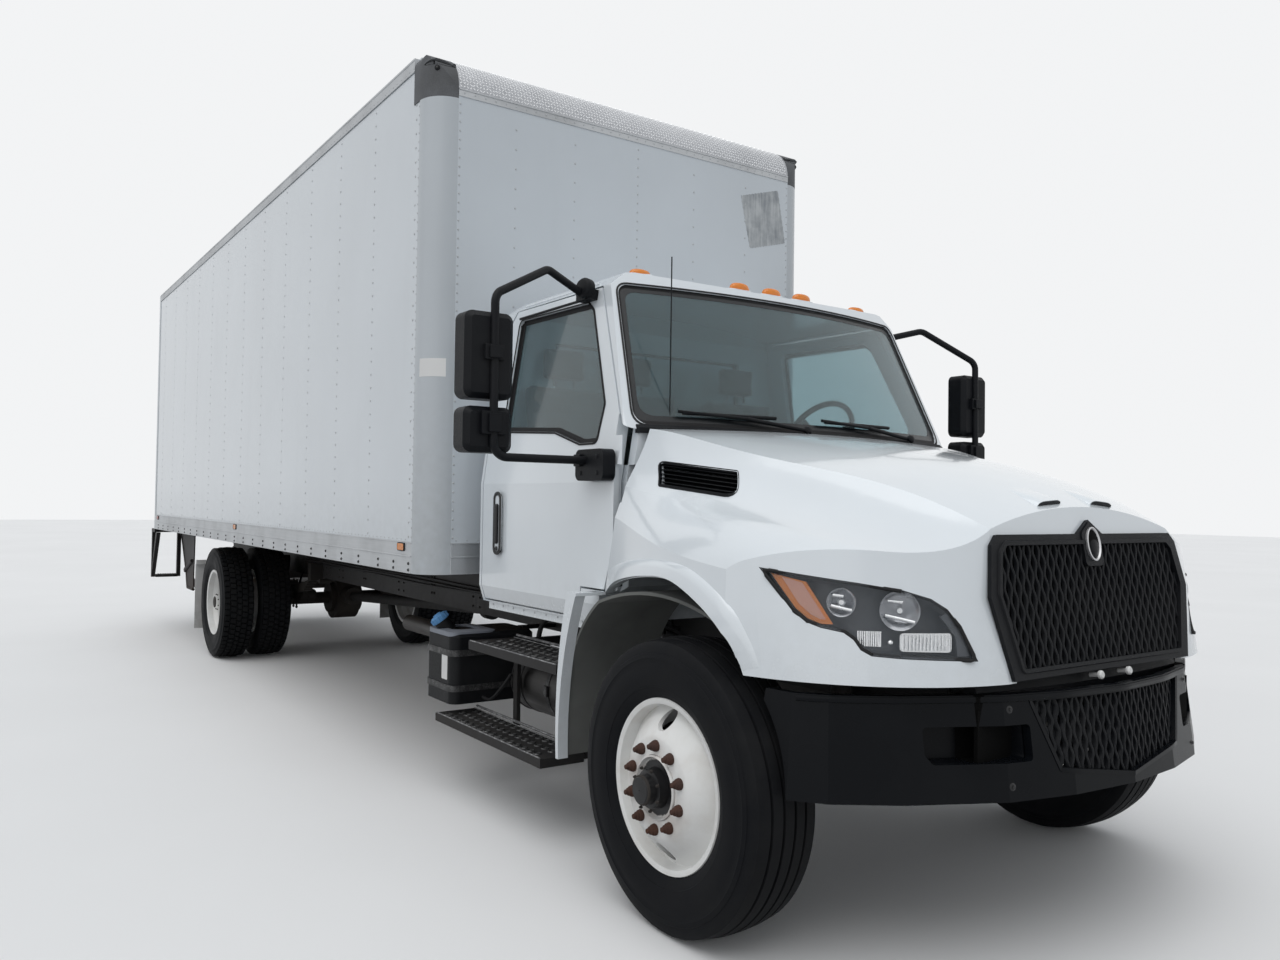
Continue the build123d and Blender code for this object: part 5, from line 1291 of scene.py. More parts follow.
def lamp_ribs(chrome, place, facing):
    """Fluted reflectors under the two bowls, with a bare bulb between them."""
    for index in range(11):
        h = -0.022 + index * 0.0068
        low = Vector((h, 1.058 + 0.004 * max(0, 3 - index)))
        add_tube(chrome, [place(low, -0.016), place((h, 1.104), -0.016)], 0.0032, 8, 0)
    pad = rounded([(0.105, 1.045), (0.262, 1.042), (0.262, 1.100), (0.105, 1.100)], 0.012, 3, 2)
    add_slab(chrome, pad, -0.026, -0.018, place)
    for index in range(14):
        h = 0.112 + index * 0.011
        add_tube(chrome, [place((h, 1.048), -0.016), place((h, 1.096), -0.016)], 0.0025, 6, 0)
    bulb = place((0.079, 1.072), -0.030)
    add_lathe(chrome, bulb, facing, [(0, 0.009), (0.010, 0.011), (0.017, 0.007), (0.020, 0.002)], 16)


def lamp_gasket(gasket, start, place, facing):
    """Rubber round the lamp; its depths are evened out, so that it runs smoothly over the gap to the hood."""
    outline = rounded(LAMP_OUTLINE, 0.010, 2, 3)
    depths = [place(p, 0.0).dot(facing) for p in outline]
    for _ in range(6):
        depths = [
            (a + 2 * b + c) / 4
            for a, b, c in zip(depths[-1:] + depths[:-1], depths, depths[1:] + depths[:1])
        ]
    section = ((0.006, -0.006), (0.006, 0.003), (0.0, 0.005), (-0.006, 0.003), (-0.006, -0.006))
    rows = []
    for p, way, depth in zip(outline, outward(outline), depths):
        row = []
        for off, height in section:
            ahead = start(p + way * off)
            row.append(ahead + facing * (depth + height - ahead.dot(facing)))
        rows.append(row)
    add_rows(gasket, rows, wrap=True)


def headlamp_pieces():
    """Clear lens, dark housing and lamp internals in place of the solid CAD lamps."""
    lens_skin, housing, chrome, bowls, dark, amber, pale, gasket = (bmesh.new() for _ in range(8))
    for side, _ in SIDES:
        facing = Vector((0.64, side * 0.77, 0)).normalized()
        run = Vector((0.77, -side * 0.64, 0)).normalized()
        origin = at(0.650, side * 0.900, 0)

        def start(point):
            return origin + run * point[0] + UP * point[1] + facing * 2

        place, skin_place = skin(["headlamps"], start, -facing), skin(["headlamps", "hood"], start, -facing)
        lamp_shell(lens_skin, side, facing, True)
        lamp_shell(housing, side, facing, False)
        add_slab(amber, AMBER, -0.022, -0.007, place)
        add_slab(pale, AMBER_PALE, -0.012, -0.0055, place)
        lamp_bowls(bowls, chrome, place, facing, run)
        lamp_ribs(chrome, place, facing)
        add_slab(dark, BEZEL, -0.014, -0.007, place)
        lamp_gasket(gasket, start, skin_place, facing)
    cover = new_piece("headlamp_lenses", lens_skin, "hood_body", "lamp_lens", smooth=40)
    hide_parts("headlamps")
    new_piece("headlamp_housings", housing, "hood_body", "lamp_housing")
    # this piece also carries the bright bars that are painted highlights on the bowls
    new_piece("headlamp_reflectors_and_glints", chrome, "hood_body", "lamp_silver", smooth=45)
    # bowls in chrome painted dark grey, a painted dark reflection
    new_piece("headlamp_bowls", bowls, "hood_body", "lamp_bowl", smooth=45)
    new_piece("headlamp_bezels", dark, "hood_body", "lamp_housing")
    new_piece("turn_lamps", amber, "hood_body", "amber_lens")
    new_piece("turn_lamp_middles", pale, "hood_body", "amber_pale")
    new_piece("headlamp_gaskets", gasket, "hood_body", "seal_rubber")


# Cab
ROOF_LAMPS = [
    (3.615, 0.700, 2.5065, 2.5420), (3.720, 0.200, 2.4888, 2.5300), (3.722, 0.0, 2.4882, 2.5300),
    (3.720, -0.200, 2.4888, 2.5300), (3.615, -0.700, 2.5065, 2.5420),
]
SCREEN = [(-0.955, 1.808), (0.955, 1.808), (0.872, 2.440), (-0.872, 2.440)]
WINDOW = [
    (-1.650, 1.830), (-1.130, 1.800), (-0.900, 1.738), (-0.765, 1.738), (-0.742, 1.900), (-0.948, 2.335),
    (-1.000, 2.375), (-1.650, 2.385),
]
FRIT = [(-0.918, 1.846), (0.918, 1.846), (0.842, 2.408), (-0.842, 2.408)]
DOOR_HALF = 1.044


def add_seal(bm, outline, section, frame_side, glass_side):
    """Rubber along an outline, whose outer corners lie on the frame and inner ones on the glass."""
    rows = []
    for p, way in zip(outline, outward(outline)):
        rows.append([
            (frame_side if off > 0 else glass_side)(p + way * off, height)
            for off, height in section
        ])
    add_rows(bm, rows, wrap=True)


def screen_seals():
    """Rubber round the windscreen and the rear window."""
    bm = bmesh.new()
    section = (
        (0.010, -0.003), (0.010, 0.003), (0.003, 0.005), (-0.002, 0.003), (-0.014, 0.0025), (-0.015, -0.002),
        (-0.002, -0.004),
    )
    outline = rounded(SCREEN, 0.055, 6, 14)
    add_seal(bm, outline, section, from_front("cab_shell", "cab_glass"), from_front("cab_glass"))
    rear = rectangle((-0.63, 1.89), (0.63, 2.32), 0.05, 5, 6)
    behind = from_back("cab_shell", "cab_glass")
    add_trim(bm, rear, [(0.016, -0.002), (0.016, 0.003), (-0.012, 0.003), (-0.012, -0.012)], behind)
    new_piece("screen_seals", bm, "chassis", "seal_rubber")


def screen_border():
    """Black printed border on the windscreen, just inside its rubber."""
    bm = bmesh.new()
    glass = from_front("cab_glass")
    outline = rounded(SCREEN, 0.055, 6, 14)
    outer = [q - way * 0.012 for q, way in zip(outline, outward(outline))]
    inner = rounded(FRIT, 0.06, 6, 14)
    loops = (outer, [p.lerp(q, 0.5) for p, q in zip(inner, outer)], inner)
    front, back = [(loop, 0.0012) for loop in loops], [(loop, 0.0006) for loop in loops[::-1]]
    rows = [[glass(loop[i], height) for loop, height in front + back] for i in range(len(outline))]
    add_rows(bm, rows, wrap=True)
    new_piece("screen_border", bm, "chassis", "frit")


def cowl_strip():
    """Black strip along the foot of the windscreen."""
    bm = bmesh.new()
    place = from_front("cab_shell", "cab_glass")
    section = (
        (-0.004, 0, 0.004), (0.006, 0, 0.006), (0.026, 0, -0.008), (0.027, 0, -0.030), (-0.004, 0, -0.030),
    )
    rows = []
    for index in range(41):
        base = place((-0.95 + 1.9 * index / 40, 1.800), 0.0)
        rows.append([base + Vector(step) for step in section])
    add_rows(bm, rows)
    new_piece("cowl_strip", bm, "chassis", "black_plastic")


def window_seal(side, word, body):
    """Rubber round a door's window and along the roof edge above it."""
    bm = bmesh.new()
    place = from_side(side, f"door_{word}", f"door_glass_{word}")
    section = (
        (0.009, -0.002), (0.009, 0.003), (0.002, 0.0055), (-0.002, 0.004), (-0.020, 0.003), (-0.021, -0.001),
        (-0.002, -0.002),
    )
    add_seal(bm, rounded(WINDOW, 0.030, 4, 8), section, place, from_side(side, f"door_glass_{word}"))
    upper = [place((x, 2.400), 0.0) for x in (-1.66, -1.3, -0.99)]
    for start, end in zip(upper, upper[1:]):
        add_tube(bm, [start, end], 0.007, 8, 0)
    new_piece(f"window_seal_{word}", bm, body, "seal_rubber")


def door_handle(side, word, body):
    """Upright pull handle in its recess, with a lock below it."""
    bm = bmesh.new()

    def flat(point, height):
        return at(point[0], side * (DOOR_HALF + height), point[1])

    slot = rectangle((-1.637, 1.230), (-1.573, 1.520), 0.031, 8, 6)
    lip = [(0.010, 0.0003), (0.008, 0.003), (-0.001, 0.006), (-0.009, 0.003), (-0.011, -0.010)]
    add_trim(bm, slot, lip, flat)
    add_slab(bm, slot, -0.012, -0.009, flat)
    bar = rectangle((-1.619, 1.275), (-1.591, 1.470), 0.013, 6, 4)
    around = list(zip(bar, outward(bar)))
    section = ((0, 0.0002), (0, 0.009), (0.004, 0.014), (0.009, 0.015))
    add_rows(bm, [[flat(p - way * inset, height) for p, way in around] for inset, height in section])
    add_rod(bm, flat((-1.605, 1.252), 0), flat((-1.605, 1.252), 0.005), 0.011, 16)
    new_piece(f"door_handle_{word}", bm, body, "black_gloss")


def mirror_glass(side, word, body):
    """Flat upper glass and smaller lower glass of a mirror, facing back."""
    bm = bmesh.new()
    for low, high in ((1.885, 2.230), (1.674, 1.855)):
        edge = rectangle((side * 1.425, low + 0.018), (side * 1.600, high - 0.018), 0.022, 4, 2)
        shrunk = [p - way * 0.003 for p, way in zip(edge, outward(edge))]
        add_rows(bm, [[at(-0.857, *p) for p in edge], [at(-0.8595, *p) for p in shrunk]])
    new_piece(f"mirror_glass_{word}", bm, body, "mirror_glass")


def mirror_fittings(side, word, body):
    """Brackets on the mirror heads, bolts and foot of the lower arm, and mount of the upper one."""
    bm = bmesh.new()
    y = side * 1.502
    for z, half, height in ((2.068, 0.043, 0.030), (1.790, 0.053, 0.046)):
        inner = height * 0.8
        add_box(bm, at(-0.752, y - half, z - height), at(-0.728, y + half, z + height))
        add_box(bm, at(-0.735, y - 0.027, z - inner), at(-0.716, y + 0.027, z + inner))
    for z in (1.605, 1.672):
        for x in (-0.755, -0.628):
            add_dome(bm, at(x, side * 1.090, z), side * ACROSS, 0.012, 0.004, 16)
    add_box(bm, at(-0.790, side * 1.040, 1.633), at(-0.740, side * 1.105, 1.683))
    mount = [(0, 0.030), (0.010, 0.046), (0.040, 0.046), (0.052, 0.036), (0.056, 0.012)]
    add_lathe(bm, at(-0.957, side * 0.935, 2.425), (0.25, side * 1.0, 0.1), mount, 24)
    new_piece(f"mirror_fittings_{word}", bm, body, "black_plastic", bevel=0.004)


def door_pieces():
    """Everything that rides on the two doors, seen from outside."""
    for side, word in SIDES:
        for build_piece in (window_seal, door_handle, mirror_glass, mirror_fittings):
            build_piece(side, word, f"door_{word}_body")


def roof_lamp_domes():
    """Low oval amber domes over the five roof lamps."""
    bm = bmesh.new()
    for x, y, low, high in ROOF_LAMPS:
        rows = []
        for rise, size in ((0, 1.0), (0.35, 0.985), (0.62, 0.92), (0.82, 0.78), (0.94, 0.55), (1.0, 0.25)):
            z = low + (high - low) * rise
            reach_x, reach_y = 0.0265 * size, 0.0585 * size
            rows.append([(x + reach_x * math.cos(a), y + reach_y * math.sin(a), z) for a in turns(36)])
        add_rows(bm, rows)
    piece = new_piece("roof_lamp_domes", bm, "chassis", "amber_lens", smooth=60)
    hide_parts("roof_lamps")


def aerial():
    """Thin rod on its foot at the right end of the cowl."""
    bm = bmesh.new()
    foot = [(0, 0.022), (0.012, 0.021), (0.022, 0.010), (0.050, 0.007), (0.052, 0.003)]
    add_lathe(bm, at(-0.556, -0.775, 1.785), (0.0, -0.1, 1), foot, 20)
    add_tube(bm, [at(-0.556, -0.779, 1.83), at(-0.557, -0.778, 2.17), at(-0.560, -0.776, 2.52)], 0.0028, 8, 4)
    new_piece("aerial", bm, "chassis", "black_plastic")


def sill_flanges():
    """Bolted flanges under the doors and upright strips on the cab's back."""
    bm, bolts = bmesh.new(), bmesh.new()
    for side, _ in SIDES:
        add_box(bm, at(-1.790, side * 0.972, 0.945), at(-0.715, side * 0.988, 0.985))
        add_box(bm, at(-1.790, side * 0.940, 0.941), at(-0.715, side * 0.988, 0.948))
        for index in range(10):
            add_dome(bolts, at(-1.74 + index * 0.107, side * 0.988, 0.966), side * ACROSS, 0.006, 0.003, 8)
        add_box(bm, at(-1.8205, side * 0.60, 1.10), at(-1.8255, side * 0.70, 1.86))
    new_piece("sill_flanges", bm, "chassis", "cab_white", bevel=0.002)
    new_piece("sill_bolts", bolts, "chassis", "aluminium")


def roof_lamp_seats():
    """Low oval collars under the roof lamps."""
    bm = bmesh.new()
    over = from_top("cab_shell")
    for y, x in ((-0.700, -0.905), (-0.200, -0.800), (0.0, -0.798), (0.200, -0.800), (0.700, -0.905)):
        half, long = 0.0265, 0.0325
        outline = rectangle((x - half, y - long - half), (x + half, y + long + half), half, 7, 2)
        add_trim(bm, outline, [(0.005, -0.003), (0.005, 0.003), (0.001, 0.005), (-0.001, 0.001)], over)
    new_piece("roof_lamp_seats", bm, "chassis", "cab_white")


def add_roof_strip(bm, stations, y, side, section):
    """Strip that runs back over the cab's roof."""
    over = from_top("cab_shell")
    spots = [over((x, y), 0.0) for x in stations]
    add_rows(bm, [[spot + Vector((0, side * dy, dz)) for dy, dz in section] for spot in spots])


def roof_strips():
    """Drip rails over the doors and two low ribs along the roof."""
    rails, ribs = bmesh.new(), bmesh.new()
    rail = ((-0.010, -0.003), (-0.006, 0.007), (0.004, 0.009), (0.008, 0.001), (0.004, -0.004))
    rib = ((-0.035, -0.002), (-0.022, 0.006), (0.022, 0.006), (0.035, -0.002))
    for side, _ in SIDES:
        add_roof_strip(rails, [-1.66 + 0.036 * index for index in range(20)], side * 0.868, side, rail)
        add_roof_strip(ribs, [-1.60 + 0.05 * index for index in range(14)], side * 0.36, 1, rib)
    new_piece("drip_rails", rails, "chassis", "cab_white", smooth=50)
    new_piece("roof_ribs", ribs, "chassis", "cab_white", smooth=50)


def wiper_caps():
    """Caps on the wipers' pivots."""
    bm = bmesh.new()
    place = from_front("wipers")
    cap = [(0, 0.020), (0.010, 0.020), (0.016, 0.014), (0.018, 0.004)]
    for y in (-0.120, 0.620):
        spot = place((y, 1.814), 0.0)
        add_lathe(bm, spot - AHEAD * 0.004, (0.9, 0, 0.42), cap, 18)
    new_piece("wiper_caps", bm, "chassis", "black_plastic")


# Load box
RIVET_RADIUS = 0.0075
RIVET_HEIGHT = 0.003
WALL_HALF = span("box_front_wall")[1].y
POST_RADIUS = BOX_HALF - WALL_HALF
RAIL_PITCH = 0.305
PANEL_WIDTH = 0.61
BEAD_Z = 1.193
BROW_HALF = 0.078
NOSE_FOOT = 3.6
PATCH = [(0.753, 3.405), (1.061, 3.495), (1.127, 3.166), (0.832, 3.087)]


def steps_between(start, end, pitch):
    """Evenly spaced numbers from start towards end."""
    way = 1 if end > start else -1
    return [start + way * pitch * index for index in range(int(abs(end - start) / pitch) + 1)]


def rivet_rows():
    """Rivet heads on the panels, beside the posts, along the rails and across the front."""
    bm, bolts = bmesh.new(), bmesh.new()
    skin_y = BOX_HALF - 0.004
    low, high = FLOOR_Z + 0.03, WALL_TOP - 0.03
    bend = BOX_FRONT - POST_RADIUS - 0.010
    for side, _ in SIDES:
        for x in steps_between(BOX_FRONT - 0.20, BOX_BACK + 0.1, PANEL_WIDTH):
            for z in steps_between(low, high, 0.075):
                add_dome(bm, (x, side * skin_y, z), (0, side, 0), RIVET_RADIUS, RIVET_HEIGHT, 6)
        for z in steps_between(low, CAP_LOW - 0.02, 0.0465):
            add_dome(bm, (bend, side * skin_y, z), (0, side, 0), 0.0065, RIVET_HEIGHT, 6)
            add_dome(bm, (BOX_FRONT, side * (WALL_HALF - 0.009), z), AHEAD, 0.0065, RIVET_HEIGHT, 6)
        for x in steps_between(BOX_FRONT - 0.24, BOX_BACK + 0.1, 0.060):
            add_dome(bm, (x, side * skin_y, FLOOR_Z + 0.015), (0, side, 0), 0.0045, 0.002, 6)
            add_dome(bm, (x, side * BOX_HALF, WALL_TOP + 0.018), (0, side, 0), 0.0045, 0.002, 6)
        pairs = [-2.105, -2.314, -2.544] + steps_between(-2.865, BOX_BACK + 0.1 - AXLE.x, RAIL_PITCH)
        for station in pairs:
            for z in (RAIL_LOW + 0.050, RAIL_LOW + 0.017):
                add_dome(bolts, at(station, side * BOX_HALF, z), (0, side, 0), 0.0095, 0.005, 8)
    for y in (-0.813, -0.447, 0.384, 0.790):
        for z in steps_between(1.36, 3.52, 0.105):
            add_dome(bm, (BOX_FRONT, y, z), AHEAD, 0.0065, RIVET_HEIGHT, 6)
    for z in steps_between(1.34, 3.53, 0.052):
        add_dome(bm, (BOX_FRONT, -0.025, z), AHEAD, 0.0065, RIVET_HEIGHT, 6)
    for y in steps_between(-WALL_HALF + 0.03, WALL_HALF, 0.060):
        add_dome(bm, (BOX_FRONT, y, FLOOR_Z + 0.016), AHEAD, 0.0045, 0.002, 6)
        add_dome(bm, (BOX_FRONT + 0.003, y, 3.582), AHEAD, 0.006, 0.003, 6)
    new_piece("panel_rivets", bm, "chassis", "rivet_white", 40)
    new_piece("rail_bolts", bolts, "chassis", "spring_steel")


def rail_beads():
    """Beads along the rails, the front sill plate with its own, and the strip under the nose rail."""
    bm = bmesh.new()
    side_beads = (
        (BEAD_Z, 0.005, 0.005), (RAIL_LOW + 0.003, 0.003, 0.004), (FLOOR_Z + 0.001, 0.004, 0.003),
        (WALL_TOP + 0.001, 0.004, 0.003), (BOX_TOP - 0.006, 0.006, 0.003),
    )
    for side, _ in SIDES:
        for z, half, proud in side_beads:
            section = (
                (-0.002, -half), (proud * 0.7, -half), (proud, -half * 0.4), (proud, half * 0.4),
                (proud * 0.7, half), (-0.002, half),
            )
            ends = (rail_low.x, rail_high.x - (0.08 if z > WALL_TOP else 0))
            add_rows(bm, [[(x, side * (BOX_HALF + dy), z + dz) for dy, dz in section] for x in ends])
    x = BOX_FRONT
    add_box(bm, (x - 0.001, -WALL_HALF, RAIL_LOW), (x + 0.003, WALL_HALF, FLOOR_Z + 0.002))
    for z, half, proud in ((BEAD_Z, 0.005, 0.008), (FLOOR_Z, 0.004, 0.006), (RAIL_LOW + 0.003, 0.003, 0.007)):
        add_box(bm, (x, -WALL_HALF, z - half), (x + proud, WALL_HALF, z + half))
    add_box(bm, (x - 0.001, -WALL_HALF, 3.563), (x + 0.0035, WALL_HALF, 3.601))
    add_box(bm, (x, -WALL_HALF, 3.5955), (x + 0.007, WALL_HALF, 3.6015))
    new_piece("rail_beads", bm, "chassis", "aluminium", bevel=0.001, segments=1)


def roof_seams():
    """Flat seams across the roof sheet, kept below the top of the CAD box."""
    bm = bmesh.new()
    roof = from_top("box_roof")
    for x in steps_between(BOX_FRONT - 0.62, BOX_BACK + 0.3, 2 * PANEL_WIDTH):
        rows = []
        for index in range(21):
            y = -1.262 + 2.524 * index / 20
            spot = roof((x - AXLE.x, y), 0.0)
            lift = min(0.0015, cad_bounds[1][2] - 0.0002 - spot.z)
            rows.append([
                spot + Vector((dx, 0, dz))
                for dx, dz in ((-0.020, -0.001), (-0.018, lift), (0.018, lift), (0.020, -0.001))
            ])
        add_rows(bm, rows)
    new_piece("roof_seams", bm, "chassis", "panel_white", smooth=50)


def cap_lamps():
    """Hooded lamp slots in the two corner caps."""
    brow, slot, lamp = bmesh.new(), bmesh.new(), bmesh.new()
    for side, _ in SIDES:
        facing = Vector((1, side, 0)).normalized()
        run = Vector((1, -side, 0)).normalized()
        middle = Vector((BOX_FRONT - POST_RADIUS, side * WALL_HALF, 0))

        def start(point):
            return middle + run * point[0] + UP * point[1] + facing * 2

        place = skin(["box_corner_caps"], start, -facing)
        rows = []
        for index in range(17):
            h = -BROW_HALF + 2 * BROW_HALF * index / 16
            bulge = max(0.0, 1 - (h / BROW_HALF) ** 2)
            top = 3.730 + 0.012 * bulge
            section = (
                (0.010, -0.003), (0.004, 0.006 * bulge), (-0.003, 0.014 * bulge), (-0.006, 0.012 * bulge),
                (-0.008, -0.002),
            )
            rows.append([place((h, top + dz), height) for dz, height in section])
        add_rows(brow, rows)
        outline = []
        for a in turns(40):
            rise = 0.012 if math.sin(a) > 0 else 0.007
            outline.append(Vector((0.074 * math.cos(a), 3.722 + rise * math.sin(a))))
        add_slab(slot, outline, -0.002, 0.0015, place)
        base = place((0.004, 3.696), 0.0)
        add_lathe(slot, base, facing, [(-0.004, 0.015), (0.003, 0.014), (0.005, 0.010)], 16)
        add_lathe(lamp, base + facing * 0.004, facing, [(0, 0.0075), (0.003, 0.0065), (0.005, 0.003)], 14)
    new_piece("cap_brows", brow, "chassis", "cast_grey", smooth=50)
    new_piece("cap_slots", slot, "chassis", "black_plastic")
    new_piece("cap_lamps", lamp, "chassis", "black_gloss")


def nose_treads():
    """Raised lugs of the tread plate on the nose rail, lying both ways in turn, in a brighter metal than the
    plate as a painted highlight.
    """
    bm = bmesh.new()
    radius = BOX_TOP - NOSE_FOOT
    ring = (
        (-0.0100, 0.0), (-0.004, 0.0030), (0.004, 0.0030), (0.0100, 0.0), (0.004, -0.0030), (-0.004, -0.0030),
    )
    across = steps_between(-WALL_HALF + 0.012, WALL_HALF - 0.010, 0.0185)
    for column, y in enumerate(across):
        for row in range(16):
            angle = math.radians(5 + row * 5.16)
            out = Vector((math.cos(angle), 0, math.sin(angle)))
            rise = Vector((-math.sin(angle), 0, math.cos(angle)))
            spot = Vector((BOX_FRONT - radius, y, NOSE_FOOT)) + out * radius
            turn = 1 if (column + row) % 2 else -1
            run = (rise + turn * ACROSS).normalized()
            wide = out.cross(run)
            low = [spot + run * a + wide * b - out * 0.0012 for a, b in ring]
            high = [spot + run * a * 0.8 + wide * b * 0.6 + out * 0.0012 for a, b in ring]
            add_rows(bm, [low, high])
    new_piece("nose_treads", bm, "chassis", "tread_bright")


def side_reflectors():
    """Framed amber and red reflectors along the side rails."""
    amber, red, frames = bmesh.new(), bmesh.new(), bmesh.new()
    border = [(0.003, -0.001), (0.003, 0.005), (-0.001, 0.008), (-0.002, 0.005)]
    for side, _ in SIDES:
        place = from_side(side, "box_side_rails")
        for station, target in ((-2.205, amber), (-5.90, amber), (-9.60, red)):
            outline = rectangle((station - 0.045, 1.219), (station + 0.045, 1.257), 0.008, 3, 2)
            add_slab(target, outline, -0.001, 0.007, place)
            add_trim(frames, outline, border, place)
    new_piece("side_reflectors", amber, "chassis", "amber_lens", bevel=0.0015, segments=1)
    new_piece("rear_side_reflectors", red, "chassis", "red_lens", bevel=0.0015, segments=1)
    new_piece("reflector_frames", frames, "chassis", "black_plastic")


def wall_patch():
    """Ragged residue of a torn-off patch on the box's front wall."""
    bm = bmesh.new()
    outline = []
    for index, point in enumerate(rounded(PATCH, 0.012, 3, 24)):
        outline.append(point + Vector((math.sin(index * 2.3), math.cos(index * 3.1))) * 0.0022)
    add_rows(bm, [[(BOX_FRONT + height, *p) for p in outline] for height in (-0.0005, 0.0008)])
    new_piece("wall_patch", bm, "chassis", "patch_grey")


def post_label():
    """Blank label bent round the right-hand post."""
    bm = bmesh.new()
    rows = []
    for radius in (POST_RADIUS - 0.001, POST_RADIUS + 0.0006):
        row = []
        for z, angles in ((2.112, range(16, 75, 4)), (2.205, range(72, 15, -4))):
            for angle in angles:
                a = math.radians(angle)
                x, y = BOX_FRONT - POST_RADIUS + radius * math.cos(a), -WALL_HALF - radius * math.sin(a)
                row.append((x, y, z))
        rows.append(row)
    add_rows(bm, rows)
    new_piece("post_label", bm, "chassis", "label_white", smooth=50)


# Chassis, steps and tanks
TREAD_PITCH = 0.062
STEP_TREADS = ((0.795, -1.720, -0.860, 0.880, 1.130), (0.385, -2.060, -0.950, 0.930, 1.150))


def step_pieces():
    """Raised rims on the step treads, with strips along their edges and small studs on the outer one."""
    rims, strips = bmesh.new(), bmesh.new()
    rim = [(0.0, 0.0205), (0.005, 0.0170), (0.0045, 0.0150), (0.0, 0.0142)]
    for side, _ in SIDES:
        for z, back, front, y_in, y_out in STEP_TREADS:
            count = int((front - back - 0.080) / TREAD_PITCH)
            for column in range(count):
                for row in (-1, 0, 1):
                    x = (back + front) / 2 + (column - (count - 1) / 2) * TREAD_PITCH
                    spot = at(x, side * ((y_in + y_out) / 2 + row * 0.074), z)
                    add_lathe(rims, spot, UP, rim, 12, ends=False)
            for start, y, rise, radius in (
                (0.01, y_in + 0.004, 0.002, 0.0035), (0.01, y_out - 0.004, 0.002, 0.0035),
                (0.02, y_in - 0.006, 0.014, 0.007),
            ):
                ends = [at(x, side * y, z + rise) for x in (back + start, front - 0.01)]
                add_tube(strips, ends, radius, 8, 0)
            for index in range(int((front - back) / (TREAD_PITCH / 2))):
                x = back + 0.02 + index * TREAD_PITCH / 2
                add_dome(strips, at(x, side * (y_out - 0.008), z), UP, 0.0045, 0.004, 6)
    new_piece("step_rims", rims, "chassis", "worn_black", smooth=50)
    new_piece("step_edges", strips, "chassis", "worn_edge", smooth=50)


TANK_CORNERS = ((-2.262, -1.118), (-1.945, -0.86))
AIR_TANK_Y, AIR_TANK_Z = -0.690, 0.570


def fluid_cap():
    """Blue fluted cap on the leaning neck of the fluid tank."""
    bm = bmesh.new()
    axis = Vector((-0.020, -0.040, 0.060)).normalized()
    neck = at(-2.150, -1.090, 0.850)
    profile = [
        (-0.006, 0.044), (0.0, 0.047), (0.022, 0.046), (0.030, 0.040), (0.033, 0.024), (0.038, 0.022),
        (0.040, 0.010),
    ]
    add_lathe(bm, neck, axis, profile, 30)
    first = axis.orthogonal().normalized()
    second = axis.cross(first)
    for a in turns(14):
        spot = neck + 0.047 * (first * math.cos(a) + second * math.sin(a))
        add_rod(bm, spot - axis * 0.002, spot + axis * 0.024, 0.0035, 6)
    new_piece("fluid_cap", bm, "chassis", "cap_blue")


def fluid_tank_collar():
    """Grey collar round the top of the fluid tank."""
    bm = bmesh.new()
    top = 0.802
    outline = rectangle(*TANK_CORNERS, 0.045, 5, 4)
    hole = rectangle((-2.215, -1.075), (-2.010, -0.92), 0.05, 5, 4)
    rows = []
    for p, q in zip(outline, hole):
        rows.append([at(*p, top - 0.03), at(*p, top + 0.004), at(*q, top + 0.010), at(*q, top - 0.004)])
    add_rows(bm, rows, wrap=True)
    new_piece("fluid_tank_collar", bm, "chassis", "collar_grey", smooth=45)


def tank_bands():
    """Bands round the fluid tank, and bands, straps and end rings of the air tanks."""
    bm = bmesh.new()
    band = rectangle((-2.2705, -1.1205), (-1.9295, -0.70), 0.048, 5, 3)
    section = [(-0.003, -0.016), (0.003, -0.016), (0.003, 0.016), (-0.003, 0.016)]
    for z in (0.52, 0.70):
        add_trim(bm, band, section, lambda p, height: at(*p, z + height))
    hoop = [(0, 0.1655), (0, 0.1685), (0.032, 0.1685), (0.032, 0.1655)]
    for station in (-1.70, -1.42, -1.24, -1.02):
        add_lathe(bm, at(station - 0.016, AIR_TANK_Y, AIR_TANK_Z), AHEAD, hoop, 48, ends=False)
        add_box(bm, at(station - 0.016, -0.868, 0.545), at(station + 0.016, -0.852, 0.595))
    ring = [(-0.004, 0.02), (-0.004, 0.150), (0.0, 0.170), (0.008, 0.170), (0.008, 0.02)]
    for station in (-1.785, -0.958):
        add_lathe(bm, at(station, AIR_TANK_Y, AIR_TANK_Z), AHEAD, ring, 48)
    new_piece("tank_bands", bm, "chassis", "worn_black")


def fuel_tank_bands():
    """Straps and filler cap of the fuel tank, and clamps of the exhaust."""
    bm = bmesh.new()
    strap = rectangle((0.497, 0.397), (0.873, 0.743), 0.072, 6, 3)
    section = [(-0.002, -0.022), (0.003, -0.022), (0.003, 0.022), (-0.002, 0.022)]
    for station in (-1.72, -1.33, -1.04):
        add_trim(bm, strap, section, lambda p, height: at(station + height, *p))
    clamp = [(0, 0.117), (0, 0.122), (0.036, 0.122), (0.036, 0.117)]
    for station in (-3.31, -2.95, -2.66, -2.30):
        add_lathe(bm, at(station - 0.018, 0.590, 0.660), AHEAD, clamp, 40, ends=False)
    filler = [(-0.004, 0.046), (0.018, 0.046), (0.024, 0.040), (0.024, 0.010)]
    add_lathe(bm, at(-1.300, 0.905, 0.705), (0, 0.7, 0.7), filler, 28)
    new_piece("fuel_tank_bands", bm, "chassis", "spring_steel")


def tank_label():
    """Blank label on the fluid tank."""
    bm = bmesh.new()
    outline = rectangle((-2.060, 0.560), (-1.990, 0.700), 0.006, 3, 2)
    add_rows(bm, [[at(p.x, -1.1200 - height, p.y) for p in outline] for height in (-0.0005, 0.0008)])
    new_piece("tank_label", bm, "chassis", "label_white")


REAR_STATION = -7.060
RAIL_FACE = 0.432


def add_hose(bm, stops, radius, sides, steps=6):
    """Hose through places given by their stations."""
    add_tube(bm, [at(*stop) for stop in stops], radius, sides, steps)


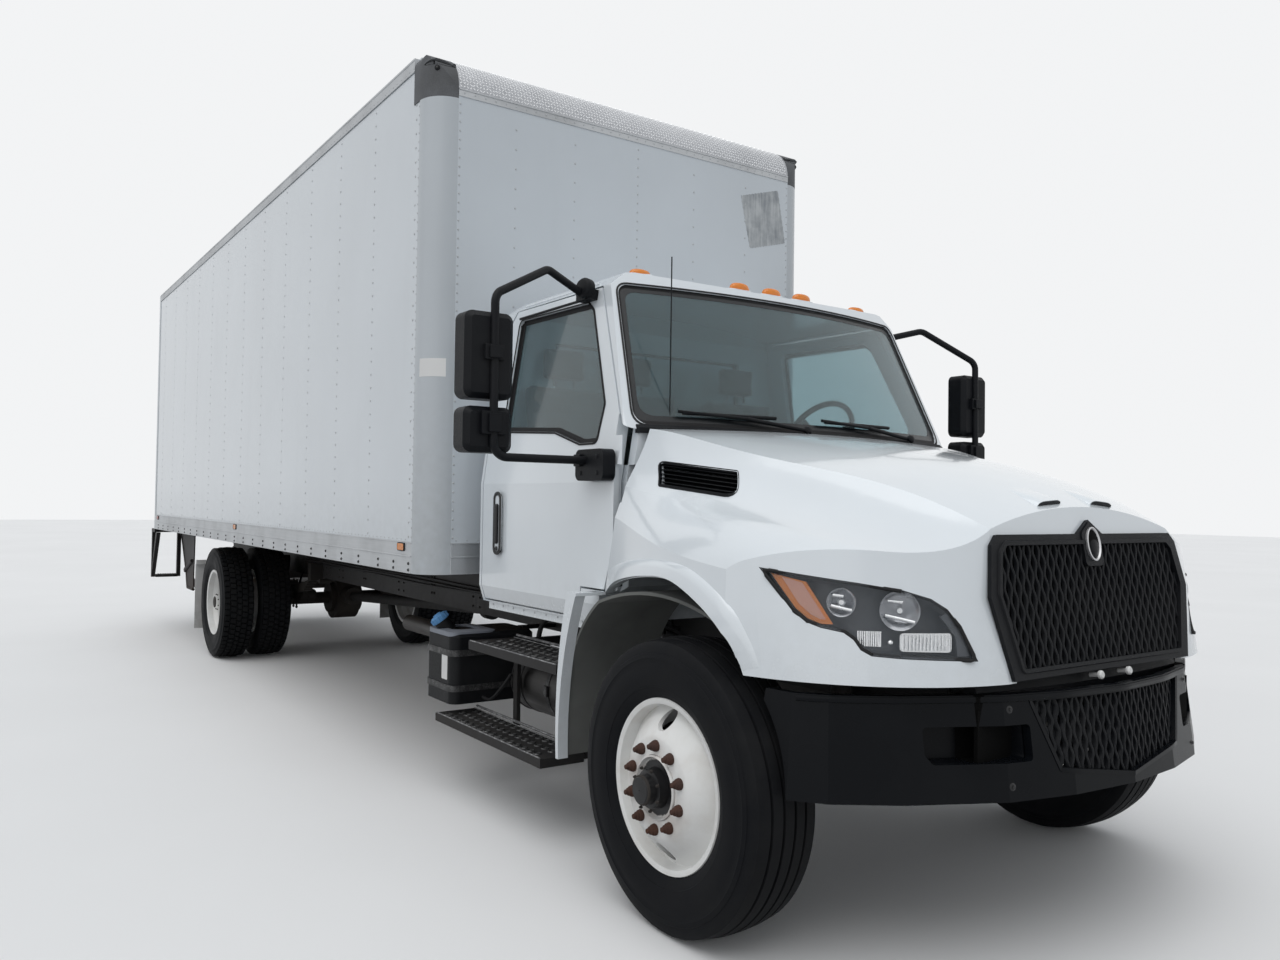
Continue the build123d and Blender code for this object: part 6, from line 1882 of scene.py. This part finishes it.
def frame_bolts():
    """Bolts on the rails' outer faces: at the crossmembers, at brackets and along the top."""
    bm = bmesh.new()
    crossmembers = (0.700, -1.700, -2.500, -3.800, -5.200, -6.400, -7.700, -8.900, -9.780)
    brackets = (-0.90, -0.55, 0.55, -6.15, -7.95, -8.60, -3.1, -4.4, -5.8)
    groups = (
        (crossmembers, (-0.022, 0.022), (0.830, 0.885, 0.940), 0.011, 0.009),
        (brackets, (-0.05, 0.05), (0.800, 0.860), 0.009, 0.008),
        (steps_between(-2.4, -9.4, 1.15), (-0.03, 0.03), (0.985,), 0.008, 0.008),
    )
    for side, _ in SIDES:
        for stations, offsets, heights, radius, proud in groups:
            spots = [at(x + dx, side * RAIL_FACE, z) for x in stations for dx in offsets for z in heights]
            for spot in spots:
                add_dome(bm, spot, side * ACROSS, radius, proud, 6)
    new_piece("frame_bolts", bm, "chassis", "spring_steel")


def chassis_hoses():
    """Air lines along the rails, brake hoses at the rear axle and hoses between the tanks."""
    bm = bmesh.new()
    for side, _ in SIDES:
        for offset, radius in ((0.0, 0.008), (0.020, 0.006), (-0.018, 0.005)):
            run = []
            for i in range(7):
                y = 0.442 + radius + 0.004 * math.sin(i * 1.7)
                z = 0.905 + offset + 0.006 * math.sin(i * 2.1 + offset * 90)
                run.append((-1.5 - 0.8 * i, side * y, z))
            add_hose(bm, run + [(-6.75, side * 0.45, 0.90 + offset)], radius, 8, 5)
        drop = ((-6.75, 0.40, 0.880), (-6.90, 0.42, 0.80), (-6.98, 0.44, 0.70), (-6.97, 0.45, 0.62))
        add_hose(bm, [(x, side * y, z) for x, y, z in drop], 0.011, 8)
    bundle = (
        (-0.88, 0.05, -0.02), (-1.05, 0, 0.012), (-1.30, -0.03, -0.008), (-1.55, 0.02, 0.01),
        (-1.80, 0.06, -0.03),
    )
    for z, y in ((0.925, -0.52), (0.955, -0.56), (0.885, -0.50), (0.915, -0.60)):
        add_hose(bm, [(x, y + dy, z + dz) for x, dy, dz in bundle], 0.010, 10)
    for stops, radius, sides in (
        (((-1.84, -0.64, 0.62), (-1.90, -0.64, 0.74), (-1.86, -0.60, 0.86), (-1.60, -0.50, 0.90)), 0.014, 10),
        (((-1.95, -0.95, 0.47), (-1.88, -0.93, 0.46), (-1.82, -0.90, 0.52), (-1.78, -0.86, 0.60)), 0.009, 8),
    ):
        add_hose(bm, stops, radius, sides)
    new_piece("chassis_hoses", bm, "chassis", "seal_rubber", smooth=60)


def chassis_pipes():
    """Bright pipes and fittings ahead of the air tanks."""
    bm = bmesh.new()
    run = ((-0.90, 0, 0.872), (-1.10, -0.02, 0.880), (-1.42, -0.02, 0.868), (-1.62, 0.05, 0.85))
    for y in (-0.545, -0.585):
        add_hose(bm, [(x, y + dy, z) for x, dy, z in run], 0.006, 8)
    fitting = [(0, 0.018), (0.016, 0.018), (0.020, 0.012), (0.045, 0.012)]
    for x in (-1.02, -1.16, -1.44):
        add_lathe(bm, at(x, -0.60, 0.905), AHEAD, fitting, 12)
    new_piece("chassis_pipes", bm, "chassis", "satin_chrome", smooth=60)


def shock_absorbers():
    """Shock absorbers at both axles."""
    bm = bmesh.new()
    for side, _ in SIDES:
        for station, y, low, high in ((0.13, 0.500, 0.50, 0.86), (REAR_STATION - 0.22, 0.520, 0.52, 0.90)):
            start, end = at(station, side * y, low), at(station + 0.02, side * (y - 0.02), high)
            middle = start.lerp(end, 0.5)
            add_rod(bm, start, middle, 0.030, 20)
            add_rod(bm, middle - (end - start) * 0.04, end, 0.037, 20)
            for spot in (start, end):
                add_rod(bm, spot - ACROSS * 0.028, spot + ACROSS * 0.028, 0.024, 16)
    new_piece("shock_absorbers", bm, "chassis", "axle_iron")


def axle_fittings():
    """U-bolts of both axles, and brake chambers of the rear one."""
    bm = bmesh.new()
    chamber = [
        (-0.10, 0.020), (-0.095, 0.060), (-0.02, 0.078), (-0.02, 0.086), (0.0, 0.086), (0.0, 0.078),
        (0.06, 0.070), (0.075, 0.020),
    ]
    for side, _ in SIDES:
        for station, y, bottom, top in ((0.0, 0.390, 0.415, 0.600), (REAR_STATION, 0.506, 0.435, 0.700)):
            for dx in (-0.052, 0.052):
                for dy in (-0.040, 0.040):
                    foot = at(station + dx, side * (y + dy), bottom)
                    add_rod(bm, foot, at(station + dx, side * (y + dy), top), 0.009, 10)
                    add_dome(bm, foot, -UP, 0.014, 0.014, 6)
        add_lathe(bm, at(REAR_STATION + 0.17, side * 0.43, 0.560), (0.25, side * 0.9, 0.15), chamber, 32)
    new_piece("axle_fittings", bm, "chassis", "axle_iron")


def platform_ribs():
    """Hinge knuckles and long ribs on the folded lift platform."""
    bm = bmesh.new()
    low, high = span("lift_platform")
    knuckle = [(-0.05, 0.001), (-0.05, 0.016), (0.05, 0.016), (0.05, 0.001)]
    for side, _ in SIDES:
        for x in (high.x - 0.045, high.x - 0.30, high.x - 0.60):
            add_lathe(bm, (x, side * 0.60, low.z + 0.002), ACROSS, knuckle, 14)
    for y in steps_between(-0.86, 0.86, 0.0573):
        add_tube(bm, [(low.x + 0.03, y, 0.5225), (high.x - 0.03, y, 0.5225)], 0.004, 6, 0)
    new_piece("platform_ribs", bm, "lift_platform_body", "lift_black", smooth=50)


def arm_pins():
    """Pins at both ends of the lift's arms, and small plates on the arms."""
    bm = bmesh.new()
    arm_low, arm_high = span("lift_arms")
    for side, _ in SIDES:
        for x, z, radius in ((arm_high.x - 0.050, 0.690, 0.026), (arm_low.x + 0.034, 0.570, 0.018)):
            pin = [(-0.002, radius), (0.010, radius), (0.013, radius - 0.004), (0.013, 0.004)]
            add_lathe(bm, (x, side * 0.524, z), -side * ACROSS, pin, 20)
        for x in (-4.55, -4.75, -4.95):
            add_box(bm, (x, side * 0.5595, 0.59), (x + 0.03, side * 0.5610, 0.64))
    new_piece("arm_pins", bm, "lift_arms_body", "spring_steel")


def lift_gate_fittings():
    """Bolts, side pads and pivot caps of the lift gate's frame, and its pump box and motor."""
    bm = bmesh.new()
    back, front = (corner.x for corner in span("liftgate_frame"))
    cap = [(-0.02, 0.036), (0.0, 0.036), (0.004, 0.028), (0.004, 0.006)]
    for side, _ in SIDES:
        for x in (back + 0.03, back + 0.12, back + 0.20):
            for z in (0.82, 0.90, 0.945):
                add_dome(bm, (x, side * 0.445, z), side * ACROSS, 0.011, 0.009, 6)
        add_box(bm, (back + 0.115, side * 0.895, 0.590), (front + 0.006, side * 0.903, 0.730))
        add_lathe(bm, (back + 0.05, side * 0.655, 0.690), side * ACROSS, cap, 20)
    add_box(bm, (back + 0.17, -0.30, 0.735), (front + 0.06, 0.05, 0.93))
    add_box(bm, (back + 0.20, 0.10, 0.760), (front + 0.03, 0.28, 0.90))
    new_piece("lift_gate_fittings", bm, "chassis", "lift_black", bevel=0.003)


def lift_side_plates():
    """Plates and braces of the lift gate at the sides, under the tail of the box."""
    bm = bmesh.new()
    for side, _ in SIDES:
        outline = [
            (-9.66, 1.100), (-9.42, 0.800), (-9.30, 0.640), (-9.22, 0.470), (-8.92, 0.470), (-8.88, 1.100),
        ]
        rows = [[at(x, side * y, z) for x, z in outline] for y in (1.030, 1.042)]
        add_rows(bm, rows)
        for (xa, za), (xb, zb) in zip(outline[:4], outline[1:5]):
            add_rod(bm, at(xa, side * 1.036, za), at(xb, side * 1.036, zb), 0.016, 12)
        add_rod(bm, at(-9.31, side * 1.050, 0.66), at(-8.95, side * 1.050, 0.78), 0.020, 14)
        add_rod(bm, at(-9.31, side * 0.98, 0.66), at(-9.31, side * 1.062, 0.66), 0.028, 18)
        add_box(bm, at(-9.50, side * 0.960, 1.060), at(-8.90, side * 1.042, 1.100))
    new_piece("lift_side_plates", bm, "chassis", "lift_black", bevel=0.002, segments=1)


DOOR_SHEET = BOX_BACK + 0.0225
DOOR_HEAD = 3.560


def rear_lamp_grommets():
    """Rubber rings round the oval rear lamps."""
    bm = bmesh.new()
    section = [(0.012, 0.0), (0.011, 0.006), (0.003, 0.009), (-0.002, 0.007), (-0.002, 0.0)]
    for side, _ in SIDES:
        for y in (1.010, 0.830):
            oval = rectangle((side * y - 0.080, 1.1555), (side * y + 0.080, 1.2115), 0.028, 7, 4)
            add_trim(bm, oval, section, lambda p, height: Vector((BOX_BACK - height, *p)))
    new_piece("rear_lamp_grommets", bm, "chassis", "seal_rubber", smooth=50)


def door_seals():
    """Rubber strips between the roll-up door and its frame."""
    bm = bmesh.new()
    near, far = BOX_BACK + 0.002, BOX_BACK + 0.021
    for side, _ in SIDES:
        add_box(bm, (near, side * 1.168, FLOOR_Z + 0.004), (far, side * 1.180, 3.556))
    add_box(bm, (near, -1.175, 3.536), (far, 1.175, 3.558))
    new_piece("door_seals", bm, "chassis", "seal_rubber", bevel=0.002)


def door_hardware():
    """Grab handles, the door's latch and foot rail, and the rivets of its hinges."""
    bm = bmesh.new()
    handle = ((0.002, 1.42), (0.045, 1.45), (0.045, 1.85), (0.002, 1.88))
    for side, _ in SIDES:
        y = side * 1.245
        add_tube(bm, [(BOX_BACK - off, y, z) for off, z in handle], 0.011, 12, 6)
        for z in (1.42, 1.88):
            add_rod(bm, (BOX_BACK - 0.005, y, z), (BOX_BACK, y, z), 0.022, 16)
    low = FLOOR_Z + 0.06
    add_box(bm, (BOX_BACK + 0.006, -0.10, low), (DOOR_SHEET, 0.10, low + 0.24))
    add_rod(bm, (BOX_BACK + 0.020, -0.06, low + 0.19), (BOX_BACK - 0.012, -0.06, low + 0.19), 0.012, 14)
    add_box(bm, (BOX_BACK - 0.014, -0.070, low + 0.05), (BOX_BACK - 0.006, -0.050, low + 0.20))
    add_box(bm, (BOX_BACK + 0.004, -1.160, FLOOR_Z + 0.004), (DOOR_SHEET, 1.160, FLOOR_Z + 0.050))
    for index in range(1, 8):
        z = FLOOR_Z + 0.003 + index * (DOOR_HEAD - FLOOR_Z - 0.006) / 8
        for y in (-1.0, -0.34, 0.34, 1.0):
            for dz in (0.022, -0.028):
                for dy in (-0.02, 0.02):
                    add_dome(bm, (DOOR_SHEET, y + dy, z + dz), -AHEAD, 0.006, 0.003, 8)
    new_piece("door_hardware", bm, "chassis", "aluminium", smooth=40)


def step_serrations():
    """Pointed studs on both treads of the dock steps."""
    bm = bmesh.new()
    low, high = span("rear_steps")
    treads = (
        ([low.x + 0.032 + 0.030 * row for row in range(3)], steps_between(1.035, 1.24, 0.026), 0.568, 0.577),
        (
            steps_between(low.x + 0.05, low.x + 0.19, 0.035), steps_between(0.985, 1.27, 0.034),
            high.z - 0.001, high.z + 0.005,
        ),
    )
    for side, _ in SIDES:
        for xs, ys, foot, top in treads:
            for x in xs:
                for y in ys:
                    add_rod(bm, (x, side * y, foot), (x, side * y, top), 0.008, 6, 0.003)
    new_piece("step_serrations", bm, "chassis", "worn_black")


def flap_bars():
    """Bolted bars that clamp the mud flaps."""
    bm = bmesh.new()
    back = span("mud_flaps")[0].x
    for side, _ in SIDES:
        for y in steps_between(0.68, 1.20, 0.13):
            add_dome(bm, (back, side * y, 0.84), -AHEAD, 0.013, 0.006, 10)
        add_box(bm, (back - 0.003, side * 0.645, 0.822), (back, side * 1.235, 0.858))
    new_piece("flap_bars", bm, "chassis", "spring_steel")


# Interior
PAD_VOXEL = 0.012
PAD_REACH = 0.024
CHANNEL_HALF = 0.018
CHANNEL_DEPTH = 0.007
CLOTH_FRAMES = 20


def pad(name, size, place, channels, fill, flat_foot=True):
    """Cushion swelled by a cloth simulation from a rounded block, with sewn channels across it afterwards."""
    bm = bmesh.new()
    inset = Vector((0.012, 0.012, 0.010))
    block = [s - 2 * i for s, i in zip(size, inset)]
    bmesh.ops.create_cube(bm, size=1, matrix=Matrix.Diagonal((*block, 1)))
    bmesh.ops.bevel(
        bm, geom=bm.edges[:], offset=min(0.035, min(block) * 0.3), segments=3, profile=0.6, affect="EDGES",
    )
    piece = new_piece(name, bm, "chassis", "seat_cloth", smooth=80)
    mesher = piece.modifiers.new("voxels", "REMESH")
    mesher.mode, mesher.voxel_size = "VOXEL", PAD_VOXEL
    bake(piece)
    rest = [v.co.copy() for v in piece.data.vertices]
    cloth = piece.modifiers.new("cloth", "CLOTH")
    cloth.settings.use_pressure = True
    cloth.settings.uniform_pressure_force = 4.0
    cloth.settings.effector_weights.gravity = 0
    cloth.settings.quality = 4
    for frame_number in range(1, CLOTH_FRAMES + 1):
        bpy.context.scene.frame_set(frame_number)
    bake(piece)
    bpy.context.scene.frame_set(1)
    half = Vector(size) / 2
    for vertex, start in zip(piece.data.vertices, rest):
        move = vertex.co - start
        if move.length > PAD_REACH:
            move *= PAD_REACH / move.length
        spot = start + move
        if flat_foot:
            spot.z = max(spot.z, -half.z + 0.002)
        for axis, position in channels:
            near = abs(spot[axis] - position)
            if near < CHANNEL_HALF and spot.z > 0:
                spot.z -= CHANNEL_DEPTH * (1 - near / CHANNEL_HALF) ** 2
        vertex.co = spot
    sub = piece.modifiers.new("smooth", "SUBSURF")
    sub.levels = sub.render_levels = 1
    bake(piece)
    piece.data.transform(place)
    piece.data.shade_smooth()
    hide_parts("seats")


def bake(piece):
    """Keep what the modifiers make as the piece's own mesh."""
    graph = bpy.context.evaluated_depsgraph_get()
    mesh = bpy.data.meshes.new_from_object(piece.evaluated_get(graph))
    piece.modifiers.clear()
    old, piece.data = piece.data, mesh
    bpy.data.meshes.remove(old)


def seat_pieces():
    """Driver's seat and two-place bench with pads, piping, pedestals and headrest posts."""
    piping, frames = bmesh.new(), bmesh.new()
    stand = Matrix.Rotation(math.radians(90), 4, "Y")
    lean = Matrix.Rotation(math.radians(-8.6), 4, "Y") @ stand
    for word, y_low, y_high, marks in (
        ("driver", 0.295, 0.825, [(1, -0.16), (1, 0.16)]), ("bench", -0.870, 0.120, [(1, 0.0)]),
    ):
        width, mid = y_high - y_low - 0.01, (y_low + y_high) / 2
        flat = Matrix.Translation(at(-1.405, mid, 1.415))
        upright = Matrix.Translation(at(-1.668, mid, 1.805)) @ lean
        pad(f"{word}_cushion", (0.545, width, 0.168), flat, marks + [(0, -0.10), (0, 0.06)], 0.8)
        pad(f"{word}_back", (0.600, width, 0.112), upright, marks + [(0, -0.12), (0, 0.08)], 0.8, False)
        add_box(frames, at(-1.640, y_low + 0.06, 1.150), at(-1.180, y_high - 0.06, 1.328))
        add_box(frames, at(-1.620, y_low + 0.09, 1.076), at(-1.200, y_high - 0.09, 1.150))
        for x in (-1.668, -1.140):
            ends = [at(x, y_low + 0.02, 1.345), at(x, y_high - 0.02, 1.345)]
            add_tube(piping, ends, 0.004, 8, 0)
    for index, y in enumerate((0.560, -0.180, -0.610)):
        place = Matrix.Translation(at(-1.722, y, 2.200)) @ stand
        pad(f"headrest_{index}", (0.176, 0.256, 0.080), place, [], 0.9, False)
        for dy in (-0.06, 0.06):
            add_rod(frames, at(-1.716, y + dy, 2.085), at(-1.720, y + dy, 2.130), 0.006, 10)
    base = new_piece("seat_bases", frames, "chassis", "dash_grey", bevel=0.008)
    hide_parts("seats")
    new_piece("seat_piping", piping, "chassis", "seal_rubber")


def dashboard_pieces():
    """Round instruments, vents, glove box and radio panel on the dashboard."""
    bm, rings = bmesh.new(), bmesh.new()
    ring = [(0, 0.046), (0.006, 0.046), (0.006, 0.041), (0.002, 0.040)]
    for y in (0.46, 0.56, 0.66):
        add_lathe(rings, at(-0.933, y, 1.765), (-1, 0, 0.25), ring, 28, ends=False)
        add_lathe(bm, at(-0.931, y, 1.765), (-1, 0, 0.25), [(-0.002, 0.041), (0.002, 0.040)], 28)
    for y in (-0.74, -0.12, 0.06, 0.22):
        add_box(bm, at(-0.934, y - 0.055, 1.665), at(-0.915, y + 0.055, 1.725))
        for index in range(5):
            z = 1.672 + index * 0.0115
            add_box(rings, at(-0.940, y - 0.048, z), at(-0.928, y + 0.048, z + 0.004))
    add_box(bm, at(-0.936, -0.60, 1.600), at(-0.905, -0.22, 1.742))
    add_box(bm, at(-0.936, -0.05, 1.575), at(-0.905, 0.14, 1.650))
    new_piece("dash_panels", bm, "chassis", "dash_grey", bevel=0.004)
    new_piece("dash_rings", rings, "chassis", "black_gloss")


def door_cards():
    """Inner panels of the doors with armrest and pocket."""
    for side, word in SIDES:
        bm = bmesh.new()
        add_box(bm, at(-1.72, side * 0.945, 1.10), at(-0.80, side * 0.972, 1.70))
        add_box(bm, at(-1.60, side * 0.900, 1.45), at(-1.05, side * 0.950, 1.52))
        add_box(bm, at(-1.68, side * 0.905, 1.12), at(-0.95, side * 0.950, 1.26))
        new_piece(f"door_card_{word}", bm, f"door_{word}_body", "dash_grey", bevel=0.010, segments=3)


def engine_pieces():
    """Valve cover, air filter, pipes, shroud and radiator fins, seen when the hood is tilted."""
    bm, pipes, fins = bmesh.new(), bmesh.new(), bmesh.new()
    add_box(bm, at(-0.42, -0.14, 1.360), at(0.44, 0.14, 1.415))
    for index in range(9):
        x = -0.38 + index * 0.098
        add_box(bm, at(x, -0.145, 1.405), at(x + 0.018, 0.145, 1.424))
    for index in range(6):
        x = -0.36 + index * 0.14
        for y in (-0.296, 0.280):
            add_box(bm, at(x, y, 1.10), at(x + 0.07, y + 0.016, 1.30))
    add_box(bm, at(-0.48, -0.30, 0.86), at(0.50, -0.286, 0.90))
    add_box(bm, at(0.50, -0.36, 0.98), at(0.592, 0.36, 1.36))
    add_lathe(bm, at(0.30, 0.30, 1.18), ACROSS, [(0, 0.10), (0.03, 0.115), (0.07, 0.10), (0.085, 0.06)], 32)
    turbo = [(-0.09, 0.05), (-0.06, 0.085), (0.02, 0.09), (0.05, 0.06), (0.11, 0.05)]
    add_lathe(bm, at(-0.10, -0.32, 1.16), AHEAD, turbo, 32)
    air_filter = [(0, 0.10), (0.01, 0.125), (0.34, 0.125), (0.36, 0.09), (0.42, 0.06)]
    add_lathe(pipes, at(-0.45, 0.33, 1.42), AHEAD, air_filter, 36)
    for stops, radius, sides in (
        (((-0.04, 0.33, 1.42), (0.12, 0.33, 1.42), (0.26, 0.31, 1.36), (0.31, 0.33, 1.25)), 0.052, 16),
        (((0.62, 0.24, 1.33), (0.50, 0.24, 1.42), (0.30, 0.20, 1.44), (0.10, 0.12, 1.42)), 0.034, 14),
        (((0.60, -0.26, 1.05), (0.48, -0.33, 1.08), (0.20, -0.35, 1.14), (0.02, -0.34, 1.16)), 0.040, 14),
    ):
        add_hose(pipes, stops, radius, sides, 8)
    for y in steps_between(-0.405, 0.405, 0.0135):
        add_box(fins, at(0.681, y - 0.001, 1.03), at(0.689, y + 0.001, 1.35))
    for z in (1.022, 1.356):
        add_box(fins, at(0.676, -0.42, z - 0.014), at(0.694, 0.42, z + 0.014))
    new_piece("engine_covers", bm, "chassis", "engine_block", bevel=0.004)
    new_piece("engine_pipes", pipes, "chassis", "seal_rubber", smooth=50)
    new_piece("radiator_fins", fins, "chassis", "aluminium")


SPRING_EYES = ((-0.77, 0.80), (0.66, 0.80), (-6.20, 0.74), (-7.80, 0.74))


def spring_pins():
    """Pins through the leaf springs' eyes."""
    bm = bmesh.new()
    for side, _ in SIDES:
        for station, z in SPRING_EYES:
            add_rod(bm, at(station, side * 0.40, z), at(station, side * 0.50, z), 0.022, 14)
    new_piece("spring_pins", bm, "chassis", "spring_steel")


# Floor, sky and lamps
SUNS = (("key", (-0.25, 0.35, -1.0), 1.18, 60), ("side", (-0.30, 1.0, -0.30), 0.42, 70))


def make_floor():
    """Pale floor that throws less light onto the truck than it shows."""
    bpy.ops.mesh.primitive_plane_add(size=120, location=(0, 0, 0))
    floor = bpy.context.object
    floor.name = "floor"
    s = Shader("floor")
    shade = s.mix(s.ramp(s.noise(3.0, 3), 0.3, 0.7), (0.80, 0.80, 0.80), (0.83, 0.83, 0.83))
    rays = s.add("ShaderNodeLightPath")
    clear = s.math("MAXIMUM", rays.outputs["Is Camera Ray"], rays.outputs["Is Glossy Ray"])
    clear = s.math("MAXIMUM", clear, rays.outputs["Is Transmission Ray"])
    floor.data.materials.append(s.finish(s.mix(clear, (0.34, 0.34, 0.345), shade), 0.9))


def make_sky():
    """Soft sky light, with a plain backdrop for the camera, for reflections and through glass."""
    world = bpy.data.worlds.new("studio")
    bpy.context.scene.world = world
    world.use_nodes = True
    tree = world.node_tree
    ambient = tree.nodes["Background"]
    ambient.inputs["Color"].default_value = (0.93, 0.965, 1.0, 1)
    ambient.inputs["Strength"].default_value = 0.56
    backdrop = tree.nodes.new("ShaderNodeBackground")
    backdrop.inputs["Color"].default_value = (0.94, 0.95, 0.96, 1)
    backdrop.inputs["Strength"].default_value = 0.95
    path = tree.nodes.new("ShaderNodeLightPath")
    seen = path.outputs["Is Camera Ray"]
    for kind in ("Is Glossy Ray", "Is Transmission Ray"):
        either = tree.nodes.new("ShaderNodeMath")
        either.operation = "MAXIMUM"
        tree.links.new(seen, either.inputs[0])
        tree.links.new(path.outputs[kind], either.inputs[1])
        seen = either.outputs[0]
    either = tree.nodes.new("ShaderNodeMixShader")
    tree.links.new(seen, either.inputs[0])
    tree.links.new(ambient.outputs[0], either.inputs[1])
    tree.links.new(backdrop.outputs[0], either.inputs[2])
    tree.links.new(either.outputs[0], tree.nodes["World Output"].inputs[0])


def make_lamps():
    """Two broad lamps: a key from above and a weaker one from the right."""
    for name, direction, strength, width in SUNS:
        data = bpy.data.lights.new(name, "SUN")
        data.energy = strength
        data.angle = math.radians(width)
        lamp = bpy.data.objects.new(name, data)
        lamp.rotation_euler = Vector(direction).to_track_quat("-Z", "Y").to_euler()
        bpy.context.scene.collection.objects.link(lamp)


make_camera()
make_floor()
make_sky()
make_lamps()
dress_nodes()
for build in (
    tyre_pieces, front_wheels, hub_details, hood_flares, hood_scoops, vent_louvres, grille_pieces, emblem,
    hood_pins, bumper_trim, bumper_weave, fog_recesses, nose_valance, headlamp_pieces, screen_seals,
    screen_border, cowl_strip, door_pieces, aerial, sill_flanges, roof_lamp_seats, roof_strips, wiper_caps,
    roof_lamp_domes, nose_treads, lift_side_plates, rivet_rows, rail_beads, roof_seams, cap_lamps,
    side_reflectors, wall_patch, post_label, step_pieces, fluid_cap, fluid_tank_collar, tank_bands,
    fuel_tank_bands, tank_label, frame_bolts, chassis_hoses, chassis_pipes, shock_absorbers, axle_fittings,
    platform_ribs, arm_pins, lift_gate_fittings, rear_lamp_grommets, door_seals, door_hardware,
    step_serrations, flap_bars, seat_pieces, dashboard_pieces, door_cards, engine_pieces, spring_pins,
):
    build()

bpy.context.scene.view_settings.view_transform = "Standard"
